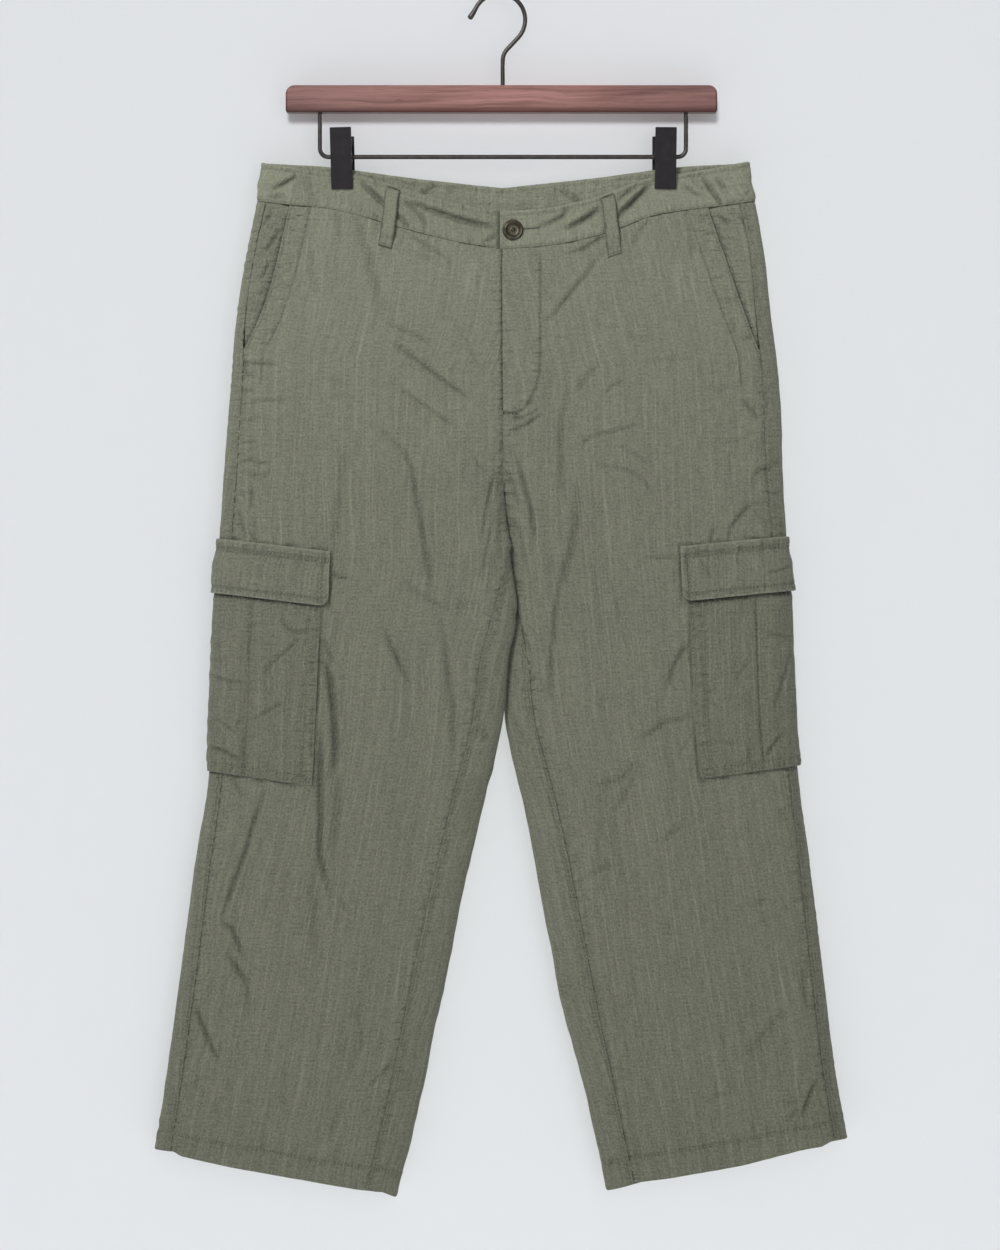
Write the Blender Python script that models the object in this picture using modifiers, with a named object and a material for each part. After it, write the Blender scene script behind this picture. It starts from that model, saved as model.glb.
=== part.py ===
"""Wide-leg cargo trousers clipped to a wooden hanger.

Metres, Z up. X runs to the wearer's left and Y to the back, so the front faces -Y. The origin
is the point inside the top of the hook that rests on whatever holds the hanger up.

The cloth is one surface, worked out from the tables below. A point on it is named by two
shares: `turn`, which goes round the body (0 centre front, 1 left side, 2 centre back, 3 right
side, 4 centre front again), and `down`, from 0 at the waist seam to 1 at the hem. Every panel,
pocket and loop is a wall between two layers of that surface.
"""

import math
from typing import NamedTuple

import bmesh
import bpy
import numpy as np
from mathutils import Matrix, Vector

COLLECTION = "cargo_trousers_on_hanger"

# Walls and gaps
CLOTH = 0.0016
BAND_WALL = 0.0026
BAND_PROUD = 0.0008
LOOP_WALL = 0.0018
POCKET_WALL = 0.0020
HEM_EXTRA = 0.0012
HEM_DEPTH = 0.018
GAP = 0.0003

# How the flat-hung body is rounded, as shares of the drop from waist seam to hem
RELAX = 0.20
SPLIT_START = 0.19
CROTCH = 0.308
LAP_FULL = 0.37
LAP_HOLD = 0.56
LAP_END = 0.66
LAP_WIDTH = 0.0015
LAP_LEAN = 0.0057
WAIST_ROUND = 0.010
PINCH_RISE_FRONT = 0.56
PINCH_RISE_BACK = 0.37
LEG_ROUND = 0.030
FLATNESS = 0.80

# A panel's columns: insets from a fold, shares of the strip wrapped past it, and how many in all
NEAR_FOLD = (0.0006, 0.0022, 0.0060, 0.0135, 0.0300)
NEAR_EDGE = (0.0, 0.0005, 0.0020, 0.0055, 0.0130, 0.0300)
NEAR_SEAM = ((0.0300, 0.0120), (0.0180, 0.0050))
WRAP_SHARES = (0.08, 0.38, 1.0)
WRAP_GROWN = 0.018
FRONT_COLUMNS = 14
BACK_COLUMNS = 22
PANEL_ROWS = 31
CROTCH_REACH = 0.04
CROTCH_CROWD = 0.9
HEM_STEP = 0.0015

# How far the surface is followed on each side of a point to find the way out of the cloth
TURN_STEP = 0.004
AROUND_STEP = 0.012
DOWN_STEP = 0.004
PAST_INNER_FOLD = 1.3

# Fly, hip pockets and waistband joins
SHIELD_TURNS = (-0.022, 0.150)
SHIELD_START = 0.003
SHIELD_END = 0.190
MOUTH_END = 0.158
MOUTH_UNDERLAP = 0.010
MOUTH_LIFT = 0.0022
FACING_END = 0.150
UNDERLAP_STEP = BAND_WALL + GAP
UNDERLAP_TURN = 0.135
STEP_TURNS = (-0.055, -0.006)
BAND_HEIGHT = 0.036
BAND_JOIN_RIGHT = 0.860
BAND_JOIN_LEFT = 0.800
BAND_JOIN_GAP = 0.0007
TOP_SIDE_RIGHT = -0.2135
TOP_SIDE_LEFT = 0.2239
CENTRE = 0.0025

# Cargo pockets and flaps
FLAP_CORNER = 0.009
FLAP_RISE_START = 0.20
FLAP_RISE_LENGTH = 0.35
FOLD_EASE = 0.0006
FOLD_EASE_REACH = 0.016
TURNING_INSETS = (0.0006, 0.0022, 0.0060, 0.0135, 0.0280)
FLAT_INSETS = (0.048, 0.070)

# Button and belt loops
BUTTON_RADIUS = 0.0093
BUTTON_TURN = 0.043
BUTTON_RISE = 0.48
BUTTON_STAND = 0.0010
LOOP_WIDTH = 0.0126

# Hanger
WIRE = 0.0020
HOOK_RADIUS = 0.0235
HOOK_FROM = -46.0
HOOK_FLARE_FROM = 155.0
HOOK_TIP = 175.0
HOOK_FLARE = 0.0026
HOOK_TIP_SWELL = (1.12, 1.28)
STEM_X = 0.0032
STEM_BEND_Z = -0.0560
STEM_BEND = ((0.0, -0.0020), (0.0005, 0.0022), (0.0024, 0.0062))
BAR_X = (-0.1919, 0.1960)
BAR_Z = (-0.1054, -0.0811)
BAR_THICK = 0.0120
BAR_UPPER_CORNER = 0.0078
BAR_LOWER_CORNER = 0.0022
BAR_EDGE = 0.0013
SOCKET_DEPTH = 0.0120
RAIL_X = (-0.1613, 0.1681)
RAIL_Z = -0.1450
RAIL_BEND = 0.0076
RAIL_BEND_STEPS = 6
JAW_WIDTH = 0.0192
JAW_WALL = 0.0014
JAW_EDGE = 0.0004
JAW_ABOVE = 0.0258
JAW_BACK_LOWER = 0.0055
JAW_BELOW = 0.0292
JAW_BITE = 0.0038
JAW_OPEN = 0.0105
EAR_WALL = 0.0012
EAR_HIGH = 0.0090
EAR_PAST = 0.0034
SPRING_HALF = 0.0054
SPRING_RADIUS = 0.0038
SPRING_GROOVE = 0.0006
SPRING_TURNS = 4


class LegRow(NamedTuple):
    """One section of a leg, seen from the front: its two folds, and the seams' place in from them."""

    side_x: float
    side_z: float
    inner_x: float
    inner_z: float
    side_seam: float
    inner_seam: float


class WaistRow(NamedTuple):
    """Heights and half depths of the waist at one share of the way from side to centre."""

    share: float
    right_top: float
    right_seam: float
    left_top: float
    left_seam: float
    back_top: float
    back_seam: float
    top_depth: float
    seam_depth: float


class DepthRow(NamedTuple):
    """Half depth of the front and the back at one share of the drop."""

    down: float
    front: float
    back: float


class Fold(NamedTuple):
    """A soft ridge (height above 0) or trough of the cloth, along a line seen from the front."""

    x0: float
    z0: float
    x1: float
    z1: float
    width: float
    height: float


class Mouth(NamedTuple):
    """Slanted hip pocket mouth: its distance in from the side at the top and at the end."""

    top: float
    end: float
    bend: float


RIGHT_ROWS = (
    LegRow(-0.2180, -0.1855, 0.0025, -0.2300, 0.0086, 0.0),
    LegRow(-0.2270, -0.2305, 0.0025, -0.2647, 0.0077, 0.0),
    LegRow(-0.2360, -0.2863, 0.0028, -0.3142, 0.0086, 0.0),
    LegRow(-0.2414, -0.3502, 0.0032, -0.3655, 0.0108, 0.0),
    LegRow(-0.2468, -0.4132, 0.0040, -0.4120, 0.0126, 0.0),
    LegRow(-0.2499, -0.4564, 0.0050, -0.4500, 0.0126, 0.0),
    LegRow(-0.2522, -0.4942, 0.0084, -0.4942, 0.0126, 0.0),
    LegRow(-0.2544, -0.5482, 0.0142, -0.5500, 0.0126, 0.0198),
    LegRow(-0.2571, -0.6022, 0.0070, -0.6020, 0.0126, 0.0261),
    LegRow(-0.2594, -0.6562, 0.0020, -0.6530, 0.0126, 0.0279),
    LegRow(-0.2616, -0.7012, -0.0105, -0.7102, 0.0126, 0.0288),
    LegRow(-0.2760, -0.7957, -0.0335, -0.8137, 0.0148, 0.0297),
    LegRow(-0.2882, -0.8902, -0.0542, -0.9127, 0.0148, 0.0297),
    LegRow(-0.2990, -0.9667, -0.0717, -0.9973, 0.0148, 0.0288),
    LegRow(-0.3098, -1.0378, -0.0929, -1.0810, 0.0153, 0.0270),
)
LEFT_ROWS = (
    LegRow(0.2302, -0.1855, 0.0025, -0.2300, 0.0144, 0.0),
    LegRow(0.2374, -0.2242, 0.0025, -0.2647, 0.0135, 0.0),
    LegRow(0.2446, -0.2863, 0.0028, -0.3142, 0.0144, 0.0),
    LegRow(0.2518, -0.3502, 0.0032, -0.3655, 0.0158, 0.0),
    LegRow(0.2550, -0.4132, 0.0040, -0.4120, 0.0162, 0.0),
    LegRow(0.2570, -0.4564, 0.0050, -0.4500, 0.0153, 0.0),
    LegRow(0.2586, -0.4942, 0.0084, -0.4942, 0.0135, 0.0),
    LegRow(0.2608, -0.5482, 0.0142, -0.5500, 0.0117, 0.0030),
    LegRow(0.2626, -0.6022, 0.0070, -0.6020, 0.0108, 0.0207),
    LegRow(0.2653, -0.6562, 0.0065, -0.6530, 0.0099, 0.0270),
    LegRow(0.2694, -0.7012, 0.0178, -0.7102, 0.0090, 0.0297),
    LegRow(0.2815, -0.7957, 0.0376, -0.8119, 0.0103, 0.0315),
    LegRow(0.2927, -0.8902, 0.0570, -0.9082, 0.0112, 0.0306),
    LegRow(0.3029, -0.9667, 0.0781, -0.9919, 0.0117, 0.0270),
    LegRow(0.3130, -1.0279, 0.0970, -1.0747, 0.0117, 0.0243),
)
WAIST_ROWS = (
    WaistRow(0.00, -0.1504, -0.1855, -0.1495, -0.1855, -0.1500, -0.1855, 0.0052, 0.0070),
    WaistRow(0.13, -0.1549, -0.1891, -0.1549, -0.1900, -0.1515, -0.1868, 0.0050, 0.0082),
    WaistRow(0.29, -0.1585, -0.1925, -0.1606, -0.1945, -0.1540, -0.1892, 0.0024, 0.0092),
    WaistRow(0.39, -0.1610, -0.1972, -0.1634, -0.1985, -0.1567, -0.1918, 0.0026, 0.0106),
    WaistRow(0.60, -0.1751, -0.2111, -0.1806, -0.2160, -0.1621, -0.1972, 0.0095, 0.0140),
    WaistRow(0.80, -0.1873, -0.2224, -0.1918, -0.2260, -0.1666, -0.2017, 0.0130, 0.0160),
    WaistRow(1.00, -0.1956, -0.2300, -0.1956, -0.2300, -0.1711, -0.2062, 0.0140, 0.0168),
)
DEPTH_ROWS = (
    DepthRow(0.00, 0.0165, 0.0150),
    DepthRow(0.18, 0.0190, 0.0190),
    DepthRow(0.31, 0.0175, 0.0185),
    DepthRow(0.50, 0.0155, 0.0155),
    DepthRow(0.75, 0.0140, 0.0135),
    DepthRow(1.00, 0.0130, 0.0120),
)
FRONT_FOLDS = (
    Fold(-0.1400, -0.5200, -0.1330, -0.8500, 0.012, -0.0030),
    Fold(-0.1050, -0.5200, -0.1100, -0.7600, 0.018, 0.0022),
    Fold(-0.0620, -0.5600, -0.0900, -0.8800, 0.017, -0.0026),
    Fold(-0.1000, -0.2900, -0.0200, -0.3750, 0.012, -0.0024),
    Fold(-0.1150, -0.3200, -0.0450, -0.4050, 0.013, -0.0020),
    Fold(-0.2150, -0.7600, -0.2450, -0.9300, 0.014, -0.0024),
    Fold(0.0950, -0.2900, 0.0300, -0.3800, 0.012, -0.0022),
    Fold(0.0850, -0.5200, 0.1250, -0.8600, 0.020, -0.0030),
    Fold(0.1350, -0.5600, 0.1550, -0.9000, 0.015, 0.0022),
    Fold(0.1980, -0.7200, 0.2250, -0.9300, 0.014, -0.0022),
    Fold(0.0250, -0.4600, 0.0750, -0.5400, 0.012, -0.0020),
    Fold(-0.0200, -0.4600, -0.0650, -0.5300, 0.012, -0.0020),
)
BACK_FOLDS = (
    Fold(-0.1350, -0.5200, -0.1450, -0.8800, 0.018, -0.0030),
    Fold(-0.0800, -0.4700, -0.0950, -0.7800, 0.018, 0.0024),
    Fold(-0.0250, -0.4350, -0.1250, -0.4900, 0.014, -0.0034),
    Fold(-0.2000, -0.7400, -0.2300, -0.9500, 0.015, -0.0024),
    Fold(0.0350, -0.4350, 0.1300, -0.4950, 0.014, -0.0034),
    Fold(0.1300, -0.5200, 0.1500, -0.8700, 0.018, -0.0030),
    Fold(0.0850, -0.5000, 0.1050, -0.8000, 0.018, 0.0022),
    Fold(0.2100, -0.7400, 0.2300, -0.9300, 0.015, -0.0024),
)


def smooth_curve(knots, values, at):
    """Smooth curve through the knots, read at the places `at`."""
    knots = np.asarray(knots, float)
    values = np.asarray(values, float)
    slopes = np.gradient(values, knots)
    i = np.clip(np.searchsorted(knots, at, side="right") - 1, 0, len(knots) - 2)
    step = knots[i + 1] - knots[i]
    t = (at - knots[i]) / step
    start = values[i] * (1 + 2 * t) + slopes[i] * step * t
    end = values[i + 1] * (3 - 2 * t) + slopes[i + 1] * step * (t - 1)
    return start * (1 - t) ** 2 + end * t**2


def ease(t):
    """0 below 0, 1 above 1, smooth between."""
    t = np.clip(t, 0.0, 1.0)
    return t * t * (3 - 2 * t)


def quarter_round(t):
    """Rises from 0 to 1 like a quarter circle as t goes from 0 to 1."""
    return np.sqrt(1 - (1 - np.clip(t, 0.0, 1.0)) ** 2)


def fold_heights(folds, x, z):
    """Height of all the folds together at points seen from the front."""
    total = np.zeros_like(x)
    for fold in folds:
        along_x, along_z = fold.x1 - fold.x0, fold.z1 - fold.z0
        length2 = along_x**2 + along_z**2
        t = ((x - fold.x0) * along_x + (z - fold.z0) * along_z) / length2
        nearest = np.clip(t, 0.0, 1.0)
        away2 = (x - fold.x0 - nearest * along_x) ** 2 + (z - fold.z0 - nearest * along_z) ** 2
        taper = 1 - (2 * nearest - 1) ** 4
        total += fold.height * taper * np.exp(-away2 / fold.width**2)
    return total


class Half:
    """One side of the trousers: sign -1 for the wearer's right, +1 for the left."""

    def __init__(self, name, sign, rows, mouth, top_side, band_join):
        self.name = name
        self.sign = sign
        self.mouth = mouth
        self.top_side = top_side
        self.band_join = band_join
        self.length = rows[0].side_z - rows[-1].side_z
        self.downs = [(rows[0].side_z - row.side_z) / self.length for row in rows]
        self.columns = {field: [getattr(row, field) for row in rows] for field in LegRow._fields}

    def column(self, field, down):
        return smooth_curve(self.downs, self.columns[field], down)

    def width(self, down):
        return np.abs(self.column("inner_x", down) - self.column("side_x", down))

    def waist(self, field, share):
        values = [getattr(row, field) for row in WAIST_ROWS]
        return smooth_curve([row.share for row in WAIST_ROWS], values, share)

    def waist_height(self, edge, face, share):
        """Height of the band's top or seam: the back's own line, or this side's front line."""
        front = self.waist(f"{self.name}_{edge}", share)
        back = self.waist(f"back_{edge}", share)
        return np.where(face > 0, back, front)

    def lap(self, down):
        """How fully one leg laps the other below the crotch, before they part."""
        begun = ease((down - CROTCH) / (LAP_FULL - CROTCH))
        return begun * (1 - ease((down - LAP_HOLD) / (LAP_END - LAP_HOLD)))

    def skin(self, around, down):
        """Point on the outside of the cloth.

        `around` is 0 at the side fold, -1 at the inner edge across the front and 1 at the
        inner edge across the back; past 1 it comes back on the other face.
        """
        around, down = np.broadcast_arrays(np.asarray(around, float), np.asarray(down, float))
        share = 1 - np.abs(1 - np.abs(around))
        face = np.where(around < 0, -1.0, 1.0) * np.where(np.abs(around) > 1, -1.0, 1.0)
        lap = self.lap(down)
        side_x = self.column("side_x", down)
        inner_x = self.column("inner_x", down) - self.sign * LAP_WIDTH * lap**2
        side_z = self.column("side_z", down)
        inner_z = self.column("inner_z", down)
        x = side_x + (inner_x - side_x) * share
        z = side_z + (inner_z - side_z) * share
        straight = self.waist("back_seam", 0.0) * (1 - share) + self.waist("right_seam", 1.0) * share
        z += (self.waist_height("seam", face, share) - straight) * (1 - ease(down / CROTCH))

        split = 1 - np.sqrt(1 - np.clip((down - SPLIT_START) / (CROTCH - SPLIT_START), 0, 1) ** 2)
        relax = ease(down / RELAX)
        width = np.abs(inner_x - side_x)
        rounding = WAIST_ROUND + (LEG_ROUND - WAIST_ROUND) * relax
        side_round = quarter_round(share * width / rounding)
        inner_round = 1 - split + split * quarter_round((1 - share) * width / rounding)
        swell = (1 - split) * np.sin(math.pi / 2 * share) + split * np.sin(math.pi * share)
        downs = [row.down for row in DEPTH_ROWS]
        front = smooth_curve(downs, [row.front for row in DEPTH_ROWS], down)
        back = smooth_curve(downs, [row.back for row in DEPTH_ROWS], down)
        body = np.where(face < 0, front, back) * (FLATNESS + (1 - FLATNESS) * swell) * inner_round
        waist = self.waist("seam_depth", share)
        depth = (waist + (body - waist) * relax) * side_round
        folds = np.where(face < 0, fold_heights(FRONT_FOLDS, x, z), fold_heights(BACK_FOLDS, x, z))
        depth += folds * side_round * inner_round
        y = face * depth + self.sign * LAP_LEAN * lap * share**2
        return np.stack([x, y, z], axis=-1)

    def band(self, around, rise):
        """Point on the waistband, rise 0 at the waist seam and 1 at the top edge."""
        around, rise = np.broadcast_arrays(np.asarray(around, float), np.asarray(rise, float))
        share = np.abs(around)
        face = np.where(around < 0, -1.0, 1.0)
        seam = self.skin(around, np.zeros_like(rise))
        top_x = self.top_side + (CENTRE - self.top_side) * share
        top_z = self.waist_height("top", face, share)
        rounding = quarter_round(share * abs(CENTRE - self.top_side) / WAIST_ROUND)
        top_y = face * self.waist("top_depth", share) * rounding
        top = np.stack([top_x, top_y, top_z], axis=-1)
        point = seam + (top - seam) * rise[..., None]
        pinched = ease(rise / np.where(face < 0, PINCH_RISE_FRONT, PINCH_RISE_BACK))
        point[..., 1] = seam[..., 1] + (top_y - seam[..., 1]) * pinched
        return point

    def mouth_inset(self, down):
        """Distance of the hip pocket's mouth in from the side fold."""
        t = np.clip(down / MOUTH_END, 0, 1)
        return self.mouth.top - (self.mouth.top - self.mouth.end) * t**self.mouth.bend


RIGHT = Half("right", -1, RIGHT_ROWS, Mouth(0.0297, 0.0086, 3.5), TOP_SIDE_RIGHT, BAND_JOIN_RIGHT)
LEFT = Half("left", 1, LEFT_ROWS, Mouth(0.0423, 0.0158, 1.3), TOP_SIDE_LEFT, BAND_JOIN_LEFT)
HALVES = (RIGHT, LEFT)


def on_turn(turn, share_down, surface):
    """Point at a turn round the body, from the half that the turn falls in."""
    turn = np.asarray(turn, float)
    left_around = np.where(turn <= 1, -(1 - turn), turn - 1)
    right_around = np.where(turn < 0, -(1 + turn), 3 - turn)
    on_left = (turn >= 0) & (turn <= 2)
    left = surface(LEFT, np.clip(left_around, -1, 1), share_down)
    right = surface(RIGHT, np.clip(right_around, -1, 1), share_down)
    return np.where(on_left[..., None], left, right)


def body_at(turn, down):
    return on_turn(turn, down, Half.skin)


def band_at(turn, rise):
    return on_turn(turn, rise, Half.band)


def unit(vectors):
    return vectors / np.linalg.norm(vectors, axis=-1, keepdims=True)


def body_layer(turn, down, lift):
    """Points of the body's surface at a turn, moved out by `lift`."""
    across = body_at(turn + TURN_STEP, down) - body_at(turn - TURN_STEP, down)
    along = body_at(turn, down - DOWN_STEP) - body_at(turn, down + DOWN_STEP)
    return body_at(turn, down) + unit(np.cross(across, along)) * np.asarray(lift)[..., None]


def band_layer(turn, rise, lift):
    """Points of the waistband's surface at a turn, moved out by `lift`."""
    across = band_at(turn + TURN_STEP, rise) - band_at(turn - TURN_STEP, rise)
    along = band_at(turn, rise + DOWN_STEP) - band_at(turn, rise - DOWN_STEP)
    return band_at(turn, rise) + unit(np.cross(across, along)) * np.asarray(lift)[..., None]


def leg_layer(half, around, down, lift):
    """Points of one half's surface, moved out by `lift`."""
    reach = np.where(down > CROTCH, PAST_INNER_FOLD, 1.0)
    ahead = half.skin(np.clip(around + AROUND_STEP, -reach, reach), down)
    behind = half.skin(np.clip(around - AROUND_STEP, -reach, reach), down)
    along = half.skin(around, down + DOWN_STEP) - half.skin(around, down - DOWN_STEP)
    outward = -half.sign * unit(np.cross(ahead - behind, along))
    return half.skin(around, down) + outward * np.asarray(lift)[..., None]


def shares(count):
    return np.linspace(0.0, 1.0, count + 1)


def crowded(low, high, count, places, reach, crowd, samples=400):
    """count + 1 values from low to high, closer together around the given places."""
    fine = np.linspace(low, high, samples)
    density = 1.0 + sum(crowd * np.exp(-(((fine - place) / reach) ** 2)) for place in places)
    run = np.concatenate([[0.0], np.cumsum((density[1:] + density[:-1]) / 2)])
    return np.interp(np.linspace(0.0, run[-1], count + 1), run, fine)


def make_material(name, color, roughness, metallic):
    material = bpy.data.materials.new(name)
    material.use_nodes = True
    shader = material.node_tree.nodes["Principled BSDF"]
    shader.inputs["Base Color"].default_value = (*color, 1.0)
    shader.inputs["Roughness"].default_value = roughness
    shader.inputs["Metallic"].default_value = metallic
    return material


def add_object(name, data, material, collection):
    data.materials.append(material)
    piece = bpy.data.objects.new(name, data)
    collection.objects.link(piece)
    return piece


def mesh_from(bm, name):
    mesh = bpy.data.meshes.new(name)
    bm.to_mesh(mesh)
    bm.free()
    return mesh


def wall(name, outer, inner, material, collection):
    """Closed sheet between two grids of points: two create_grid faces bridged round their rims."""
    rows, columns = outer.shape[0] - 1, outer.shape[1] - 1
    bm = bmesh.new()
    for layer in (outer, inner):
        grid = bmesh.ops.create_grid(bm, x_segments=columns, y_segments=rows, size=0.5)
        for vert in grid["verts"]:
            column = round((vert.co.x + 0.5) * columns)
            row = round((0.5 - vert.co.y) * rows)
            vert.co = Vector(layer[row, column])
    rims = [edge for edge in bm.edges if edge.is_boundary]
    bmesh.ops.bridge_loops(bm, edges=rims)
    bmesh.ops.recalc_face_normals(bm, faces=bm.faces)
    mesh = mesh_from(bm, name)
    mesh.shade_smooth()
    return add_object(name, mesh, material, collection)


def panel_downs(half, rows):
    """Shares of the drop for a panel's rows, with two rows close together at the hem's edge."""
    top = GAP / half.length
    hem = 1 - HEM_DEPTH / half.length
    main = crowded(top, hem, rows - 2, (CROTCH,), CROTCH_REACH, CROTCH_CROWD)
    return np.concatenate([main, [hem + HEM_STEP, 1.0]])


def filled(first, last, count):
    """The two runs of stations with the space between them shared evenly, count intervals in all."""
    between = count + 3 - len(first) - len(last)
    return np.concatenate([first[:-1], np.linspace(first[-1], last[0], between), last[1:]])


def back_insets(width, seam, wrap):
    """Columns of a back panel: round the side fold, across, and past the inner fold on a leg."""
    side = [-seam * share for share in reversed(WRAP_SHARES)] + [0.0, *NEAR_FOLD]
    at_edge = filled(side, [width - inset for inset in reversed(NEAR_EDGE)], BACK_COLUMNS)
    inner = [width - inset for inset in reversed(NEAR_FOLD)] + [width]
    inner += [width + wrap * share for share in WRAP_SHARES]
    on_leg = filled(side, inner, BACK_COLUMNS)
    grown = np.clip(wrap / WRAP_GROWN, 0, 1)
    return at_edge + (on_leg - at_edge) * grown


def front_insets(width, seam, wrap):
    """Columns of a front panel from its inner edge to its side seam or pocket mouth."""
    side = [max(inset, seam + away) for inset, away in NEAR_SEAM] + [seam]
    at_edge = filled([width - inset for inset in NEAR_EDGE], side, FRONT_COLUMNS)
    on_leg = filled([width - wrap], side, FRONT_COLUMNS)
    grown = np.clip(wrap / WRAP_GROWN, 0, 1)
    return -(at_edge + (on_leg - at_edge) * grown)


def panel_around(half, face, down):
    """Columns of one row of a panel, half a gap short of each seam."""
    width = float(half.width(down))
    seam = float(half.column("side_seam", down))
    wrap = max(0.0, float(half.column("inner_seam", down))) if down > CROTCH else 0.0
    if face > 0:
        return back_insets(width - GAP / 2, seam - GAP / 2, wrap) / width
    mouth = float(half.mouth_inset(down)) if down < MOUTH_END else 0.0
    return front_insets(width - GAP / 2, max(seam, mouth) + GAP / 2, wrap) / width


def mouth_lift(half, around, down):
    """How far the front panel stands out along the hip pocket's mouth."""
    away = (np.abs(around) * half.width(down) - half.mouth_inset(down)) / MOUTH_UNDERLAP
    opening = np.sin(math.pi * np.clip(down / MOUTH_END, 0, 1))
    return MOUTH_LIFT * opening * np.exp(-(away**2))


def panel(half, face, material, collection):
    """Front (face -1) or back (face 1) panel of one half, hem allowance doubled inside."""
    downs = panel_downs(half, PANEL_ROWS)
    around = np.array([panel_around(half, face, down) for down in downs])
    down = np.repeat(downs[:, None], around.shape[1], axis=1)
    lift = mouth_lift(half, around, down) if face < 0 else np.zeros_like(around)
    hem = down > 1 - HEM_DEPTH / half.length + HEM_STEP / 2
    outer = leg_layer(half, around, down, lift)
    inner = leg_layer(half, around, down, lift - CLOTH - HEM_EXTRA * hem)
    side = "front" if face < 0 else "back"
    return wall(f"{side}_panel_{half.name}", outer, inner, material, collection)


def hip_pocket_facing(half, material, collection):
    """Cloth inside the slanted mouth, level with the side seam and tucked under the front."""
    columns, rows = 5, 8
    down = np.linspace(GAP / half.length, FACING_END, rows + 1)[:, None]
    width = half.width(down)
    seam = half.column("side_seam", down) + 2 * GAP
    mouth = half.mouth_inset(down)
    inset = seam + (mouth + MOUTH_UNDERLAP - seam) * shares(columns)[None, :]
    tuck = np.clip(1 - (mouth - inset) / MOUTH_UNDERLAP, 0, 1)
    lift = -(CLOTH + 2 * GAP) * tuck
    around, down = np.broadcast_arrays(-inset / width, down)
    outer = leg_layer(half, around, down, lift)
    inner = leg_layer(half, around, down, lift - CLOTH)
    return wall(f"hip_pocket_facing_{half.name}", outer, inner, material, collection)


def fly_shield(material, collection):
    """Strip behind the closed fly, under both front panels."""
    columns, rows = 4, 8
    turn = np.linspace(*SHIELD_TURNS, columns + 1)[None, :]
    down = np.linspace(SHIELD_START, SHIELD_END, rows + 1)[:, None]
    turn, down = np.broadcast_arrays(turn, down)
    lift = np.full(turn.shape, -(CLOTH + 2 * GAP))
    outer = body_layer(turn, down, lift)
    inner = body_layer(turn, down, lift - CLOTH)
    return wall("fly_shield", outer, inner, material, collection)


def waistband_piece(name, turns, step_under, material, collection):
    """Length of waistband; step_under tucks the part past centre front behind the other piece."""
    rows = 4
    rise = np.linspace(GAP / BAND_HEIGHT, 1.0, rows + 1)[:, None]
    turn, rise = np.broadcast_arrays(turns[None, :], rise)
    tuck = ease((turn - STEP_TURNS[0]) / (STEP_TURNS[1] - STEP_TURNS[0])) if step_under else 0.0
    lift = np.full(turn.shape, BAND_PROUD) - UNDERLAP_STEP * tuck
    outer = band_layer(turn, rise, lift)
    inner = band_layer(turn, rise, lift - BAND_WALL)
    return wall(name, outer, inner, material, collection)


def waistbands(material, collection):
    """Two front pieces, the right one running on as the button's underlap, and the back."""
    gap = BAND_JOIN_GAP
    step_turn = sum(STEP_TURNS) / 2
    side_turns = (1.0, 3.0)
    right = crowded(-BAND_JOIN_RIGHT + gap, UNDERLAP_TURN, 20, (step_turn,), 0.03, 4.0)
    left = np.linspace(gap, BAND_JOIN_LEFT - gap, 15)
    back = crowded(BAND_JOIN_LEFT + gap, 4 - BAND_JOIN_RIGHT - gap, 36, side_turns, 0.05, 6.0)
    waistband_piece("waistband_front_right", right, True, material, collection)
    waistband_piece("waistband_front_left", left, False, material, collection)
    waistband_piece("waistband_back", back, False, material, collection)


class LoopStation(NamedTuple):
    """Place along a belt loop: a rise on the band, or a drop on the panel, and its stand-off."""

    rise: float
    drop: float
    stand_off: float


LOOP_STATIONS = (
    LoopStation(0.91, 0.0, BAND_PROUD + GAP),
    LoopStation(0.84, 0.0, BAND_PROUD + GAP),
    LoopStation(0.70, 0.0, 0.0030),
    LoopStation(0.45, 0.0, 0.0036),
    LoopStation(0.20, 0.0, 0.0036),
    LoopStation(0.0, 0.006, 0.0028),
    LoopStation(0.0, 0.016, GAP),
    LoopStation(0.0, 0.0235, GAP),
)


class LoopPlace(NamedTuple):
    """A belt loop's turn at its top, and how far its lower end leans on from there."""

    name: str
    turn: float
    lean: float


LOOP_PLACES = (
    LoopPlace("front_right", -0.448, -0.018),
    LoopPlace("front_left", 0.424, 0.012),
    LoopPlace("back_left", 1.480, 0.0),
    LoopPlace("back_centre", 2.026, 0.0),
    LoopPlace("back_right", 2.520, 0.0),
)


def belt_loop(place, material, collection):
    """Strip sewn near the band's top and below its seam, clear of the band between."""
    outer_rows, inner_rows = [], []
    half_turn = LOOP_WIDTH / 2 / LEFT.width(0.0)
    for number, station in enumerate(LOOP_STATIONS):
        middle = place.turn + place.lean * number / (len(LOOP_STATIONS) - 1)
        turns = middle + half_turn * np.array([-1.0, 0.0, 1.0])
        for rows, lift in ((outer_rows, station.stand_off + LOOP_WALL), (inner_rows, station.stand_off)):
            lifts = np.full(3, lift)
            if station.drop:
                rows.append(body_layer(turns, np.full(3, station.drop / LEFT.length), lifts))
            else:
                rows.append(band_layer(turns, np.full(3, station.rise), lifts))
    name = f"belt_loop_{place.name}"
    return wall(name, np.array(outer_rows), np.array(inner_rows), material, collection)


class Patch(NamedTuple):
    """Cargo pocket or flap on the leg's side: insets from the side fold, drops at the fold."""

    front: float
    back: float
    top: float
    bottom: float
    slope: float


class CargoSet(NamedTuple):
    half: Half
    pocket: Patch
    flap: Patch


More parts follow.
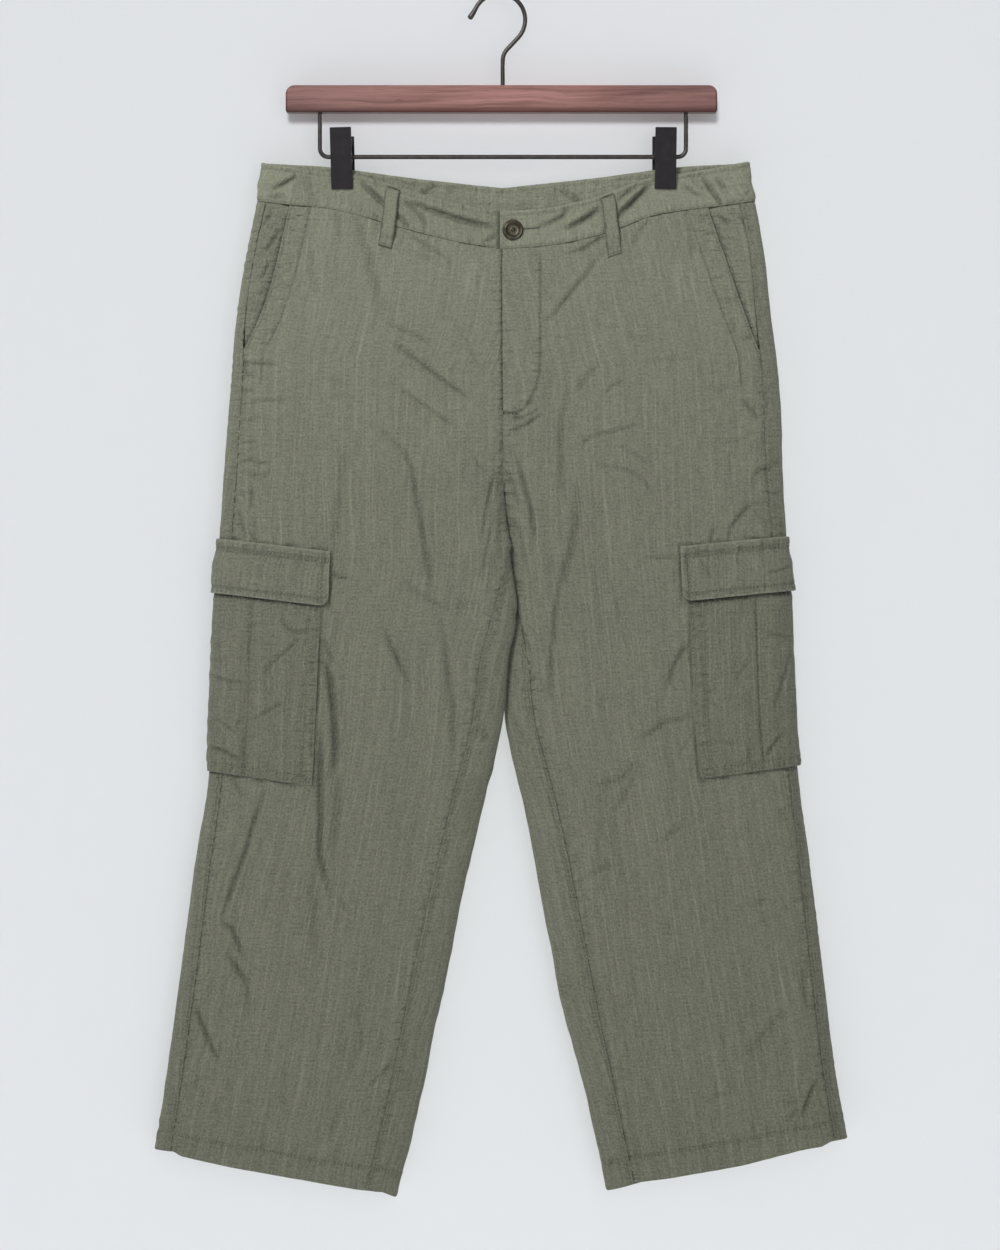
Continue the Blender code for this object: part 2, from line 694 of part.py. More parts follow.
CARGO_SETS = (
    CargoSet(
        half=RIGHT,
        pocket=Patch(front=0.0945, back=-0.050, top=0.342, bottom=0.512, slope=0.100),
        flap=Patch(front=0.1010, back=-0.054, top=0.303, bottom=0.352, slope=0.115),
    ),
    CargoSet(
        half=LEFT,
        pocket=Patch(front=0.0895, back=-0.050, top=0.340, bottom=0.507, slope=0.100),
        flap=Patch(front=0.0960, back=-0.054, top=0.301, bottom=0.350, slope=0.095),
    ),
)
SIDE_INSETS = (*(-inset for inset in reversed(TURNING_INSETS)), 0.0, *TURNING_INSETS, *FLAT_INSETS)
CORNER_SHARES = (0.0, 0.12, 0.45, 1.0)


def patch_lift(insets):
    """Height of a patch's underside: a little more where it turns round the side fold."""
    return GAP + FOLD_EASE * np.exp(-((insets[None, :] / FOLD_EASE_REACH) ** 2))


def patch_shape(patch, half, insets, tallness):
    """Around and down shares of a patch's grid; its rows follow the leg and slope to the front."""
    inset = insets[None, :]
    drop = patch.top + (patch.bottom - patch.top) * tallness[:, None] + patch.slope * inset
    down = drop / half.length
    around = -inset / half.width(down)
    return np.broadcast_arrays(around, down)


def rounded_lower_corners(patch, insets):
    """Share of the full height at each inset, less at the two rounded lower corners."""
    from_edge = np.minimum(patch.front - insets, insets - patch.back)
    cut = FLAP_CORNER * (1 - quarter_round(from_edge / FLAP_CORNER))
    return 1 - cut / (patch.bottom - patch.top)


def cargo_pocket(cargo, material, collection):
    """Patch pocket round the side of the leg, its mouth under the flap."""
    half, patch = cargo.half, cargo.pocket
    insets = np.array([patch.back, *SIDE_INSETS, patch.front])
    around, down = patch_shape(patch, half, insets, shares(9))
    lift = patch_lift(insets) + np.zeros_like(around)
    outer = leg_layer(half, around, down, lift + POCKET_WALL)
    inner = leg_layer(half, around, down, lift)
    return wall(f"cargo_pocket_{half.name}", outer, inner, material, collection)


def cargo_flap(cargo, material, collection):
    """Flap sewn to the leg along its top and lying over the pocket's mouth."""
    half, patch = cargo.half, cargo.flap
    corner_steps = FLAP_CORNER * np.array(CORNER_SHARES)
    insets = np.array([*(patch.back + corner_steps), *SIDE_INSETS, *(patch.front - corner_steps[::-1])])
    tallness = shares(6)
    around, down = patch_shape(patch, half, insets, tallness)
    corner = rounded_lower_corners(patch, insets)[None, :]
    drop = (patch.bottom - patch.top) * tallness[:, None] / half.length
    down = down - drop * (1 - corner)
    over_pocket = ease((tallness[:, None] - FLAP_RISE_START) / FLAP_RISE_LENGTH)
    lift = patch_lift(insets) + (POCKET_WALL + GAP) * over_pocket
    outer = leg_layer(half, around, down, lift + POCKET_WALL)
    inner = leg_layer(half, around, down, lift)
    return wall(f"cargo_flap_{half.name}", outer, inner, material, collection)


def waist_button(material, collection):
    """Turned shank button: raised rim, dished face and a small centre boss."""
    spread = BUTTON_RADIUS / LEFT.width(0.0)
    across = band_at(BUTTON_TURN + spread, BUTTON_RISE) - band_at(BUTTON_TURN - spread, BUTTON_RISE)
    tall = BUTTON_RADIUS / BAND_HEIGHT
    upward = band_at(BUTTON_TURN, BUTTON_RISE + tall) - band_at(BUTTON_TURN, BUTTON_RISE - tall)
    outward = Vector(np.cross(across, upward)).normalized()
    seat = Vector(band_at(BUTTON_TURN, BUTTON_RISE)) + outward * (BAND_PROUD + BUTTON_STAND)
    profile = (
        (0.0, 0.0017),
        (0.0012, 0.0016),
        (0.0022, 0.0010),
        (0.0056, 0.0012),
        (0.0068, 0.0021),
        (0.0080, 0.0023),
        (BUTTON_RADIUS, 0.0014),
        (BUTTON_RADIUS - 0.0006, 0.0004),
        (0.0070, 0.0),
        (0.0, 0.0),
    )
    bm = bmesh.new()
    verts = [bm.verts.new((radius, 0.0, height)) for radius, height in profile]
    for start, end in zip(verts, verts[1:]):
        bm.edges.new((start, end))
    piece = add_object("waist_button", mesh_from(bm, "waist_button"), material, collection)
    screw = piece.modifiers.new("turned", "SCREW")
    screw.steps = 20
    screw.render_steps = 20
    screw.use_merge_vertices = True
    screw.merge_threshold = 0.00001
    piece.matrix_world = Matrix.Translation(seat) @ outward.to_track_quat("Z", "Y").to_matrix().to_4x4()
    return piece


def wire(name, points, radii, material, collection):
    """Round wire along a smooth run of points."""
    curve = bpy.data.curves.new(name, "CURVE")
    curve.dimensions = "3D"
    curve.bevel_depth = WIRE
    curve.bevel_resolution = 2
    curve.use_fill_caps = True
    spline = curve.splines.new("POLY")
    spline.points.add(len(points) - 1)
    for target, point, radius in zip(spline.points, points, radii):
        target.co = (*point, 1.0)
        target.radius = radius
    return add_object(name, curve, material, collection)


def hanger_hook(material, collection):
    """Stem out of the bar, bent over to the left side and round the top to a flared tip."""
    centre_z = WIRE - HOOK_RADIUS
    points = [(STEM_X, 0.0, BAR_Z[1] - SOCKET_DEPTH)]
    points += [(STEM_X + aside, 0.0, STEM_BEND_Z + rise) for aside, rise in STEM_BEND]
    for degrees in np.linspace(HOOK_FROM, HOOK_TIP, 27):
        flare = HOOK_FLARE * max(0.0, (degrees - HOOK_FLARE_FROM) / (HOOK_TIP - HOOK_FLARE_FROM)) ** 2
        radius = HOOK_RADIUS + flare
        angle = math.radians(degrees)
        points.append((radius * math.cos(angle), 0.0, centre_z + radius * math.sin(angle)))
    radii = [1.0] * (len(points) - len(HOOK_TIP_SWELL)) + [*HOOK_TIP_SWELL]
    return wire("hanger_hook", points, radii, material, collection)


def hanger_rail(material, collection):
    """Wire that drops from the bar, runs level through the clips and goes back up."""
    top = BAR_Z[0] + SOCKET_DEPTH
    points = [(RAIL_X[0], 0.0, top), (RAIL_X[0], 0.0, RAIL_Z + RAIL_BEND)]
    for step in range(1, RAIL_BEND_STEPS + 1):
        angle = math.pi / 2 * step / RAIL_BEND_STEPS
        across, drop = RAIL_BEND * (1 - math.cos(angle)), RAIL_BEND * (1 - math.sin(angle))
        points.append((RAIL_X[0] + across, 0.0, RAIL_Z + drop))
    middle = (RAIL_X[0] + RAIL_X[1]) / 2
    points += [(2 * middle - x, y, z) for x, y, z in reversed(points)]
    return wire("hanger_rail", points, [1.0] * len(points), material, collection)


def box_mesh(name, size, centre):
    bm = bmesh.new()
    bmesh.ops.create_cube(bm, size=1.0)
    bmesh.ops.scale(bm, vec=size, verts=bm.verts)
    bmesh.ops.translate(bm, vec=centre, verts=bm.verts)
    return mesh_from(bm, name)


def rod_mesh(name, radius, length, axis):
    """Closed cylinder along an axis, centred on its own origin."""
    bm = bmesh.new()
    bmesh.ops.create_cone(
        bm, cap_ends=True, segments=16, radius1=radius, radius2=radius, depth=length
    )
    turn = Vector((0.0, 0.0, 1.0)).rotation_difference(Vector(axis)).to_matrix()
    bmesh.ops.rotate(bm, matrix=turn, verts=bm.verts)
    return mesh_from(bm, name)


def add_cutter(name, mesh, matrix, cutters):
    cutter = bpy.data.objects.new(name, mesh)
    cutters.objects.link(cutter)
    cutter.matrix_world = matrix
    cutter.hide_render = True
    cutter.display_type = "WIRE"
    return cutter


def combine(piece, other, operation):
    modifier = piece.modifiers.new(operation.lower(), "BOOLEAN")
    modifier.operation = operation
    modifier.object = other


def hanger_bar(material, collection, cutters):
    """Wooden bar with round upper corners, eased edges and sockets for the wires."""
    width, height = BAR_X[1] - BAR_X[0], BAR_Z[1] - BAR_Z[0]
    centre = ((BAR_X[0] + BAR_X[1]) / 2, 0.0, (BAR_Z[0] + BAR_Z[1]) / 2)
    bm = bmesh.new()
    bmesh.ops.create_cube(bm, size=1.0)
    bmesh.ops.scale(bm, vec=(width, BAR_THICK, height), verts=bm.verts)
    deep = [edge for edge in bm.edges if abs(edge.verts[0].co.y - edge.verts[1].co.y) > BAR_THICK / 2]
    upper = [edge for edge in deep if edge.verts[0].co.z > 0]
    lower = [edge for edge in deep if edge.verts[0].co.z < 0]
    for edges, radius, segments in ((upper, BAR_UPPER_CORNER, 6), (lower, BAR_LOWER_CORNER, 3)):
        bmesh.ops.bevel(
            bm, geom=edges, offset=radius, segments=segments, profile=0.5, affect="EDGES", material=-1
        )
    bmesh.ops.translate(bm, vec=centre, verts=bm.verts)
    piece = add_object("hanger_bar", mesh_from(bm, "hanger_bar"), material, collection)
    bevel = piece.modifiers.new("eased edges", "BEVEL")
    bevel.width = BAR_EDGE
    bevel.segments = 2
    bevel.limit_method = "ANGLE"
    sockets = (
        ("stem_socket", STEM_X, BAR_Z[1]),
        ("right_rail_socket", RAIL_X[0], BAR_Z[0]),
        ("left_rail_socket", RAIL_X[1], BAR_Z[0]),
    )
    for name, x, z in sockets:
        mesh = rod_mesh(name, WIRE + GAP, 2 * (SOCKET_DEPTH + GAP), (0.0, 0.0, 1.0))
        combine(piece, add_cutter(name, mesh, Matrix.Translation((x, 0.0, z)), cutters), "DIFFERENCE")
    return piece


class Clip(NamedTuple):
    """A clip on the rail: its place, its lean as seen from the front, and the side facing centre."""

    name: str
    x: float
    lean: float
    inward: int


CLIPS = (
    Clip("right", -0.1419, math.radians(-1.4), 1),
    Clip("left", 0.1495, math.radians(0.4), -1),
)


class Jaw(NamedTuple):
    """One jaw: face -1 in front of the cloth or 1 behind it, its height above the rail and ears."""

    name: str
    face: int
    above: float
    shift: float
    ear_x: float


JAWS = (
    Jaw("front", -1, JAW_ABOVE, 0.0, 0.0088),
    Jaw("back", 1, JAW_ABOVE - JAW_BACK_LOWER, 0.0018, 0.0068),
)


def clip_jaw(clip, jaw, material, collection, cutters):
    """Flat plate leaning in to its bite on the cloth, with two ears round the rail."""
    on_rail = Matrix.Translation((clip.x, 0.0, RAIL_Z))
    place = on_rail @ Matrix.Rotation(clip.lean, 4, "Y")
    slope = math.atan2(JAW_OPEN - JAW_BITE, JAW_ABOVE + JAW_BELOW)
    height = jaw.above + JAW_BELOW
    name = f"clip_{clip.name}_{jaw.name}_jaw"
    plate = box_mesh(name, (JAW_WIDTH, JAW_WALL, height), (0.0, jaw.face * JAW_WALL / 2, height / 2))
    foot = Matrix.Translation((clip.inward * jaw.shift, jaw.face * JAW_BITE, -JAW_BELOW))
    piece = add_object(name, plate, material, collection)
    piece.matrix_world = place @ foot @ Matrix.Rotation(-jaw.face * slope, 4, "X")
    bevel = piece.modifiers.new("eased edges", "BEVEL")
    bevel.width = JAW_EDGE
    bevel.segments = 1
    bevel.limit_method = "ANGLE"
    plate_y = JAW_BITE + math.tan(slope) * JAW_BELOW + JAW_WALL / 2
    ear_deep = plate_y + EAR_PAST
    for side in (-1, 1):
        ear_name = f"{name}_ear_{side}"
        centre = (side * jaw.ear_x, jaw.face * (plate_y - ear_deep / 2), 0.0)
        ear = box_mesh(ear_name, (EAR_WALL, ear_deep, EAR_HIGH), centre)
        combine(piece, add_cutter(ear_name, ear, place, cutters), "UNION")
    hole = rod_mesh(f"{name}_hole", WIRE + GAP, 2 * JAW_WIDTH, (1.0, 0.0, 0.0))
    combine(piece, add_cutter(f"{name}_hole", hole, on_rail, cutters), "DIFFERENCE")
    return piece


def clip_spring(clip, material, collection):
    """Coil round the rail between the ears, its turns as ridges on one barrel."""
    pitch = 2 * SPRING_HALF / SPRING_TURNS
    groove = SPRING_RADIUS - SPRING_GROOVE
    ridge = []
    for number in range(SPRING_TURNS):
        start = -SPRING_HALF + number * pitch
        ridge.append((start, groove))
        ridge.append((start + pitch * 0.25, SPRING_RADIUS))
        ridge.append((start + pitch * 0.75, SPRING_RADIUS))
    ridge.append((SPRING_HALF, groove))
    bore = [(-SPRING_HALF, WIRE + GAP), (SPRING_HALF, WIRE + GAP)]
    bm = bmesh.new()
    verts = [bm.verts.new((radius, 0.0, x)) for x, radius in [*reversed(ridge), *bore]]
    for start, end in zip(verts, verts[1:] + verts[:1]):
        bm.edges.new((start, end))
    name = f"clip_{clip.name}_spring"
    piece = add_object(name, mesh_from(bm, name), material, collection)
    screw = piece.modifiers.new("turned", "SCREW")
    screw.steps = 10
    screw.render_steps = 10
    screw.use_merge_vertices = True
    screw.merge_threshold = 0.00001
    piece.matrix_world = Matrix.Translation((clip.x, 0.0, RAIL_Z)) @ Matrix.Rotation(math.pi / 2, 4, "Y")
    return piece


def add_collection(name):
    collection = bpy.data.collections.new(name)
    bpy.context.scene.collection.children.link(collection)
    return collection


def clear_scene():
    for existing in list(bpy.data.objects):
        bpy.data.objects.remove(existing, do_unlink=True)


def build_trousers(collection):
    cloth = make_material("olive_canvas", (0.172, 0.178, 0.130), 0.92, 0.0)
    trim = make_material("olive_canvas_trim", (0.165, 0.170, 0.125), 0.92, 0.0)
    bronze = make_material("button_bronze", (0.115, 0.095, 0.060), 0.42, 0.85)
    for half in HALVES:
        panel(half, -1, cloth, collection)
        panel(half, 1, cloth, collection)
        hip_pocket_facing(half, cloth, collection)
    fly_shield(trim, collection)
    waistbands(trim, collection)
    waist_button(bronze, collection)
    for place in LOOP_PLACES:
        belt_loop(place, trim, collection)
    for cargo in CARGO_SETS:
        cargo_pocket(cargo, cloth, collection)
        cargo_flap(cargo, cloth, collection)


def build_hanger(collection, cutters):
    wood = make_material("mahogany", (0.33, 0.17, 0.145), 0.45, 0.0)
    steel = make_material("dark_wire", (0.075, 0.068, 0.066), 0.38, 0.7)
    black = make_material("black_clip", (0.040, 0.037, 0.042), 0.55, 0.2)
    hanger_bar(wood, collection, cutters)
    hanger_hook(steel, collection)
    hanger_rail(steel, collection)
    for clip in CLIPS:
        for jaw in JAWS:
            clip_jaw(clip, jaw, black, collection, cutters)
        clip_spring(clip, steel, collection)


def main():
    clear_scene()
    collection = add_collection(COLLECTION)
    cutters = add_collection("cutters")
    build_trousers(collection)
    build_hanger(collection, cutters)


main()
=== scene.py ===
"""Finished look of the wide-leg cargo trousers on their clip hanger.

Metres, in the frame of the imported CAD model: X runs to the wearer's left, Z is up and the front
of the trousers faces -Y. The cloth is the surface of the CAD panels, worked out from the same
tables. Creases, puckers, seams and stitching are added on it, and each sheet gets its own wall.

A point of the body is named by `around` (0 at a side fold, -1 at the inner edge across the
front, 1 at the inner edge across the back) and `down` (0 at the waist seam, 1 at the hem).
"""

import logging
import math
from collections.abc import Sequence
from dataclasses import dataclass
from enum import Enum
from typing import NamedTuple

import bmesh
import bpy
import numpy as np
from mathutils import Matrix, Vector


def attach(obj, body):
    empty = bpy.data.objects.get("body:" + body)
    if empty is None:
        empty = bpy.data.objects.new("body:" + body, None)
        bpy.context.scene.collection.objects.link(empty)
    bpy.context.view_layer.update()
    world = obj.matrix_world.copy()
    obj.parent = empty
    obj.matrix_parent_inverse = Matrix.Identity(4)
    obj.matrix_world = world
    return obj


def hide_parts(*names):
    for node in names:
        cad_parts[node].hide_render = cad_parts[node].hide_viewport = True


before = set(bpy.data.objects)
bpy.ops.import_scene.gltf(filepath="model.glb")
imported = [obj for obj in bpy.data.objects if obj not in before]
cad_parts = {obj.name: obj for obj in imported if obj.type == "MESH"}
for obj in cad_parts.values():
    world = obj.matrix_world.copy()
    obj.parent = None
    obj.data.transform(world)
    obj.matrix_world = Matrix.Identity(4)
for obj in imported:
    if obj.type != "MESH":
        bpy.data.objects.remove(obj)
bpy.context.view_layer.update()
LOG = logging.getLogger("trousers")
Array = np.ndarray
MM = 0.001

# The cloth's surface, as the CAD source has it
CLOTH = 0.0016
BAND_WALL = 0.0026
BAND_PROUD = 0.0008
LOOP_WALL = 0.0018
POCKET_WALL = 0.0020
GAP = 0.0003
RELAX = 0.20
SPLIT_START = 0.19
CROTCH = 0.308
LAP_FULL = 0.37
LAP_HOLD = 0.56
LAP_END = 0.66
LAP_WIDTH = 0.0015
LAP_LEAN = 0.0057
WAIST_ROUND = 0.010
PINCH_RISE_FRONT = 0.56
PINCH_RISE_BACK = 0.37
LEG_ROUND = 0.030
FLATNESS = 0.80
MOUTH_END = 0.158
BAND_HEIGHT = 0.036
CENTRE = 0.0025
BAND_SPAN = 0.2277
CREASE_RISE = 2.1
FRONT_JAWS = ("clip_right_front_jaw", "clip_left_front_jaw")
LEG_FIELDS = ("side_x", "side_z", "inner_x", "inner_z", "side_seam", "inner_seam")
RIGHT_ROWS = (
    (-0.2180, -0.1855, 0.0025, -0.2300, 0.0086, 0.0),
    (-0.2270, -0.2305, 0.0025, -0.2647, 0.0077, 0.0),
    (-0.2360, -0.2863, 0.0028, -0.3142, 0.0086, 0.0),
    (-0.2414, -0.3502, 0.0032, -0.3655, 0.0108, 0.0),
    (-0.2468, -0.4132, 0.0040, -0.4120, 0.0126, 0.0),
    (-0.2499, -0.4564, 0.0050, -0.4500, 0.0126, 0.0),
    (-0.2522, -0.4942, 0.0084, -0.4942, 0.0126, 0.0),
    (-0.2544, -0.5482, 0.0142, -0.5500, 0.0126, 0.0198),
    (-0.2571, -0.6022, 0.0070, -0.6020, 0.0126, 0.0261),
    (-0.2594, -0.6562, 0.0020, -0.6530, 0.0126, 0.0279),
    (-0.2616, -0.7012, -0.0105, -0.7102, 0.0126, 0.0288),
    (-0.2760, -0.7957, -0.0335, -0.8137, 0.0148, 0.0297),
    (-0.2882, -0.8902, -0.0542, -0.9127, 0.0148, 0.0297),
    (-0.2990, -0.9667, -0.0717, -0.9973, 0.0148, 0.0288),
    (-0.3098, -1.0378, -0.0929, -1.0810, 0.0153, 0.0270),
)
LEFT_ROWS = (
    (0.2302, -0.1855, 0.0025, -0.2300, 0.0144, 0.0),
    (0.2374, -0.2242, 0.0025, -0.2647, 0.0135, 0.0),
    (0.2446, -0.2863, 0.0028, -0.3142, 0.0144, 0.0),
    (0.2518, -0.3502, 0.0032, -0.3655, 0.0158, 0.0),
    (0.2550, -0.4132, 0.0040, -0.4120, 0.0162, 0.0),
    (0.2570, -0.4564, 0.0050, -0.4500, 0.0153, 0.0),
    (0.2586, -0.4942, 0.0084, -0.4942, 0.0135, 0.0),
    (0.2608, -0.5482, 0.0142, -0.5500, 0.0117, 0.0030),
    (0.2626, -0.6022, 0.0070, -0.6020, 0.0108, 0.0207),
    (0.2653, -0.6562, 0.0065, -0.6530, 0.0099, 0.0270),
    (0.2694, -0.7012, 0.0178, -0.7102, 0.0090, 0.0297),
    (0.2815, -0.7957, 0.0376, -0.8119, 0.0103, 0.0315),
    (0.2927, -0.8902, 0.0570, -0.9082, 0.0112, 0.0306),
    (0.3029, -0.9667, 0.0781, -0.9919, 0.0117, 0.0270),
    (0.3130, -1.0279, 0.0970, -1.0747, 0.0117, 0.0243),
)
WAIST_FIELDS = (
    "share", "right_top", "right_seam", "left_top", "left_seam",
    "back_top", "back_seam", "top_depth", "seam_depth",
)
WAIST_ROWS = (
    (0.00, -0.1504, -0.1855, -0.1495, -0.1855, -0.1500, -0.1855, 0.0052, 0.0070),
    (0.13, -0.1549, -0.1891, -0.1549, -0.1900, -0.1515, -0.1868, 0.0050, 0.0082),
    (0.29, -0.1585, -0.1925, -0.1606, -0.1945, -0.1540, -0.1892, 0.0024, 0.0092),
    (0.39, -0.1610, -0.1972, -0.1634, -0.1985, -0.1567, -0.1918, 0.0026, 0.0106),
    (0.60, -0.1751, -0.2111, -0.1806, -0.2160, -0.1621, -0.1972, 0.0095, 0.0140),
    (0.80, -0.1873, -0.2224, -0.1918, -0.2260, -0.1666, -0.2017, 0.0130, 0.0160),
    (1.00, -0.1956, -0.2300, -0.1956, -0.2300, -0.1711, -0.2062, 0.0140, 0.0168),
)
DEPTH_ROWS = (
    (0.00, 0.0165, 0.0150),
    (0.18, 0.0190, 0.0190),
    (0.31, 0.0175, 0.0185),
    (0.50, 0.0155, 0.0155),
    (0.75, 0.0140, 0.0135),
    (1.00, 0.0130, 0.0120),
)
FRONT_FOLDS = (
    (-0.1400, -0.5200, -0.1330, -0.8500, 0.012, -0.0030),
    (-0.1050, -0.5200, -0.1100, -0.7600, 0.018, 0.0022),
    (-0.0620, -0.5600, -0.0900, -0.8800, 0.017, -0.0026),
    (-0.1000, -0.2900, -0.0200, -0.3750, 0.012, -0.0024),
    (-0.1150, -0.3200, -0.0450, -0.4050, 0.013, -0.0020),
    (-0.2150, -0.7600, -0.2450, -0.9300, 0.014, -0.0024),
    (0.0950, -0.2900, 0.0300, -0.3800, 0.012, -0.0022),
    (0.0850, -0.5200, 0.1250, -0.8600, 0.020, -0.0030),
    (0.1350, -0.5600, 0.1550, -0.9000, 0.015, 0.0022),
    (0.1980, -0.7200, 0.2250, -0.9300, 0.014, -0.0022),
    (0.0250, -0.4600, 0.0750, -0.5400, 0.012, -0.0020),
    (-0.0200, -0.4600, -0.0650, -0.5300, 0.012, -0.0020),
)
BACK_FOLDS = (
    (-0.1350, -0.5200, -0.1450, -0.8800, 0.018, -0.0030),
    (-0.0800, -0.4700, -0.0950, -0.7800, 0.018, 0.0024),
    (-0.0250, -0.4350, -0.1250, -0.4900, 0.014, -0.0034),
    (-0.2000, -0.7400, -0.2300, -0.9500, 0.015, -0.0024),
    (0.0350, -0.4350, 0.1300, -0.4950, 0.014, -0.0034),
    (0.1300, -0.5200, 0.1500, -0.8700, 0.018, -0.0030),
    (0.0850, -0.5000, 0.1050, -0.8000, 0.018, 0.0022),
    (0.2100, -0.7400, 0.2300, -0.9300, 0.015, -0.0024),
)
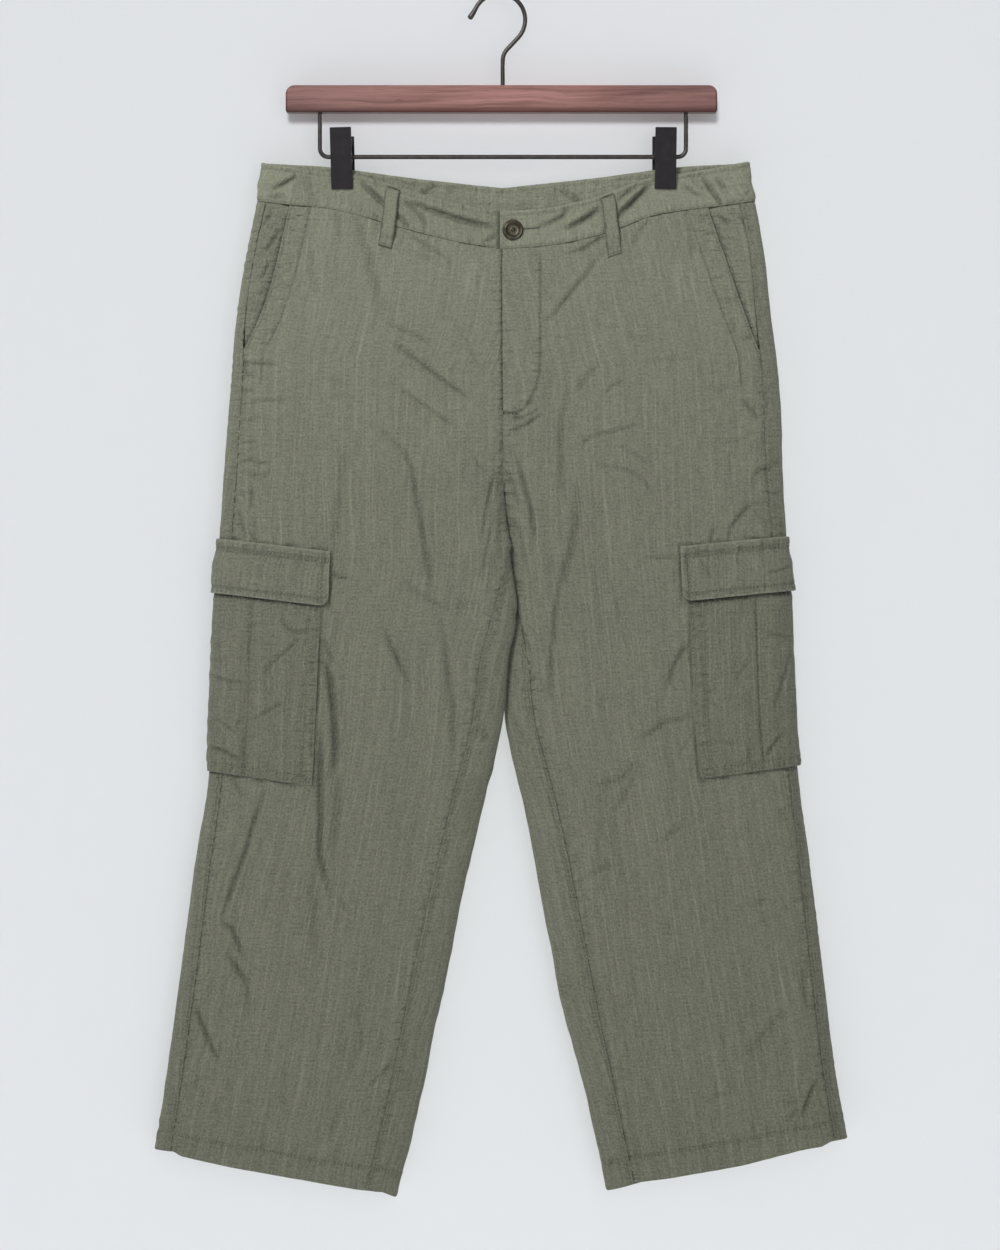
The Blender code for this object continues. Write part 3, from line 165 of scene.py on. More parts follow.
# Creases seen from the front, in millimetres: width, depth (a ridge where below 0), then the
# points (x, z) of the line
FRONT_CREASES = (
    (2, 1.5, -100, -310, -85, -320, -53, -344, -26, -365),
    (2, 0.9, -104, -292, -89, -301, -75, -306, -60, -317),
    (2, 0.8, -91, -353, -67, -370, -44, -386, -35, -392),
    (2.2, 0.5, -89, -333, -69, -336),
    (2.4, 0.7, -106, -391, -91, -405, -80, -419),
    (3, 0.5, -154, -345, -132, -352),
    (3, 0.5, -152, -364, -139, -360, -123, -368),
    (5.5, 1.5, -135, -189, -125, -211, -115, -239, -108, -274, -102, -295),
    (3.5, 0.9, -149, -186, -145, -203, -142, -224),
    (3, 0.6, -170, -212, -168, -239, -164, -274),
    (2.2, 1.1, -88, -212, -69, -224, -53, -234, -39, -245),
    (2.6, 0.6, -86, -229, -62, -238, -42, -248),
    (2.6, 0.6, -44, -290, -30, -310, -16, -339),
    (2.2, 0.6, -26, -410, -19, -422, -9, -431),
    (2, 0.6, 2, -425, -6, -441, -11, -463, -16, -496),
    (2.2, 0.6, -2, -464, -9, -491, -17, -531),
    (4.5, 1, -139, -400, -140, -436, -146, -472, -148, -508),
    (2, 1.2, -151, -520, -143, -523, -132, -525),
    (2, 1.4, -105, -567, -95, -587, -86, -607, -78, -622),
    (3.2, 1.6, -86, -400, -77, -432, -70, -472, -64, -508, -58, -547),
    (4, 1.3, -57, -540, -48, -589, -42, -634, -40, -692),
    (2.4, 0.8, -89, -522, -76, -535, -57, -547, -42, -553),
    (2.2, 0.5, -42, -549, -17, -548),
    (2.6, 1.3, -159, -576, -153, -590, -147, -605),
    (3.2, 3.2, -159, -593, -151, -614, -148, -639, -146, -674, -147, -701),
    (3.2, 2.4, -159, -653, -160, -697, -160, -737, -161, -769, -156, -792, -149, -815),
    (5, 1.4, -142, -697, -146, -742, -149, -774),
    (7, 1.5, -165, -785, -167, -823, -163, -868),
    (2, 1.2, -23, -648, -16, -661, -10, -673),
    (2, 0.7, -32, -623, -24, -634, -17, -637),
    (2, 0.6, -19, -605, -10, -619, -2, -628),
    (2.6, 1.8, -208, -708, -214, -726, -221, -747, -227, -770, -235, -792, -243, -814, -251, -833),
    (2.4, 1.6, -251, -829, -240, -838, -234, -851, -230, -868),
    (3.6, 1, -249, -853, -237, -872, -228, -886, -225, -904, -225, -925),
    (2.4, 1.9, -273, -905, -267, -923, -259, -942, -251, -958),
    (2.2, 0.9, -240, -702, -233, -715, -230, -722),
    (2.2, 0.6, -249, -729, -243, -743),
    (2.2, 0.6, -261, -785, -251, -794),
    (2.4, 0.6, -147, -807, -132, -826),
    (3, 0.6, -132, -909, -123, -922, -123, -943, -133, -965),
    (2.4, 0.8, -120, -982, -104, -968, -92, -952),
    (2.4, 0.6, -91, -956, -86, -968, -77, -981),
    (3, 0.5, -255, -990, -249, -1019),
    (2.6, 0.5, -270, -967, -267, -992),
    (3, 0.5, -190, -963, -193, -986, -192, -1008),
    (4, 0.6, -137, -992, -147, -1013, -154, -1030),
    (2, 1, -240, -864, -231, -881, -222, -887),
    (1.8, 1.3, -237, -333, -219, -332, -197, -332),
    (1.8, 0.9, -231, -338, -219, -345),
    (1.8, 0.6, -231, -356, -217, -356),
    (1.8, 0.8, -228, -369, -213, -365, -186, -365),
    (2, 0.6, -231, -385, -213, -378),
    (1.8, 0.7, -231, -401, -217, -402),
    (1.8, 1, -233, -419, -221, -419, -206, -422),
    (1.8, 0.8, -228, -430, -213, -434, -204, -428),
    (1.8, 0.5, -210, -441, -198, -443),
    (2, 0.9, -234, -461, -230, -478, -226, -492),
    (1.8, 1, -226, -481, -215, -492),
    (2.2, 0.8, -222, -436, -221, -463),
    (2.2, 1.1, 39, -298, 48, -290, 57, -278, 69, -263, 84, -246),
    (2, 1, 6, -396, 26, -386, 41, -376),
    (2, 0.7, 8, -385, 24, -380, 39, -372),
    (2.6, 1.5, 8, -407, 16, -419, 22, -439, 29, -466, 34, -499),
    (2.2, 0.8, 6, -427, 12, -443, 16, -461),
    (2.2, 0.8, 15, -472, 20, -494, 24, -518),
    (3.6, 1.3, 60, -338, 61, -356, 57, -382, 55, -405, 57, -434, 60, -459),
    (4.5, 1.5, 70, -434, 72, -461, 66, -494, 57, -535),
    (3.4, 1.1, 60, -504, 51, -553, 47, -598, 47, -638),
    (2, 0.9, 73, -412, 77, -401, 87, -396, 111, -391, 132, -385),
    (2.2, 0.8, 84, -422, 109, -426, 127, -433, 142, -452),
    (2.2, 0.6, 102, -405, 121, -412, 139, -425),
    (3.4, 0.9, 65, -362, 80, -343, 92, -326),
    (2, 0.7, 94, -360, 101, -352, 112, -348),
    (2, 0.6, 114, -304, 129, -311),
    (2.2, 0.5, 89, -297, 109, -300),
    (3, 0.9, 163, -185, 171, -205, 175, -225, 172, -241),
    (3.2, 0.9, 138, -198, 127, -214, 118, -230),
    (2.2, 1.2, 99, -216, 87, -222, 76, -230, 55, -235),
    (2.6, 0.8, 96, -230, 85, -243, 76, -256),
    (2, 1.2, 218, -364, 226, -373, 234, -382),
    (2, 1.1, 226, -436, 233, -428, 242, -425, 255, -417),
    (2, 1, 188, -496, 191, -483, 197, -477),
    (2.2, 1.2, 204, -494, 208, -478, 218, -465, 228, -457, 238, -455),
    (2, 0.6, 244, -472, 258, -477),
    (2.2, 0.6, 228, -464, 239, -475),
    (2.6, 1.5, 175, -581, 164, -590, 156, -604, 151, -626),
    (2.4, 1.1, 177, -644, 163, -651, 148, -654, 136, -662, 121, -671),
    (2.4, 0.6, 174, -661, 166, -675, 159, -686),
    (2.4, 1, 84, -710, 100, -707, 112, -702, 125, -684),
    (2.2, 0.7, 143, -763, 152, -754, 165, -745),
    (2.2, 0.7, 75, -793, 91, -785, 107, -779),
    (3.4, -0.8, 80, -497, 84, -544, 90, -589),
    (3.4, -0.7, 89, -494, 101, -540, 111, -589),
    (3, 0.7, 95, -508, 105, -549, 114, -598),
    (3, -0.6, 142, -544, 145, -589, 148, -625),
    (2.4, 1.1, 12, -549, 19, -569, 27, -592),
    (2.4, 0.7, 8, -601, 17, -617, 28, -635),
    (2.4, 0.7, 12, -648, 22, -668, 35, -680),
    (2.6, 0.7, 127, -689, 111, -724, 100, -734),
    (2, 0.6, 183, -993, 197, -987, 214, -982),
    (2.2, 1.4, 271, -1008, 276, -994, 281, -982, 286, -972),
    (2.2, 0.8, 253, -1013, 262, -1007, 270, -999),
    (2.2, 0.6, 253, -997, 271, -992),
    (2, 0.7, 224, -819, 241, -811),
    (2.4, 1, 273, -873, 274, -893, 277, -912),
    (3.6, 0.8, 224, -952, 237, -933, 248, -918, 262, -913),
    (2.4, 0.7, 251, -729, 258, -742),
    (2.4, 0.5, 231, -818, 244, -841),
    (3, 0.5, 181, -328, 145, -329, 127, -333),
    (3, 0.5, 184, -349, 199, -356, 217, -351),
    (2.2, 0.8, 127, -505, 152, -505, 165, -508),
    (2.2, 0.5, 152, -519, 168, -518),
    (2.6, 0.5, 231, -391, 217, -401, 195, -405),
    (1.8, 1, 195, -275, 210, -275, 224, -271),
    (1.8, 0.6, 213, -310, 228, -307),
    (1.8, 0.6, 181, -216, 195, -214),
    (1.8, 0.7, 179, -205, 186, -199, 193, -196),
)
BAND_CREASES = (
    (2.6, 2.6, -126, -167, -113, -179, -100, -191, -88, -202, -78, -211),
    (2.4, 1.4, -87, -186, -75, -194, -67, -203, -63, -211),
    (2.8, 2.4, -88, -185, -62, -194, -35, -203, -10, -209, 1, -211),
    (2.6, 0.8, -120, -162, -104, -171, -89, -176),
    (2.2, 0.7, -114, -195, -107, -201, -98, -203),
    (3.2, -0.9, -80, -191, -44, -207, -8, -216),
    (2.6, 2, 57, -212, 70, -206, 83, -198, 93, -191),
    (2.6, 2.2, 103, -202, 118, -188, 128, -178, 138, -168),
    (2.2, 1, 105, -186, 114, -179, 125, -172),
    (2.4, 1.1, 33, -210, 46, -206, 57, -200, 65, -190),
    (2.2, 1, -14, -223, -6, -220, 0, -216),
    (2.4, 2, 182, -162, 188, -172, 195, -181, 203, -194),
    (2.2, 1, 166, -171, 175, -177, 183, -182),
    (2.2, 1.4, 197, -195, 206, -196, 211, -198),
    (2.2, 1.6, -206, -176, -194, -170, -180, -162),
    (2.4, 0.8, -210, -182, -194, -181, -188, -186),
    (2.4, 0.7, -160, -160, -162, -179, -164, -194),
    (3, 0.8, -175, -164, -168, -175, -165, -187),
    (2.4, 0.6, 172, -160, 178, -171, 186, -176),
    (2.2, 0.8, 192, -164, 201, -171, 210, -176),
    (2.2, 0.6, 215, -171, 226, -173),
    (2.2, 0.7, 219, -180, 226, -176),
)
FACING_CREASES = (
    (2.4, 1.6, -193, -209, -202, -219, -211, -232),
    (2.2, 1.0, -202, -193, -215, -211),
    (2.2, 1.2, -204, -238, -215, -258),
    (2.2, 1.4, 192, -197, 200, -201, 208, -208),
    (2.0, 1.0, 196, -212, 205, -231),
    (2.0, 0.8, 214, -196, 222, -207),
)
POCKET_CREASES = (
    (1.8, 0.9, -195, -554, -191, -568, -183, -573, -167, -572),
    (1.8, 0.8, -176, -576, -190, -589, -203, -601, -213, -612),
    (2, 0.8, -191, -634, -206, -643, -224, -653),
    (2, 0.6, -237, -653, -224, -653),
    (1.8, 0.7, -258, -611, -244, -616, -228, -619),
    (1.8, 0.6, -255, -576, -248, -589),
    (1.8, 0.5, -257, -598, -242, -597),
    (2, 1.3, -262, -675, -246, -679, -227, -689),
    (1.8, 0.6, -254, -650, -240, -659, -235, -664),
    (1.8, 0.8, 224, -673, 224, -686, 220, -695),
    (1.8, 0.7, 238, -576, 251, -575, 262, -581),
    (1.8, 0.8, 261, -586, 257, -605, 250, -628, 244, -644),
    (1.8, 1, 238, -685, 244, -675, 253, -663),
    (1.8, 0.5, 228, -594, 217, -607, 210, -619),
    (1.8, 0.5, 184, -626, 195, -625),
    (2, 0.4, 181, -672, 202, -671, 224, -672),
    (1.6, 0.5, 238, -520, 249, -518, 260, -513),
    (1.6, 0.4, 181, -508, 192, -526),
)
BACK_CREASES = (
    (2.4, 1.1, -58, -212, -74, -226, -92, -236),
    (2.6, 0.8, 48, -214, 66, -228, 78, -246),
    (5.0, 1.3, -128, -196, -118, -232, -110, -282),
    (4.5, 1.2, 136, -196, 124, -236, 118, -276),
    (2.2, 1.4, -12, -392, -38, -372, -66, -344),
    (2.0, 1.0, -14, -406, -48, -392, -84, -372),
    (2.4, 1.5, 10, -398, 34, -376, 70, -352),
    (2.0, 0.8, 14, -414, 50, -398, 88, -384),
    (3.4, 1.6, -14, -446, -52, -458, -96, -470, -130, -476),
    (2.6, 1.2, -20, -464, -56, -482, -98, -496),
    (3.4, 1.6, 16, -446, 56, -460, 102, -474, 136, -478),
    (2.6, 1.1, 22, -468, 58, -488, 96, -500),
    (2.2, 0.8, -70, -292, -96, -304, -120, -306),
    (2.2, 0.7, 84, -300, 110, -312, 132, -312),
    (3.0, 1.0, -182, -300, -176, -342, -180, -380),
    (3.0, 0.9, 190, -296, 184, -336, 190, -372),
    (3.6, 1.5, -52, -520, -62, -566, -70, -620),
    (4.0, 1.4, -118, -510, -124, -566, -122, -624),
    (3.4, 1.3, 60, -516, 68, -566, 80, -616),
    (4.2, 1.4, 128, -512, 134, -570, 130, -622),
    (2.6, 1.6, -206, -712, -186, -722, -156, -724, -128, -716),
    (2.4, 1.3, -214, -738, -190, -752, -152, -756, -120, -742),
    (2.4, 1.0, -96, -700, -112, -712, -134, -718),
    (2.2, 1.2, -100, -764, -122, -772, -150, -774),
    (2.6, 1.7, 212, -708, 190, -722, 160, -726, 132, -714),
    (2.4, 1.2, 220, -742, 194, -754, 158, -758),
    (2.4, 1.1, 108, -748, 130, -762, 156, -768),
    (2.2, 0.8, 100, -702, 118, -716),
    (4.0, 1.4, -196, -790, -206, -846, -218, -900),
    (4.5, 1.1, -140, -790, -156, -850, -166, -930),
    (4.0, 1.3, 200, -788, 212, -842, 226, -896),
    (4.5, 1.1, 150, -792, 164, -856, 178, -936),
    (2.4, 1.3, -252, -900, -240, -922, -236, -944),
    (2.2, 0.8, -120, -960, -136, -984, -142, -1012),
    (2.4, 1.1, 268, -894, 254, -916, 248, -940),
    (2.2, 0.9, 132, -958, 146, -984, 154, -1010),
    (2.0, 0.8, -236, -332, -216, -336, -200, -334),
    (2.0, 0.7, 240, -352, 222, -356, 204, -352),
    (2.0, 0.8, -238, -420, -220, -424, -206, -420),
    (2.0, 0.8, 246, -438, 228, -436, 212, -440),
    (2.2, 0.6, -150, -660, -138, -672, -120, -676),
    (2.2, 0.6, 156, -664, 142, -676, 126, -680),
)
BACK_BAND_CREASES = (
    (2.6, 1.4, -176, -158, -168, -172, -154, -184),
    (2.4, 1.0, -126, -158, -136, -170, -140, -184),
    (2.4, 1.0, -60, -166, -72, -176, -84, -188),
    (2.6, 1.3, 180, -158, 170, -172, 158, -184),
    (2.4, 1.1, 126, -158, 136, -172, 142, -184),
    (2.4, 0.8, 50, -168, 66, -178, 78, -190),
    (2.2, 0.8, -206, -166, -196, -176, -190, -184),
    (2.2, 0.8, 212, -164, 204, -176, 198, -184),
)
# How much higher or lower than a straight line a hem hangs: (x, rise) in millimetres
HEM_RISES = {
    "right": (
        (-310, 0), (-301, 1.5), (-292, 2.7), (-285, 0), (-240, -1), (-180, 0.5), (-130, 1.2), (-105, 3.2),
        (-93, 0),
    ),
    "left": (
        (97, 0), (112, 1.0), (127, 2.4), (150, 0.5), (181, -1), (217, -2.4), (270, 0), (289, -1), (298, 1.5),
        (313, 0),
    ),
}
FLY_STITCH = ((37, -236), (37, -325), (36, -340), (33, -354), (28, -366), (21, -374), (12, -377), (3, -377))
HIP_STITCH = {
    "right": (
        (-168, -196), (-171, -212), (-177, -231), (-186, -255), (-194, -278), (-207, -306), (-217, -330),
        (-228, -350),
    ),
    "left": ((177, -196), (183, -231), (193, -270), (206, -298), (221, -328), (234, -351)),
}


def smooth_curve(knots: Sequence[float], values: Sequence[float], at: Array) -> Array:
    """Smooth curve through the knots, read at the places `at`.

    Args:
        knots: places of the given values, rising.
        values: the value at each knot.
        at: places to read.

    Returns:
        The curve's value at each place.
    """
    knots, values = np.asarray(knots, float), np.asarray(values, float)
    slopes = np.gradient(values, knots)
    i = np.clip(np.searchsorted(knots, at, side="right") - 1, 0, len(knots) - 2)
    step = knots[i + 1] - knots[i]
    t = (at - knots[i]) / step
    start = values[i] * (1 + 2 * t) + slopes[i] * step * t
    end = values[i + 1] * (3 - 2 * t) + slopes[i + 1] * step * (t - 1)
    return start * (1 - t) ** 2 + end * t**2


def ease(t: Array) -> Array:
    """0 below 0, 1 above 1, smooth between."""
    t = np.clip(t, 0.0, 1.0)
    return t * t * (3 - 2 * t)


def quarter_round(t: Array) -> Array:
    """Rises from 0 to 1 like a quarter circle as t goes from 0 to 1."""
    return np.sqrt(1 - (1 - np.clip(t, 0.0, 1.0)) ** 2)


def hump(t: Array) -> Array:
    """1 at 0, dying away smoothly on both sides."""
    return np.exp(-(t**2))


def unit(vectors: Array) -> Array:
    """The vectors at length 1."""
    return vectors / np.maximum(np.linalg.norm(vectors, axis=-1, keepdims=True), 1e-12)


def fold_heights(folds: Sequence[tuple], x: Array, z: Array) -> Array:
    """Height of the CAD panels' broad folds at points seen from the front.

    Args:
        folds: rows of the line's two ends, width and height, in metres.
        x: places across.
        z: heights.

    Returns:
        The height at each place.
    """
    total = np.zeros_like(x)
    for x0, z0, x1, z1, width, height in folds:
        along_x, along_z = x1 - x0, z1 - z0
        t = ((x - x0) * along_x + (z - z0) * along_z) / (along_x**2 + along_z**2)
        nearest = np.clip(t, 0.0, 1.0)
        away2 = (x - x0 - nearest * along_x) ** 2 + (z - z0 - nearest * along_z) ** 2
        total += height * (1 - (2 * nearest - 1) ** 4) * np.exp(-away2 / width**2)
    return total


def crease_heights(creases: Sequence[tuple], x: Array, z: Array) -> Array:
    """Height of the listed creases at points seen from the front.

    Args:
        creases: rows of width, depth and then the line's points, all in millimetres.
        x: places across, in metres.
        z: heights, in metres.

    Returns:
        The height at each place: a trough with a soft lip along one side of it.
    """
    total = np.zeros_like(x)
    for width, depth, *line in creases:
        points = np.array(line, float).reshape(-1, 2) * MM
        depth *= (2.4 / width) ** 0.7 * MM
        width *= 0.85 * MM
        reach = 6 * width
        low, high = points.min(0) - reach, points.max(0) + reach
        near = (x > low[0]) & (x < high[0]) & (z > low[1]) & (z < high[1])
        if not near.any():
            continue
        px, pz = x[near], z[near]
        steps = np.diff(points, axis=0)
        lengths = np.linalg.norm(steps, axis=1)
        run = np.concatenate([[0.0], np.cumsum(lengths)])
        best = np.full(px.shape, np.inf)
        side, along = np.zeros_like(px), np.zeros_like(px)
        for (ax, az), (dx, dz), length, start in zip(points, steps, lengths, run):
            t = np.clip(((px - ax) * dx + (pz - az) * dz) / length**2, 0.0, 1.0)
            off_x, off_z = px - ax - t * dx, pz - az - t * dz
            away2 = off_x**2 + off_z**2
            closer = away2 < best
            best = np.where(closer, away2, best)
            side = np.where(closer, (dx * off_z - dz * off_x) / length, side)
            along = np.where(closer, start + t * length, along)
        taper = 1 - np.abs(2 * along / run[-1] - 1) ** 3
        lip = 0.35 * hump((side / width - 2.1) / 1.3) * hump(np.sqrt(best) / width / 4)
        total[near] += depth * taper * (lip - hump(np.sqrt(best) / width))
    return total


def line_distance(line: Sequence[tuple], x: Array, z: Array) -> Array:
    """Distance from a line drawn on the front view, its points in millimetres; at most 1.

    Args:
        line: the line's points (x, z).
        x: places across, in metres.
        z: heights, in metres.

    Returns:
        The distance of each place, in metres.
    """
    nearest = np.ones_like(x)
    points = np.array(line, float) * MM
    for (ax, az), (dx, dz) in zip(points, np.diff(points, axis=0)):
        t = np.clip(((x - ax) * dx + (z - az) * dz) / (dx**2 + dz**2), 0, 1)
        nearest = np.minimum(nearest, np.hypot(x - ax - t * dx, z - az - t * dz))
    return nearest


def ripples(x: Array, z: Array, seed: int, shortest: float, longest: float, upright: float = 1.0) -> Array:
    """Gentle uneven swells of about unit height, drawn out upwards where upright is above 1.

    Args:
        x: places across.
        z: heights.
        seed: which set of swells.
        shortest: the closest spacing.
        longest: the widest spacing.
        upright: how many times longer they are upwards.

    Returns:
        The height at each place.
    """
    rng = np.random.default_rng(seed)
    total = np.zeros_like(x)
    count = 16
    for _ in range(count):
        wave = 2 * math.pi / rng.uniform(shortest, longest)
        angle, phase = rng.uniform(0, math.pi), rng.uniform(0, 2 * math.pi)
        total += np.sin(wave * (x * math.cos(angle) + z * math.sin(angle) / upright) + phase)
    return total / math.sqrt(count / 2)


def puckers(
    away: Array, along: Array, seed: int, reach: float, pitch: tuple[float, float] = (0.006, 0.014)
) -> Array:
    """Uneven short ridges across a line of stitching, of about unit height.

    Args:
        away: distance from the line.
        along: distance along it.
        seed: which set of ridges.
        reach: how far from the line they die away.
        pitch: the closest and widest spacing.

    Returns:
        The height at each place.
    """
    rng = np.random.default_rng(seed)
    total = np.zeros_like(away)
    count = 9
    for _ in range(count):
        wave = 2 * math.pi / rng.uniform(*pitch)
        slant = rng.uniform(-0.45, 0.45)
        total += np.sin(wave * (along + slant * away) + rng.uniform(0, 2 * math.pi))
    swell = 2 * math.pi / rng.uniform(0.05, 0.09)
    uneven = 0.65 + 0.35 * np.sin(swell * along + rng.uniform(0, 2 * math.pi))
    return total / math.sqrt(count / 2) * uneven * hump(away / reach)


def crowded(low: float, high: float, count: int, places: Sequence[tuple[float, float, float]]) -> Array:
    """Stations from low to high, closer together round given places.

    Args:
        low: first station.
        high: last station.
        count: number of intervals.
        places: rows of (place, reach, how much more closely).

    Returns:
        count + 1 stations.
    """
    fine = np.linspace(low, high, 1600)
    density = np.ones_like(fine)
    for place, reach, crowd in places:
        density += crowd * np.exp(-(((fine - place) / reach) ** 2))
    run = np.concatenate([[0.0], np.cumsum((density[1:] + density[:-1]) / 2)])
    return np.interp(np.linspace(0.0, run[-1], count + 1), run, fine)


class Face(Enum):
    """Which face of the garment a panel makes."""

    FRONT = -1
    BACK = 1


@dataclass(frozen=True)
class Half:
    """One side of the trousers: sign -1 for the wearer's right, 1 for the left."""

    name: str
    sign: int
    rows: tuple
    mouth: tuple[float, float, float]
    top_side: float
    band_join: float

    @property
    def length(self) -> float:
        """Drop from waist seam to hem at the side."""
        return self.rows[0][1] - self.rows[-1][1]

    def column(self, name: str, down: Array) -> Array:
        """One column of the leg's table at shares of the drop."""
        downs = [(self.rows[0][1] - row[1]) / self.length for row in self.rows]
        return smooth_curve(downs, [row[LEG_FIELDS.index(name)] for row in self.rows], down)

    def width(self, down: Array) -> Array:
        """Width from side fold to inner edge."""
        return np.abs(self.column("inner_x", down) - self.column("side_x", down))

    def waist(self, name: str, share: Array) -> Array:
        """One column of the waist's table at shares of the way from side to centre."""
        place = WAIST_FIELDS.index(name)
        return smooth_curve([row[0] for row in WAIST_ROWS], [row[place] for row in WAIST_ROWS], share)

    def waist_height(self, edge: str, face: Array, share: Array) -> Array:
        """Height of the band's top or seam on the front or back."""
        front = self.waist(f"{self.name}_{edge}", share)
        return np.where(face > 0, self.waist(f"back_{edge}", share), front)

    def lap(self, down: Array) -> Array:
        """How fully one leg laps the other below the crotch, before they part."""
        begun = ease((down - CROTCH) / (LAP_FULL - CROTCH))
        return begun * (1 - ease((down - LAP_HOLD) / (LAP_END - LAP_HOLD)))

    def wrap(self, down: Array) -> Array:
        """How far the back panel wraps past the inner fold on to the front of a leg."""
        return np.where(down > CROTCH, np.maximum(self.column("inner_seam", down), 0.0), 0.0)

    def mouth_inset(self, down: Array) -> Array:
        """Distance of the hip pocket's mouth in from the side fold."""
        top, end, bend = self.mouth
        return top - (top - end) * np.clip(down / MOUTH_END, 0, 1) ** bend

    def skin(self, around: Array, down: Array) -> Array:
        """Point on the outside of the plain cloth; past 1, around comes back on the other face.

        Args:
            around: places round the half, 0 at the side fold.
            down: shares of the drop.

        Returns:
            The points.
        """
        around, down = np.broadcast_arrays(np.asarray(around, float), np.asarray(down, float))
        share = 1 - np.abs(1 - np.abs(around))
        face = np.where(around < 0, -1.0, 1.0) * np.where(np.abs(around) > 1, -1.0, 1.0)
        lap = self.lap(down)
        side_x, side_z = self.column("side_x", down), self.column("side_z", down)
        inner_x = self.column("inner_x", down) - self.sign * LAP_WIDTH * lap**2
        x = side_x + (inner_x - side_x) * share
        z = side_z + (self.column("inner_z", down) - side_z) * share
        straight = self.waist("back_seam", 0.0) * (1 - share) + self.waist("right_seam", 1.0) * share
        z += (self.waist_height("seam", face, share) - straight) * (1 - ease(down / CROTCH))
        split = 1 - np.sqrt(1 - np.clip((down - SPLIT_START) / (CROTCH - SPLIT_START), 0, 1) ** 2)
        relax = ease(down / RELAX)
        width = np.abs(inner_x - side_x)
        rounding = WAIST_ROUND + (LEG_ROUND - WAIST_ROUND) * relax
        side_round = quarter_round(share * width / rounding)
        inner_round = 1 - split + split * quarter_round((1 - share) * width / rounding)
        swell = (1 - split) * np.sin(math.pi / 2 * share) + split * np.sin(math.pi * share)
        drops, fronts, backs = zip(*DEPTH_ROWS)
        full = np.where(face < 0, smooth_curve(drops, fronts, down), smooth_curve(drops, backs, down))
        body = full * (FLATNESS + (1 - FLATNESS) * swell) * inner_round
        waist = self.waist("seam_depth", share)
        folds = np.where(face < 0, fold_heights(FRONT_FOLDS, x, z), fold_heights(BACK_FOLDS, x, z))
        depth = (waist + (body - waist) * relax) * side_round + folds * side_round * inner_round
        y = face * depth + self.sign * LAP_LEAN * lap * share**2
        return np.stack([x, y, z], axis=-1)

    def outward(self, around: Array, down: Array) -> Array:
        """Direction out of the cloth."""
        reach = np.where(down > CROTCH, 1.3, 1.0)
        ahead = self.skin(np.clip(around + 0.012, -reach, reach), down)
        behind = self.skin(np.clip(around - 0.012, -reach, reach), down)
        along = self.skin(around, down + 0.004) - self.skin(around, down - 0.004)
        return -self.sign * unit(np.cross(ahead - behind, along))

    def band(self, around: Array, rise: Array) -> Array:
        """Point on the waistband, rise 0 at the waist seam and 1 at the top edge.

        Args:
            around: places round the half, 0 at the side fold.
            rise: shares of the band's height.

        Returns:
            The points.
        """
        around, rise = np.broadcast_arrays(np.asarray(around, float), np.asarray(rise, float))
        share = np.abs(around)
        face = np.where(around < 0, -1.0, 1.0)
        seam = self.skin(around, np.zeros_like(rise))
        rounding = quarter_round(share * abs(CENTRE - self.top_side) / WAIST_ROUND)
        top_x = self.top_side + (CENTRE - self.top_side) * share
        top_y = face * self.waist("top_depth", share) * rounding
        top = np.stack([top_x, top_y, self.waist_height("top", face, share)], axis=-1)
        point = seam + (top - seam) * rise[..., None]
        pinched = ease(rise / np.where(face < 0, PINCH_RISE_FRONT, PINCH_RISE_BACK))
        point[..., 1] = seam[..., 1] + (top_y - seam[..., 1]) * pinched
        return point

    def locate(self, face: Face, line: Sequence[tuple]) -> tuple[Array, Array]:
        """Where a line drawn on the front view lies on the cloth.

        Args:
            face: front or back.
            line: points (x, z) in millimetres.

        Returns:
            Distances in from the side fold, and shares of the drop, along the line.
        """
        points = np.array(line, float) * MM
        run = np.concatenate([[0.0], np.cumsum(np.linalg.norm(np.diff(points, axis=0), axis=1))])
        at = np.linspace(0.0, run[-1], max(8, int(run[-1] / 0.0015)))
        x, z = smooth_curve(run, points[:, 0], at), smooth_curve(run, points[:, 1], at)
        down = np.clip((self.rows[0][1] - z) / self.length, 0.0, 1.0)
        for _ in range(12):
            share = (x - self.column("side_x", down)) / (
                self.column("inner_x", down) - self.column("side_x", down)
            )
            down = down + (self.skin(face.value * share, down)[..., 2] - z) / self.length
        return share * self.width(down), down


RIGHT = Half("right", -1, RIGHT_ROWS, (0.0297, 0.0086, 3.5), -0.2135, 0.860)
LEFT = Half("left", 1, LEFT_ROWS, (0.0423, 0.0158, 1.3), 0.2239, 0.800)


def on_turn(turn: Array, share: Array, surface: str) -> Array:
    """Point at a turn round the body: 0 centre front, 1 left side, 2 centre back, 3 right side.

    Args:
        turn: places round the body.
        share: shares of the drop, or of the band's height.
        surface: skin or band.

    Returns:
        The points.
    """
    turn, share = np.broadcast_arrays(np.asarray(turn, float), np.asarray(share, float))
    left = getattr(LEFT, surface)(np.clip(turn - 1, -1, 1), share)
    right = getattr(RIGHT, surface)(np.clip(np.where(turn < 0, -(1 + turn), 3 - turn), -1, 1), share)
    return np.where(((turn >= 0) & (turn <= 2))[..., None], left, right)


def turn_layer(turn: Array, share: Array, surface: str, lift: Array) -> Array:
    """Points at turns round the body or the band, moved out by `lift`.

    Args:
        turn: places round the body.
        share: shares of the drop, or of the band's height.
        surface: skin or band.
        lift: distance out of the cloth.

    Returns:
        The points.
    """
    across = on_turn(turn + 0.004, share, surface) - on_turn(turn - 0.004, share, surface)
    along = on_turn(turn, share + 0.004, surface) - on_turn(turn, share - 0.004, surface)
    out = unit(np.cross(across, along)) * (-1 if surface == "skin" else 1)
    return on_turn(turn, share, surface) + out * np.asarray(lift)[..., None]


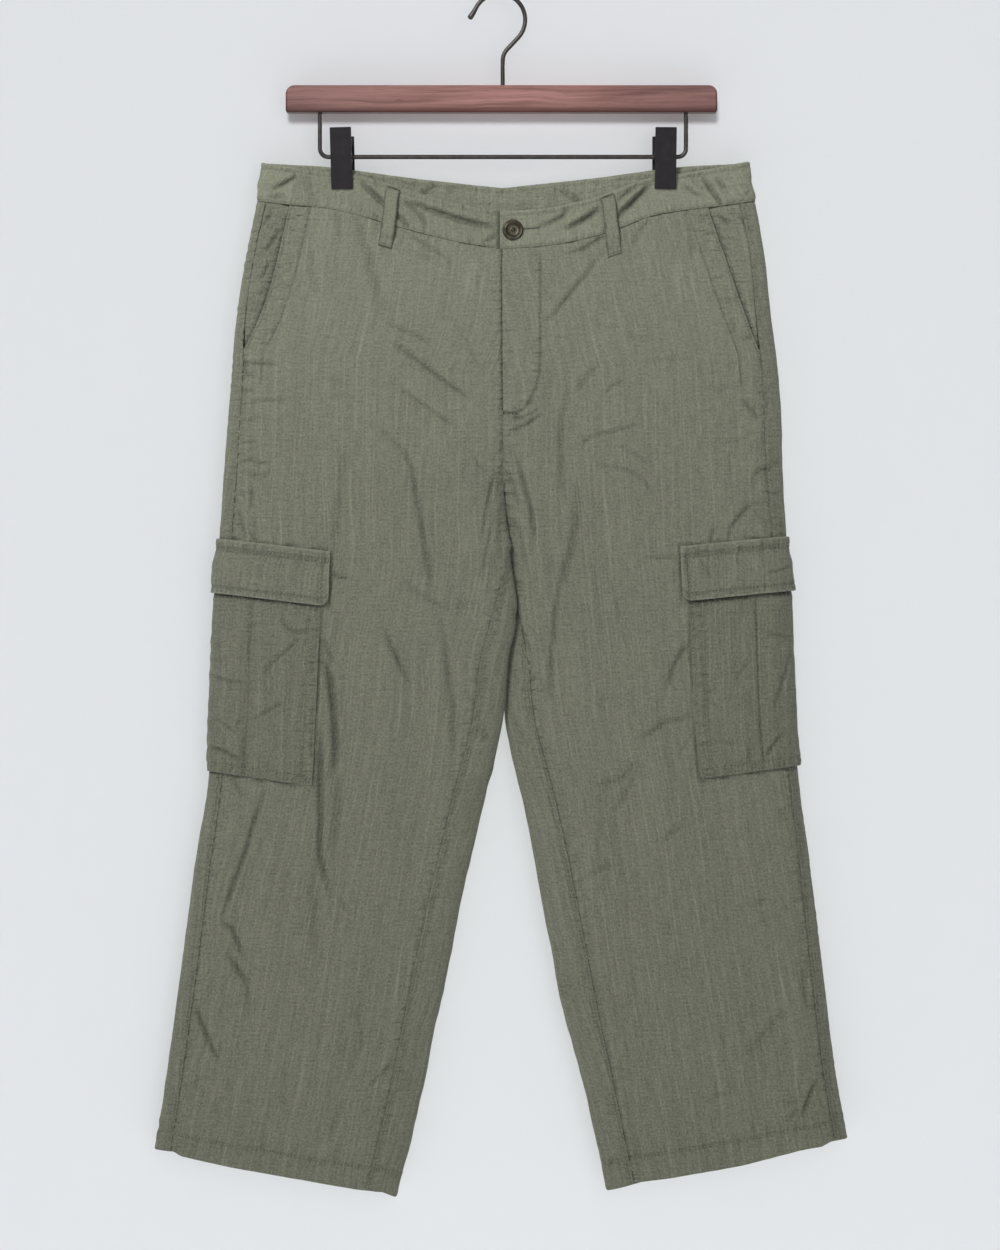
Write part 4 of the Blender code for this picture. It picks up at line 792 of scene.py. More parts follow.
def leg_layer(half: Half, around: Array, down: Array, lift: Array) -> Array:
    """Points of one half's cloth, moved out by `lift`.

    Args:
        half: the side of the trousers.
        around: places round it.
        down: shares of the drop.
        lift: distance out of the cloth.

    Returns:
        The points.
    """
    return half.skin(around, down) + half.outward(around, down) * np.asarray(lift)[..., None]


def grid_normals(points: Array) -> Array:
    """Direction that a grid faces, its columns running to the right and its rows down."""
    across = np.gradient(points, axis=1)
    along = np.gradient(points, axis=0)
    return unit(np.cross(along, across))


@dataclass
class Sheet:
    """A grid of cloth: `across` gives each point's place in its row, `downs` each row's.

    Columns run from left to right as seen from outside, unless `flipped`, when they run back.
    """

    across: Array
    downs: Array
    points: Array
    flipped: bool
    values: dict[str, Array]

    @property
    def normals(self) -> Array:
        """Direction out of the cloth at each point."""
        return grid_normals(self.points) * (-1 if self.flipped else 1)

    def cut(self) -> tuple[float, float, float]:
        """Greatest width, length and area of the cloth as it was cut, in metres."""
        wide = np.linalg.norm(np.diff(self.points, axis=1), axis=2).sum(axis=1).max()
        long = np.linalg.norm(np.diff(self.points, axis=0), axis=2).sum(axis=0).max()
        right, below = np.diff(self.points, axis=1)[:-1], np.diff(self.points, axis=0)[:, :-1]
        area = min(float(np.linalg.norm(np.cross(right, below), axis=2).sum()), 0.999 * wide * long)
        return round(float(wide), 4), round(float(long), 4), round(area, 6)

    def at(self, across: Array, down: Array) -> tuple[Array, Array]:
        """Points on the cloth and the directions out of it.

        Args:
            across: places across the rows.
            down: places down the columns, in the sheet's own measure.

        Returns:
            Points and unit directions, one a place.
        """
        across, down = np.broadcast_arrays(np.asarray(across, float), np.asarray(down, float))
        rows = np.interp(down, self.downs, np.arange(len(self.downs)))
        i = np.minimum(rows.astype(int), len(self.downs) - 2)
        t = (rows - i)[:, None]
        line = self.across[i] * (1 - t) + self.across[i + 1] * t
        j = np.clip((line <= across[:, None]).sum(axis=1) - 1, 0, line.shape[1] - 2)
        n = np.arange(len(j))
        s = ((across - line[n, j]) / (line[n, j + 1] - line[n, j]))[:, None]
        found = []
        for grid in (self.points, self.normals):
            upper = grid[i, j] * (1 - s) + grid[i, j + 1] * s
            lower = grid[i + 1, j] * (1 - s) + grid[i + 1, j + 1] * s
            found.append(upper * (1 - t) + lower * t)
        return found[0], unit(found[1])


def cloth_uv(points: Array, plumb: float) -> Array:
    """Cloth measure in metres: run along each row from its plumb column, and height.

    Args:
        points: the grid's points.
        plumb: share of the columns where the yarns run straight down.

    Returns:
        Two numbers a point.
    """
    steps = np.linalg.norm(np.diff(points, axis=1), axis=2)
    run = np.concatenate([np.zeros((len(points), 1)), np.cumsum(steps, axis=1)], axis=1)
    run -= run[:, [int(plumb * (points.shape[1] - 1))]]
    return np.stack([run, points[..., 2]], axis=-1)


def grid_mesh(name: str, points: Array, uv: Array, values: dict[str, Array]) -> bpy.types.Mesh:
    """Grid of faces laid on the points, with its UV map and point values.

    Args:
        name: the mesh's name.
        points: rows of points, columns running to the right as seen from outside.
        uv: cloth measure of each point.
        values: named numbers of each point, for the materials.

    Returns:
        The mesh, smooth shaded.
    """
    rows, columns = points.shape[0] - 1, points.shape[1] - 1
    bm = bmesh.new()
    bmesh.ops.create_grid(bm, x_segments=columns, y_segments=rows, size=0.5)
    mesh = bpy.data.meshes.new(name)
    bm.to_mesh(mesh)
    bm.free()
    flat = np.empty(3 * len(mesh.vertices))
    mesh.vertices.foreach_get("co", flat)
    place = flat.reshape(-1, 3)
    column = np.rint((place[:, 0] + 0.5) * columns).astype(int)
    row = np.rint((0.5 - place[:, 1]) * rows).astype(int)
    mesh.vertices.foreach_set("co", points[row, column].ravel())
    corners = np.empty(len(mesh.loops), dtype=np.int32)
    mesh.loops.foreach_get("vertex_index", corners)
    layer = mesh.uv_layers.new(name="cloth")
    layer.data.foreach_set("uv", uv[row, column][corners].ravel())
    for title, numbers in values.items():
        attribute = mesh.attributes.new(title, "FLOAT", "POINT")
        attribute.data.foreach_set("value", numbers[row, column].astype(np.float32))
    mesh.shade_smooth()
    mesh.update()
    return mesh


def add_piece(
    name: str, data: bpy.types.ID, material: bpy.types.Material, slot: str, *nodes: str
) -> bpy.types.Object:
    """Put a piece in the scene, riding with the hanger and standing for its CAD nodes.

    Args:
        name: the piece's name.
        data: its mesh.
        material: its finish.
        slot: the CAD material slot meant for the finish; not used.
        nodes: the CAD nodes that it stands for.

    Returns:
        The piece.
    """
    piece = bpy.data.objects.new(name, data)
    data.materials.append(material)
    bpy.context.scene.collection.objects.link(piece)
    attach(piece, "root")
    if nodes:
        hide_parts(*nodes)
    LOG.info("%s", name)
    return piece


@dataclass(frozen=True)
class Graph:
    """A material's nodes, with short ways to add the usual ones."""

    material: bpy.types.Material

    @classmethod
    def named(cls, name: str) -> "Graph":
        """New material with its shader ready."""
        material = bpy.data.materials.new(name)
        material.use_nodes = True
        return cls(material)

    @property
    def shader(self) -> bpy.types.Node:
        """The material's Principled shader."""
        return self.material.node_tree.nodes["Principled BSDF"]

    def node(self, kind: str, inputs: dict | None = None, **settings: object) -> bpy.types.Node:
        """Add a node; an input given as a socket is linked, any other is set.

        Args:
            kind: the node's type.
            inputs: values or sockets for its inputs.
            settings: its other properties.

        Returns:
            The node.
        """
        node = self.material.node_tree.nodes.new(kind)
        for key, value in settings.items():
            setattr(node, key, value)
        for key, value in (inputs or {}).items():
            if isinstance(value, bpy.types.NodeSocket):
                self.material.node_tree.links.new(value, node.inputs[key])
            else:
                node.inputs[key].default_value = value
        return node

    def join(self, source: bpy.types.NodeSocket, target: bpy.types.NodeSocket) -> None:
        """Link two sockets."""
        self.material.node_tree.links.new(source, target)

    def maths(self, operation: str, *values: object) -> bpy.types.NodeSocket:
        """Result of a Math node."""
        return self.node("ShaderNodeMath", dict(enumerate(values)), operation=operation).outputs[0]

    def scaled_sum(self, part: object, amount: object, base: object) -> bpy.types.NodeSocket:
        """The part times the amount, plus the base."""
        return self.maths("MULTIPLY_ADD", part, amount, base)

    def stretched(self, source: bpy.types.NodeSocket, scale: tuple) -> bpy.types.NodeSocket:
        """Coordinates scaled on each axis."""
        node = self.node("ShaderNodeMapping", {"Vector": source, "Scale": scale})
        return node.outputs[0]

    def noise(
        self, source: bpy.types.NodeSocket, scale: tuple, detail: float = 2.0, rough: float = 0.5
    ) -> bpy.types.NodeSocket:
        """Noise about 0, mostly between -0.5 and 0.5.

        Args:
            source: the coordinates.
            scale: cells a unit along each axis.
            detail: how many finer layers it has.
            rough: how strong each finer layer is.

        Returns:
            The noise.
        """
        place = self.stretched(source, scale)
        inputs = {"Vector": place, "Scale": 1.0, "Detail": detail, "Roughness": rough}
        node = self.node("ShaderNodeTexNoise", inputs)
        return self.maths("SUBTRACT", node.outputs[0], 0.5)

    def ramp(self, source: bpy.types.NodeSocket, *stops: tuple) -> bpy.types.NodeSocket:
        """Colours blended by a number: stops of (place, colour).

        Args:
            source: the number.
            stops: each colour and the number where it stands.

        Returns:
            The colour.
        """
        node = self.node("ShaderNodeValToRGB", {"Fac": source})
        stretch = node.color_ramp.elements
        while len(stretch) < len(stops):
            stretch.new(0.5)
        for element, (place, colour) in zip(stretch, stops):
            element.position = place
            element.color = (*colour, 1.0)
        return node.outputs[0]

    def blend(
        self,
        source: bpy.types.NodeSocket,
        low: float,
        high: float,
        first: float,
        last: float,
        way: str = "LINEAR",
    ) -> bpy.types.NodeSocket:
        """A number that goes from `first` to `last` as the source goes from `low` to `high`.

        Args:
            source: the number that it follows.
            low: where it starts to change.
            high: where it has changed.
            first: its value up to `low`.
            last: its value from `high` on.
            way: how it changes between.

        Returns:
            The number.
        """
        inputs = {"Value": source, 1: low, 2: high, 3: first, 4: last}
        return self.node("ShaderNodeMapRange", inputs, interpolation_type=way).outputs[0]

    def tinted(self, colour: object, amount: bpy.types.NodeSocket) -> bpy.types.NodeSocket:
        """A colour made brighter or darker by an amount about 1."""
        node = self.node("ShaderNodeVectorMath", {0: colour, "Scale": amount}, operation="SCALE")
        return node.outputs[0]

    def bump(self, height: bpy.types.NodeSocket, distance: float, strength: float = 1.0) -> None:
        """Let a height stand on the surface."""
        inputs = {"Height": height, "Distance": distance, "Strength": strength}
        node = self.node("ShaderNodeBump", inputs)
        self.join(node.outputs[0], self.shader.inputs["Normal"])

    def finish(self, **inputs: float) -> bpy.types.Material:
        """Set the shader's plain numbers and hand over the material."""
        for key, value in inputs.items():
            self.shader.inputs[key.replace("_", " ")].default_value = value
        return self.material


@dataclass(frozen=True)
class CanvasFinish:
    """Grey-green slub cotton: crossed yarns, thick yarns running down it, soft patches faded by washing,
    painted light that pales it higher up, and painted shade from each point's values.
    """

    name: str = "slub_canvas"
    colour: tuple[float, float, float] = (0.1715, 0.179, 0.1347)
    yarn: float = 0.0036
    slub: float = 0.0088
    # Painted light: how fast the colour pales with height, and how much more it pales near the top.
    painted_light_slope: float = 0.18
    painted_top_light: float = 0.50
    roughness: float = 0.90
    sheen: float = 0.15
    line_width: float = 0.00095
    # Height where the painted light leaves the colour as it is, and height where its steeper part near the
    # top begins.
    middle_z: float = -0.62
    painted_top_light_z: float = -0.48

    def stripes(
        self, graph: Graph, uv: bpy.types.NodeSocket, spacing: float, offset: float
    ) -> bpy.types.NodeSocket:
        """Thin pale lines down the cloth, unevenly spaced, that fade in and out along their length.

        Args:
            graph: the canvas's nodes.
            uv: cloth measure, in metres.
            spacing: usual distance from line to line.
            offset: where the first line falls, in spacings.

        Returns:
            How strong a line is at each place.
        """
        sway = graph.noise(uv, (45.0, 5.0, 1.0), 1.0)
        spaced = graph.stretched(uv, (1 / spacing, 1.0, 1.0))
        across = graph.node("ShaderNodeSeparateXYZ", {0: spaced}).outputs[0]
        phase = graph.maths("FRACT", graph.scaled_sum(sway, 2.2, graph.maths("ADD", across, offset)))
        away = graph.maths("ABSOLUTE", graph.maths("SUBTRACT", phase, 0.5))
        line = graph.scaled_sum(away, -spacing / self.line_width, 1.0)
        lasting = graph.noise(uv, (1 / spacing, 14.0, 1.0), 1.0)
        lasting = graph.scaled_sum(lasting, 3.2, 0.55)
        line, lasting = (graph.maths("MAXIMUM", part, 0.0) for part in (line, lasting))
        return graph.maths("MULTIPLY", line, lasting)

    def material(self) -> bpy.types.Material:
        """The finish as a material."""
        graph = Graph.named(self.name)
        uv = graph.node("ShaderNodeUVMap", uv_map="cloth").outputs[0]
        yarn = 1 / self.yarn
        warp = graph.noise(uv, (yarn * 2.0, yarn / 5, 1.0), 2.0)
        weft = graph.noise(uv, (yarn / 3, yarn * 2.0, 1.0), 2.0)
        fibre = graph.noise(uv, (520.0, 520.0, 1.0), 2.0, 0.6)
        streak = graph.noise(uv, (310.0, 7.0, 1.0), 2.0)
        patch = graph.noise(uv, (32.0, 22.0, 1.0), 3.0, 0.55)
        close, wide = self.stripes(graph, uv, self.slub, 0.0), self.stripes(graph, uv, self.slub * 1.37, 4.3)
        ridge = graph.maths("ADD", close, wide)
        hollow, rungs, gathers, height = (
            graph.node("ShaderNodeAttribute", attribute_name=name).outputs["Fac"]
            for name in ("hollow", "rungs", "gathers", "height")
        )
        # Painted light: paler higher up and darker lower down, more steeply near the top, standing in for
        # light that falls off down the garment.
        shade = graph.scaled_sum(height, self.painted_light_slope, 1.0 - self.middle_z * self.painted_light_slope)
        painted_top_light = graph.maths("MAXIMUM", graph.maths("SUBTRACT", height, self.painted_top_light_z), 0.0)
        shade = graph.scaled_sum(painted_top_light, self.painted_top_light, shade)
        # Painted shade from each point's value darkens the colour, and paints it lighter where the value is
        # below 0.
        for amount, part in (
            (0.48, warp), (0.44, weft), (0.20, ridge), (0.16, patch),
            (1.20, fibre), (0.32, streak), (-0.42, hollow),
        ):
            shade = graph.scaled_sum(part, amount, shade)
        graph.join(graph.tinted(self.colour, shade), graph.shader.inputs["Base Color"])
        across = graph.maths("MULTIPLY", graph.noise(uv, (60.0, 165.0, 1.0), 2.0), rungs)
        upright = graph.maths("MULTIPLY", graph.noise(uv, (165.0, 55.0, 1.0), 2.0), gathers)
        crinkle = graph.noise(uv, (42.0, 165.0, 1.0), 3.0, 0.6)
        crumple = graph.noise(uv, (85.0, 70.0, 1.0), 4.0, 0.65)
        relief = graph.maths("MULTIPLY", warp, 0.22)
        parts = (
            (0.24, weft), (0.50, fibre), (0.06, ridge), (1.9, crumple),
            (1.9, crinkle), (6.0, across), (5.0, upright),
        )
        for amount, part in parts:
            relief = graph.scaled_sum(part, amount, relief)
        graph.bump(relief, MM)
        rough = graph.scaled_sum(warp, 0.06, self.roughness)
        graph.join(rough, graph.shader.inputs["Roughness"])
        return graph.finish(Sheen_Weight=self.sheen, Sheen_Roughness=0.5, Specular_IOR_Level=0.25)


@dataclass(frozen=True)
class ThreadFinish:
    """Matt sewing thread, a shade off the cloth."""

    colour: tuple[float, float, float] = (0.225, 0.228, 0.176)

    def material(self) -> bpy.types.Material:
        """The finish as a material."""
        graph = Graph.named("sewing_thread")
        place = graph.node("ShaderNodeTexCoord").outputs["Object"]
        ply = graph.noise(place, (1800.0, 1800.0, 1800.0), 1.0)
        worn = graph.noise(place, (60.0, 60.0, 60.0), 2.0)
        shade = graph.scaled_sum(ply, 0.30, 1.0)
        shade = graph.scaled_sum(worn, 0.20, shade)
        graph.join(graph.tinted(self.colour, shade), graph.shader.inputs["Base Color"])
        graph.bump(ply, 0.0001, 0.7)
        return graph.finish(Roughness=0.75, Sheen_Weight=0.15, Specular_IOR_Level=0.3)


@dataclass(frozen=True)
class WoodFinish:
    """Red-brown stained hardwood, its grain along X, with painted shade on its rounded lower edge and its
    ends, and a painted highlight brightest at the middle of its length.
    """

    light: tuple[float, float, float] = (0.355, 0.176, 0.160)
    dark: tuple[float, float, float] = (0.170, 0.074, 0.063)
    # Painted shade: the dark red that the rounded lower edge is painted, and the heights over which it fades
    # out.
    edge: tuple[float, float, float] = (0.070, 0.017, 0.012)
    shaded_underside_z: tuple[float, float] = (-0.1052, -0.0980)
    # Middle of the bar and the reach to its ends, where painted shade begins; and the painted highlight
    # (sheen) as the colour's multiple at the middle and towards the ends.
    ends: tuple[float, float] = (0.0020, 0.1925)
    sheen: tuple[float, float] = (1.12, 0.74)

    def material(self) -> bpy.types.Material:
        """The finish as a material."""
        graph = Graph.named("stained_mahogany")
        place = graph.node("ShaderNodeTexCoord").outputs["Object"]
        sway = graph.noise(place, (14.0, 30.0, 30.0), 2.0)
        bent = graph.node("ShaderNodeCombineXYZ", {"Z": graph.maths("MULTIPLY", sway, 0.010)}).outputs[0]
        moved = graph.node("ShaderNodeVectorMath", {0: place, 1: bent}, operation="ADD").outputs[0]
        grain = graph.noise(moved, (9.0, 330.0, 330.0), 4.0, 0.6)
        pores = graph.noise(moved, (60.0, 1500.0, 1500.0), 1.0)
        pore = graph.maths("MAXIMUM", graph.maths("SUBTRACT", pores, 0.14), 0.0)
        broad = graph.noise(moved, (9.0, 40.0, 60.0), 1.0)
        tone = graph.scaled_sum(broad, 1.2, graph.scaled_sum(grain, 2.0, 0.55))
        tone = graph.scaled_sum(pore, -4.0, tone)
        wood = graph.ramp(tone, (0.15, self.dark), (0.85, self.light))
        # Painted shade: the rounded lower edge turns dark red.
        height = graph.node("ShaderNodeSeparateXYZ", {0: place}).outputs["Z"]
        low, high = self.shaded_underside_z
        rubbed_and_shaded = graph.blend(height, low, high, 0.95, 0.0, "SMOOTHSTEP")
        mixed = graph.node("ShaderNodeMix", {0: rubbed_and_shaded, 6: wood, 7: (*self.edge, 1.0)}, data_type="RGBA")
        # Painted shade on the ends, and a painted highlight brightest at the middle.
        middle, reach = self.ends
        along = graph.node("ShaderNodeSeparateXYZ", {0: place}).outputs["X"]
        off_middle = graph.maths("ABSOLUTE", graph.maths("SUBTRACT", along, middle))
        past = graph.maths("SUBTRACT", off_middle, reach)
        painted_end_shade = graph.blend(past, -0.0008, 0.0012, 1.0, 0.35)
        bright, dull = self.sheen
        sheen = graph.blend(off_middle, 0.02, reach, bright, dull, "SMOOTHSTEP")
        depth = graph.maths("MULTIPLY", painted_end_shade, sheen)
        graph.join(graph.tinted(mixed.outputs[2], depth), graph.shader.inputs["Base Color"])
        graph.bump(graph.scaled_sum(pore, -3.0, grain), 0.00012, 0.6)
        graph.join(graph.scaled_sum(grain, 0.25, 0.42), graph.shader.inputs["Roughness"])
        return graph.finish(Coat_Weight=0.10, Coat_Roughness=0.3, Specular_IOR_Level=0.3)


@dataclass(frozen=True)
class MetalFinish:
    """Coated or bare metal with a fine uneven skin and places lightly worn by rubbing."""

    name: str
    colour: tuple[float, float, float]
    rubbed_and_shaded: tuple[float, float, float]
    metallic: float
    roughness: float
    grain: float
    bump: float
    specular: float = 0.5

    def material(self) -> bpy.types.Material:
        """The finish as a material."""
        graph = Graph.named(self.name)
        place = graph.node("ShaderNodeTexCoord").outputs["Object"]
        fine = graph.noise(place, (self.grain,) * 3, 3.0, 0.6)
        broad = graph.noise(place, (140.0,) * 3, 3.0, 0.6)
        wear = graph.maths("ADD", graph.maths("MULTIPLY", broad, 1.3), 0.35)
        wear = graph.scaled_sum(fine, 0.5, wear)
        colour = graph.ramp(wear, (0.25, self.colour), (0.95, self.rubbed_and_shaded))
        graph.join(colour, graph.shader.inputs["Base Color"])
        graph.join(graph.scaled_sum(fine, 0.20, self.roughness), graph.shader.inputs["Roughness"])
        graph.bump(fine, self.bump, 0.6)
        return graph.finish(Metallic=self.metallic, Specular_IOR_Level=self.specular)


@dataclass(frozen=True)
class PlainFinish:
    """Pale painted wall or floor with a faint mottle."""

    name: str
    colour: tuple[float, float, float]
    one_sided: bool = False

    def material(self) -> bpy.types.Material:
        """The finish as a material."""
        graph = Graph.named(self.name)
        place = graph.node("ShaderNodeTexCoord").outputs["Object"]
        mottle = graph.noise(place, (60.0, 60.0, 60.0), 4.0, 0.6)
        shade = graph.scaled_sum(mottle, 0.012, 1.0)
        graph.join(graph.tinted(self.colour, shade), graph.shader.inputs["Base Color"])
        graph.bump(mottle, 0.0004, 0.25)
        if self.one_sided:
            behind = graph.node("ShaderNodeNewGeometry").outputs["Backfacing"]
            clear = graph.node("ShaderNodeBsdfTransparent").outputs[0]
            mixed = graph.node("ShaderNodeMixShader", {0: behind, 1: graph.shader.outputs[0], 2: clear})
            output = graph.material.node_tree.nodes["Material Output"]
            graph.join(mixed.outputs[0], output.inputs["Surface"])
        return graph.finish(Roughness=0.85, Specular_IOR_Level=0.2)


@dataclass(frozen=True)
class Finishes:
    """Every material of the scene."""

    canvas: bpy.types.Material
    # A lighter copy of the canvas, painting light on inner sides.
    inside: bpy.types.Material
    thread: bpy.types.Material
    wood: bpy.types.Material
    wire: bpy.types.Material
    clip: bpy.types.Material
    bronze: bpy.types.Material

    @classmethod
    def made(cls) -> "Finishes":
        """Make each finish once."""
        return cls(
            canvas=CanvasFinish().material(),
            # Painted light: the same canvas, lighter, for the band's inner side.
            inside=CanvasFinish("slub_canvas_painted_lighter", (0.196, 0.204, 0.154)).material(),
            thread=ThreadFinish().material(),
            wood=WoodFinish().material(),
            wire=MetalFinish(
                "dark_coated_wire", (0.050, 0.045, 0.043), (0.105, 0.095, 0.090), 0.55, 0.36, 900.0, 0.00005
            ).material(),
            clip=MetalFinish(
                "charcoal_clip_paint",
                (0.020, 0.018, 0.021), (0.032, 0.029, 0.033), 0.0, 0.70, 1600.0, 0.00008, 0.2,
            ).material(),
            bronze=MetalFinish(
                "antique_bronze", (0.040, 0.036, 0.025), (0.160, 0.142, 0.100), 0.80, 0.40, 700.0, 0.00006
            ).material(),
        )


@dataclass(frozen=True)
class Stitching:
    """Lockstitch rows: short thread grains laid end to end, each dipping at its ends."""

    pitch: float = 0.0031
    length: float = 0.0023
    thick: float = 0.00066
    sunk: float = 0.00002

    def row(self, points: Array, outs: Array, pitch: float = 0.0, thick: float = 1.0) -> list[tuple]:
        """Stitches along a run of points.

        Args:
            points: close points along the row.
            outs: direction out of the cloth at each.
            pitch: spacing, the usual one where 0.
            thick: how many times the usual thickness.

        Returns:
            Place, direction, outward direction, length and thickness of each stitch.
        """
        pitch = pitch or self.pitch
        run = np.concatenate([[0.0], np.cumsum(np.linalg.norm(np.diff(points, axis=0), axis=1))])
        count = max(1, int(run[-1] / pitch))
        middles = (np.arange(count) + 0.5) * run[-1] / count
        reach = self.length / 2 * pitch / self.pitch
        ends = (middles - reach, middles + reach)
        first, last = (np.stack([np.interp(end, run, points[:, k]) for k in range(3)], -1) for end in ends)
        out = unit(np.stack([np.interp(middles, run, outs[:, k]) for k in range(3)], -1))
        place = (first + last) / 2 + out * self.sunk
        lengths = np.linalg.norm(last - first, axis=1)
        return list(zip(place, unit(last - first), out, lengths, np.full(count, self.thick * thick)))

    def mesh(self, name: str, stitches: Sequence[tuple]) -> bpy.types.Mesh:
        """All the stitches as one mesh, each a stretched low sphere.

        Args:
            name: the mesh's name.
            stitches: rows as Stitching.row gives them.

        Returns:
            The mesh, smooth shaded.
        """
        bm = bmesh.new()
        bmesh.ops.create_uvsphere(bm, u_segments=4, v_segments=3, radius=0.5)
        bmesh.ops.triangulate(bm, faces=bm.faces)
        shape = np.array([vert.co for vert in bm.verts])
        corners = np.array([[vert.index for vert in face.verts] for face in bm.faces])
        bm.free()
        place, along, out, length, thick = (np.array(column) for column in zip(*stitches))
        side = unit(np.cross(out, along))
        up = np.cross(along, side)
        points = (
            place[:, None]
            + shape[None, :, 2:] * (along * length[:, None])[:, None]
            + shape[None, :, :1] * (side * thick[:, None])[:, None]
            + shape[None, :, 1:2] * (up * thick[:, None])[:, None]
        )
        faces = corners[None] + (np.arange(len(stitches)) * len(shape))[:, None, None]
        mesh = bpy.data.meshes.new(name)
        mesh.vertices.add(points.shape[0] * points.shape[1])
        mesh.vertices.foreach_set("co", points.ravel())
        mesh.loops.add(faces.size)
        mesh.loops.foreach_set("vertex_index", faces.ravel())
        mesh.polygons.add(faces.size // 3)
        mesh.polygons.foreach_set("loop_start", np.arange(0, faces.size, 3))
        mesh.update(calc_edges=True)
        mesh.validate()
        mesh.shade_smooth()
        bm = bmesh.new()
        bm.from_mesh(mesh)
        bmesh.ops.recalc_face_normals(bm, faces=bm.faces)
        bm.to_mesh(mesh)
        bm.free()
        return mesh


STITCHING = Stitching()


def sewn(
    sheet: Sheet, across: Array | float, down: Array | float, pitch: float = 0.0, thick: float = 1.0
) -> list[tuple]:
    """Stitches of one row on a sheet of cloth.

    Args:
        sheet: the cloth.
        across: places across its rows.
        down: places down its columns.
        pitch: spacing, the usual one where 0.
        thick: how many times the usual thickness.

    Returns:
        The row's stitches, as Stitching.row gives them.
    """
    return STITCHING.row(*sheet.at(across, down), pitch, thick)


@dataclass
class Seamster:
    """Cuts cloth sheets into pieces and gathers the stitches of each."""

    finishes: Finishes

    def piece(
        self,
        name: str,
        sheet: Sheet,
        wall: float,
        plumb: float,
        rests_on: Sequence[str],
        inside_painted_lighter: bool = False,
    ) -> bpy.types.Object:
        """Closed sheet of cloth with its own wall.

        Args:
            name: the CAD node that it stands for.
            sheet: its outer face.
            wall: thickness.
            plumb: share of the columns where the yarns run straight down.
            rests_on: what it hangs from or lies on; not used.
            inside_painted_lighter: whether its inner side shows, in a lighter copy of the canvas that paints
                light on it.

        Returns:
            The piece.
        """
        order = slice(None, None, -1) if sheet.flipped else slice(None)
        points = sheet.points[:, order]
        values = {key: numbers[:, order] for key, numbers in sheet.values.items()}
        # Each point's height, for the canvas's painted light that pales it higher up.
        values["height"] = points[..., 2]
        mesh = grid_mesh(name, points, cloth_uv(points, plumb), values)
        piece = add_piece(f"{name}_cloth", mesh, self.finishes.canvas, "canvas", name)
        shell = piece.modifiers.new("cloth thickness", "SOLIDIFY")
        shell.thickness = wall
        shell.offset = -1.0
        # Painted light: the inner side takes the lighter copy of the canvas.
        if inside_painted_lighter:
            mesh.materials.append(self.finishes.inside)
            shell.material_offset = 1
        return piece

    def sew(self, name: str, stitches: Sequence[tuple]) -> bpy.types.Object:
        """The stitches as one thread piece."""
        return add_piece(name, STITCHING.mesh(name, stitches), self.finishes.thread, "canvas")


def edge_roll(away: Array, radius: float = 0.0009, depth: float = 0.0009) -> Array:
    """How far a folded edge rolls in, by distance from the edge."""
    return -depth * (1 - quarter_round(away / radius))


def stitch_dip(away: Array, width: float = 0.0010, depth: float = 0.00050) -> Array:
    """The shallow line that stitches pull into the cloth."""
    return -depth * hump(away / width)


def painted_edge_highlight(*edges: Array) -> Array:
    """Painted highlight along folded edges: how much paler the colour is painted, by distance from each
    edge.
    """
    return 0.40 * np.maximum.reduce([hump((away - 0.0004) / 0.0010) for away in edges])


def sewn_shade(*rows: Array) -> Array:
    """Painted shade along stitch rows, where the stitches pull the cloth in: how much, by distance from each
    row.
    """
    return 0.36 * np.maximum.reduce([hump(away / 0.0010) for away in rows])


class Patch(NamedTuple):
    """Cargo pocket or flap on the leg's side: insets from the side fold, drops at the fold."""

    front: float
    back: float
    top: float
    bottom: float
    slope: float


@dataclass(frozen=True)
class CargoSet:
    """A leg's pocket and the flap over it."""

    half: Half
    pocket: Patch
    flap: Patch

    def inside(self, inset: Array, down: Array, margin: float) -> Array:
        """1 under the pocket or its flap, 0 away from them, by inset to the front and drop.

        Args:
            inset: places in from the side fold, on the front.
            down: shares of the drop.
            margin: how far past the edges it still counts.

        Returns:
            How fully each place is covered.
        """
        drop = down * self.half.length
        covered = np.zeros_like(inset)
        for patch in (self.pocket, self.flap):
            low, high = patch.top + patch.slope * inset, patch.bottom + patch.slope * inset
            edges = (patch.front - inset, inset - patch.back, drop - low, high - drop)
            depth = np.minimum.reduce(edges) + margin
            covered = np.maximum(covered, ease(depth / 0.004))
        return covered


CARGO_SETS = {
    "right": CargoSet(
        RIGHT, Patch(0.0945, -0.050, 0.342, 0.512, 0.100), Patch(0.1010, -0.054, 0.303, 0.352, 0.115)
    ),
    "left": CargoSet(
        LEFT, Patch(0.0895, -0.050, 0.340, 0.507, 0.100), Patch(0.0960, -0.054, 0.301, 0.350, 0.095)
    ),
}


@dataclass
class Relief:
    """What is done to a sheet's plain surface: its height, its painted shade (a painted highlight where
    below 0), and how it ruckles.
    """

    height: Array
    hollow: Array
    rungs: Array | float = 0.0
    gathers: Array | float = 0.0

    def darken(self, *shades: Array) -> None:
        """Keep the darkest painted shade at each place."""
        for shade in shades:
            self.hollow = np.maximum(self.hollow, shade)

    def pale(self, amount: Array | float) -> None:
        """Take some of the painted shade away; past 0 it paints a highlight."""
        self.hollow = self.hollow - amount

    def ruckle(self, *rungs: Array) -> None:
        """Keep the strongest ruckles across a seam at each place."""
        for rung in rungs:
            self.rungs = np.maximum(self.rungs, rung)

    def values(self) -> dict[str, Array]:
        """The point values that the canvas is shaded by."""
        blank = np.zeros_like(self.height)
        return {"hollow": blank + self.hollow, "rungs": blank + self.rungs, "gathers": blank + self.gathers}


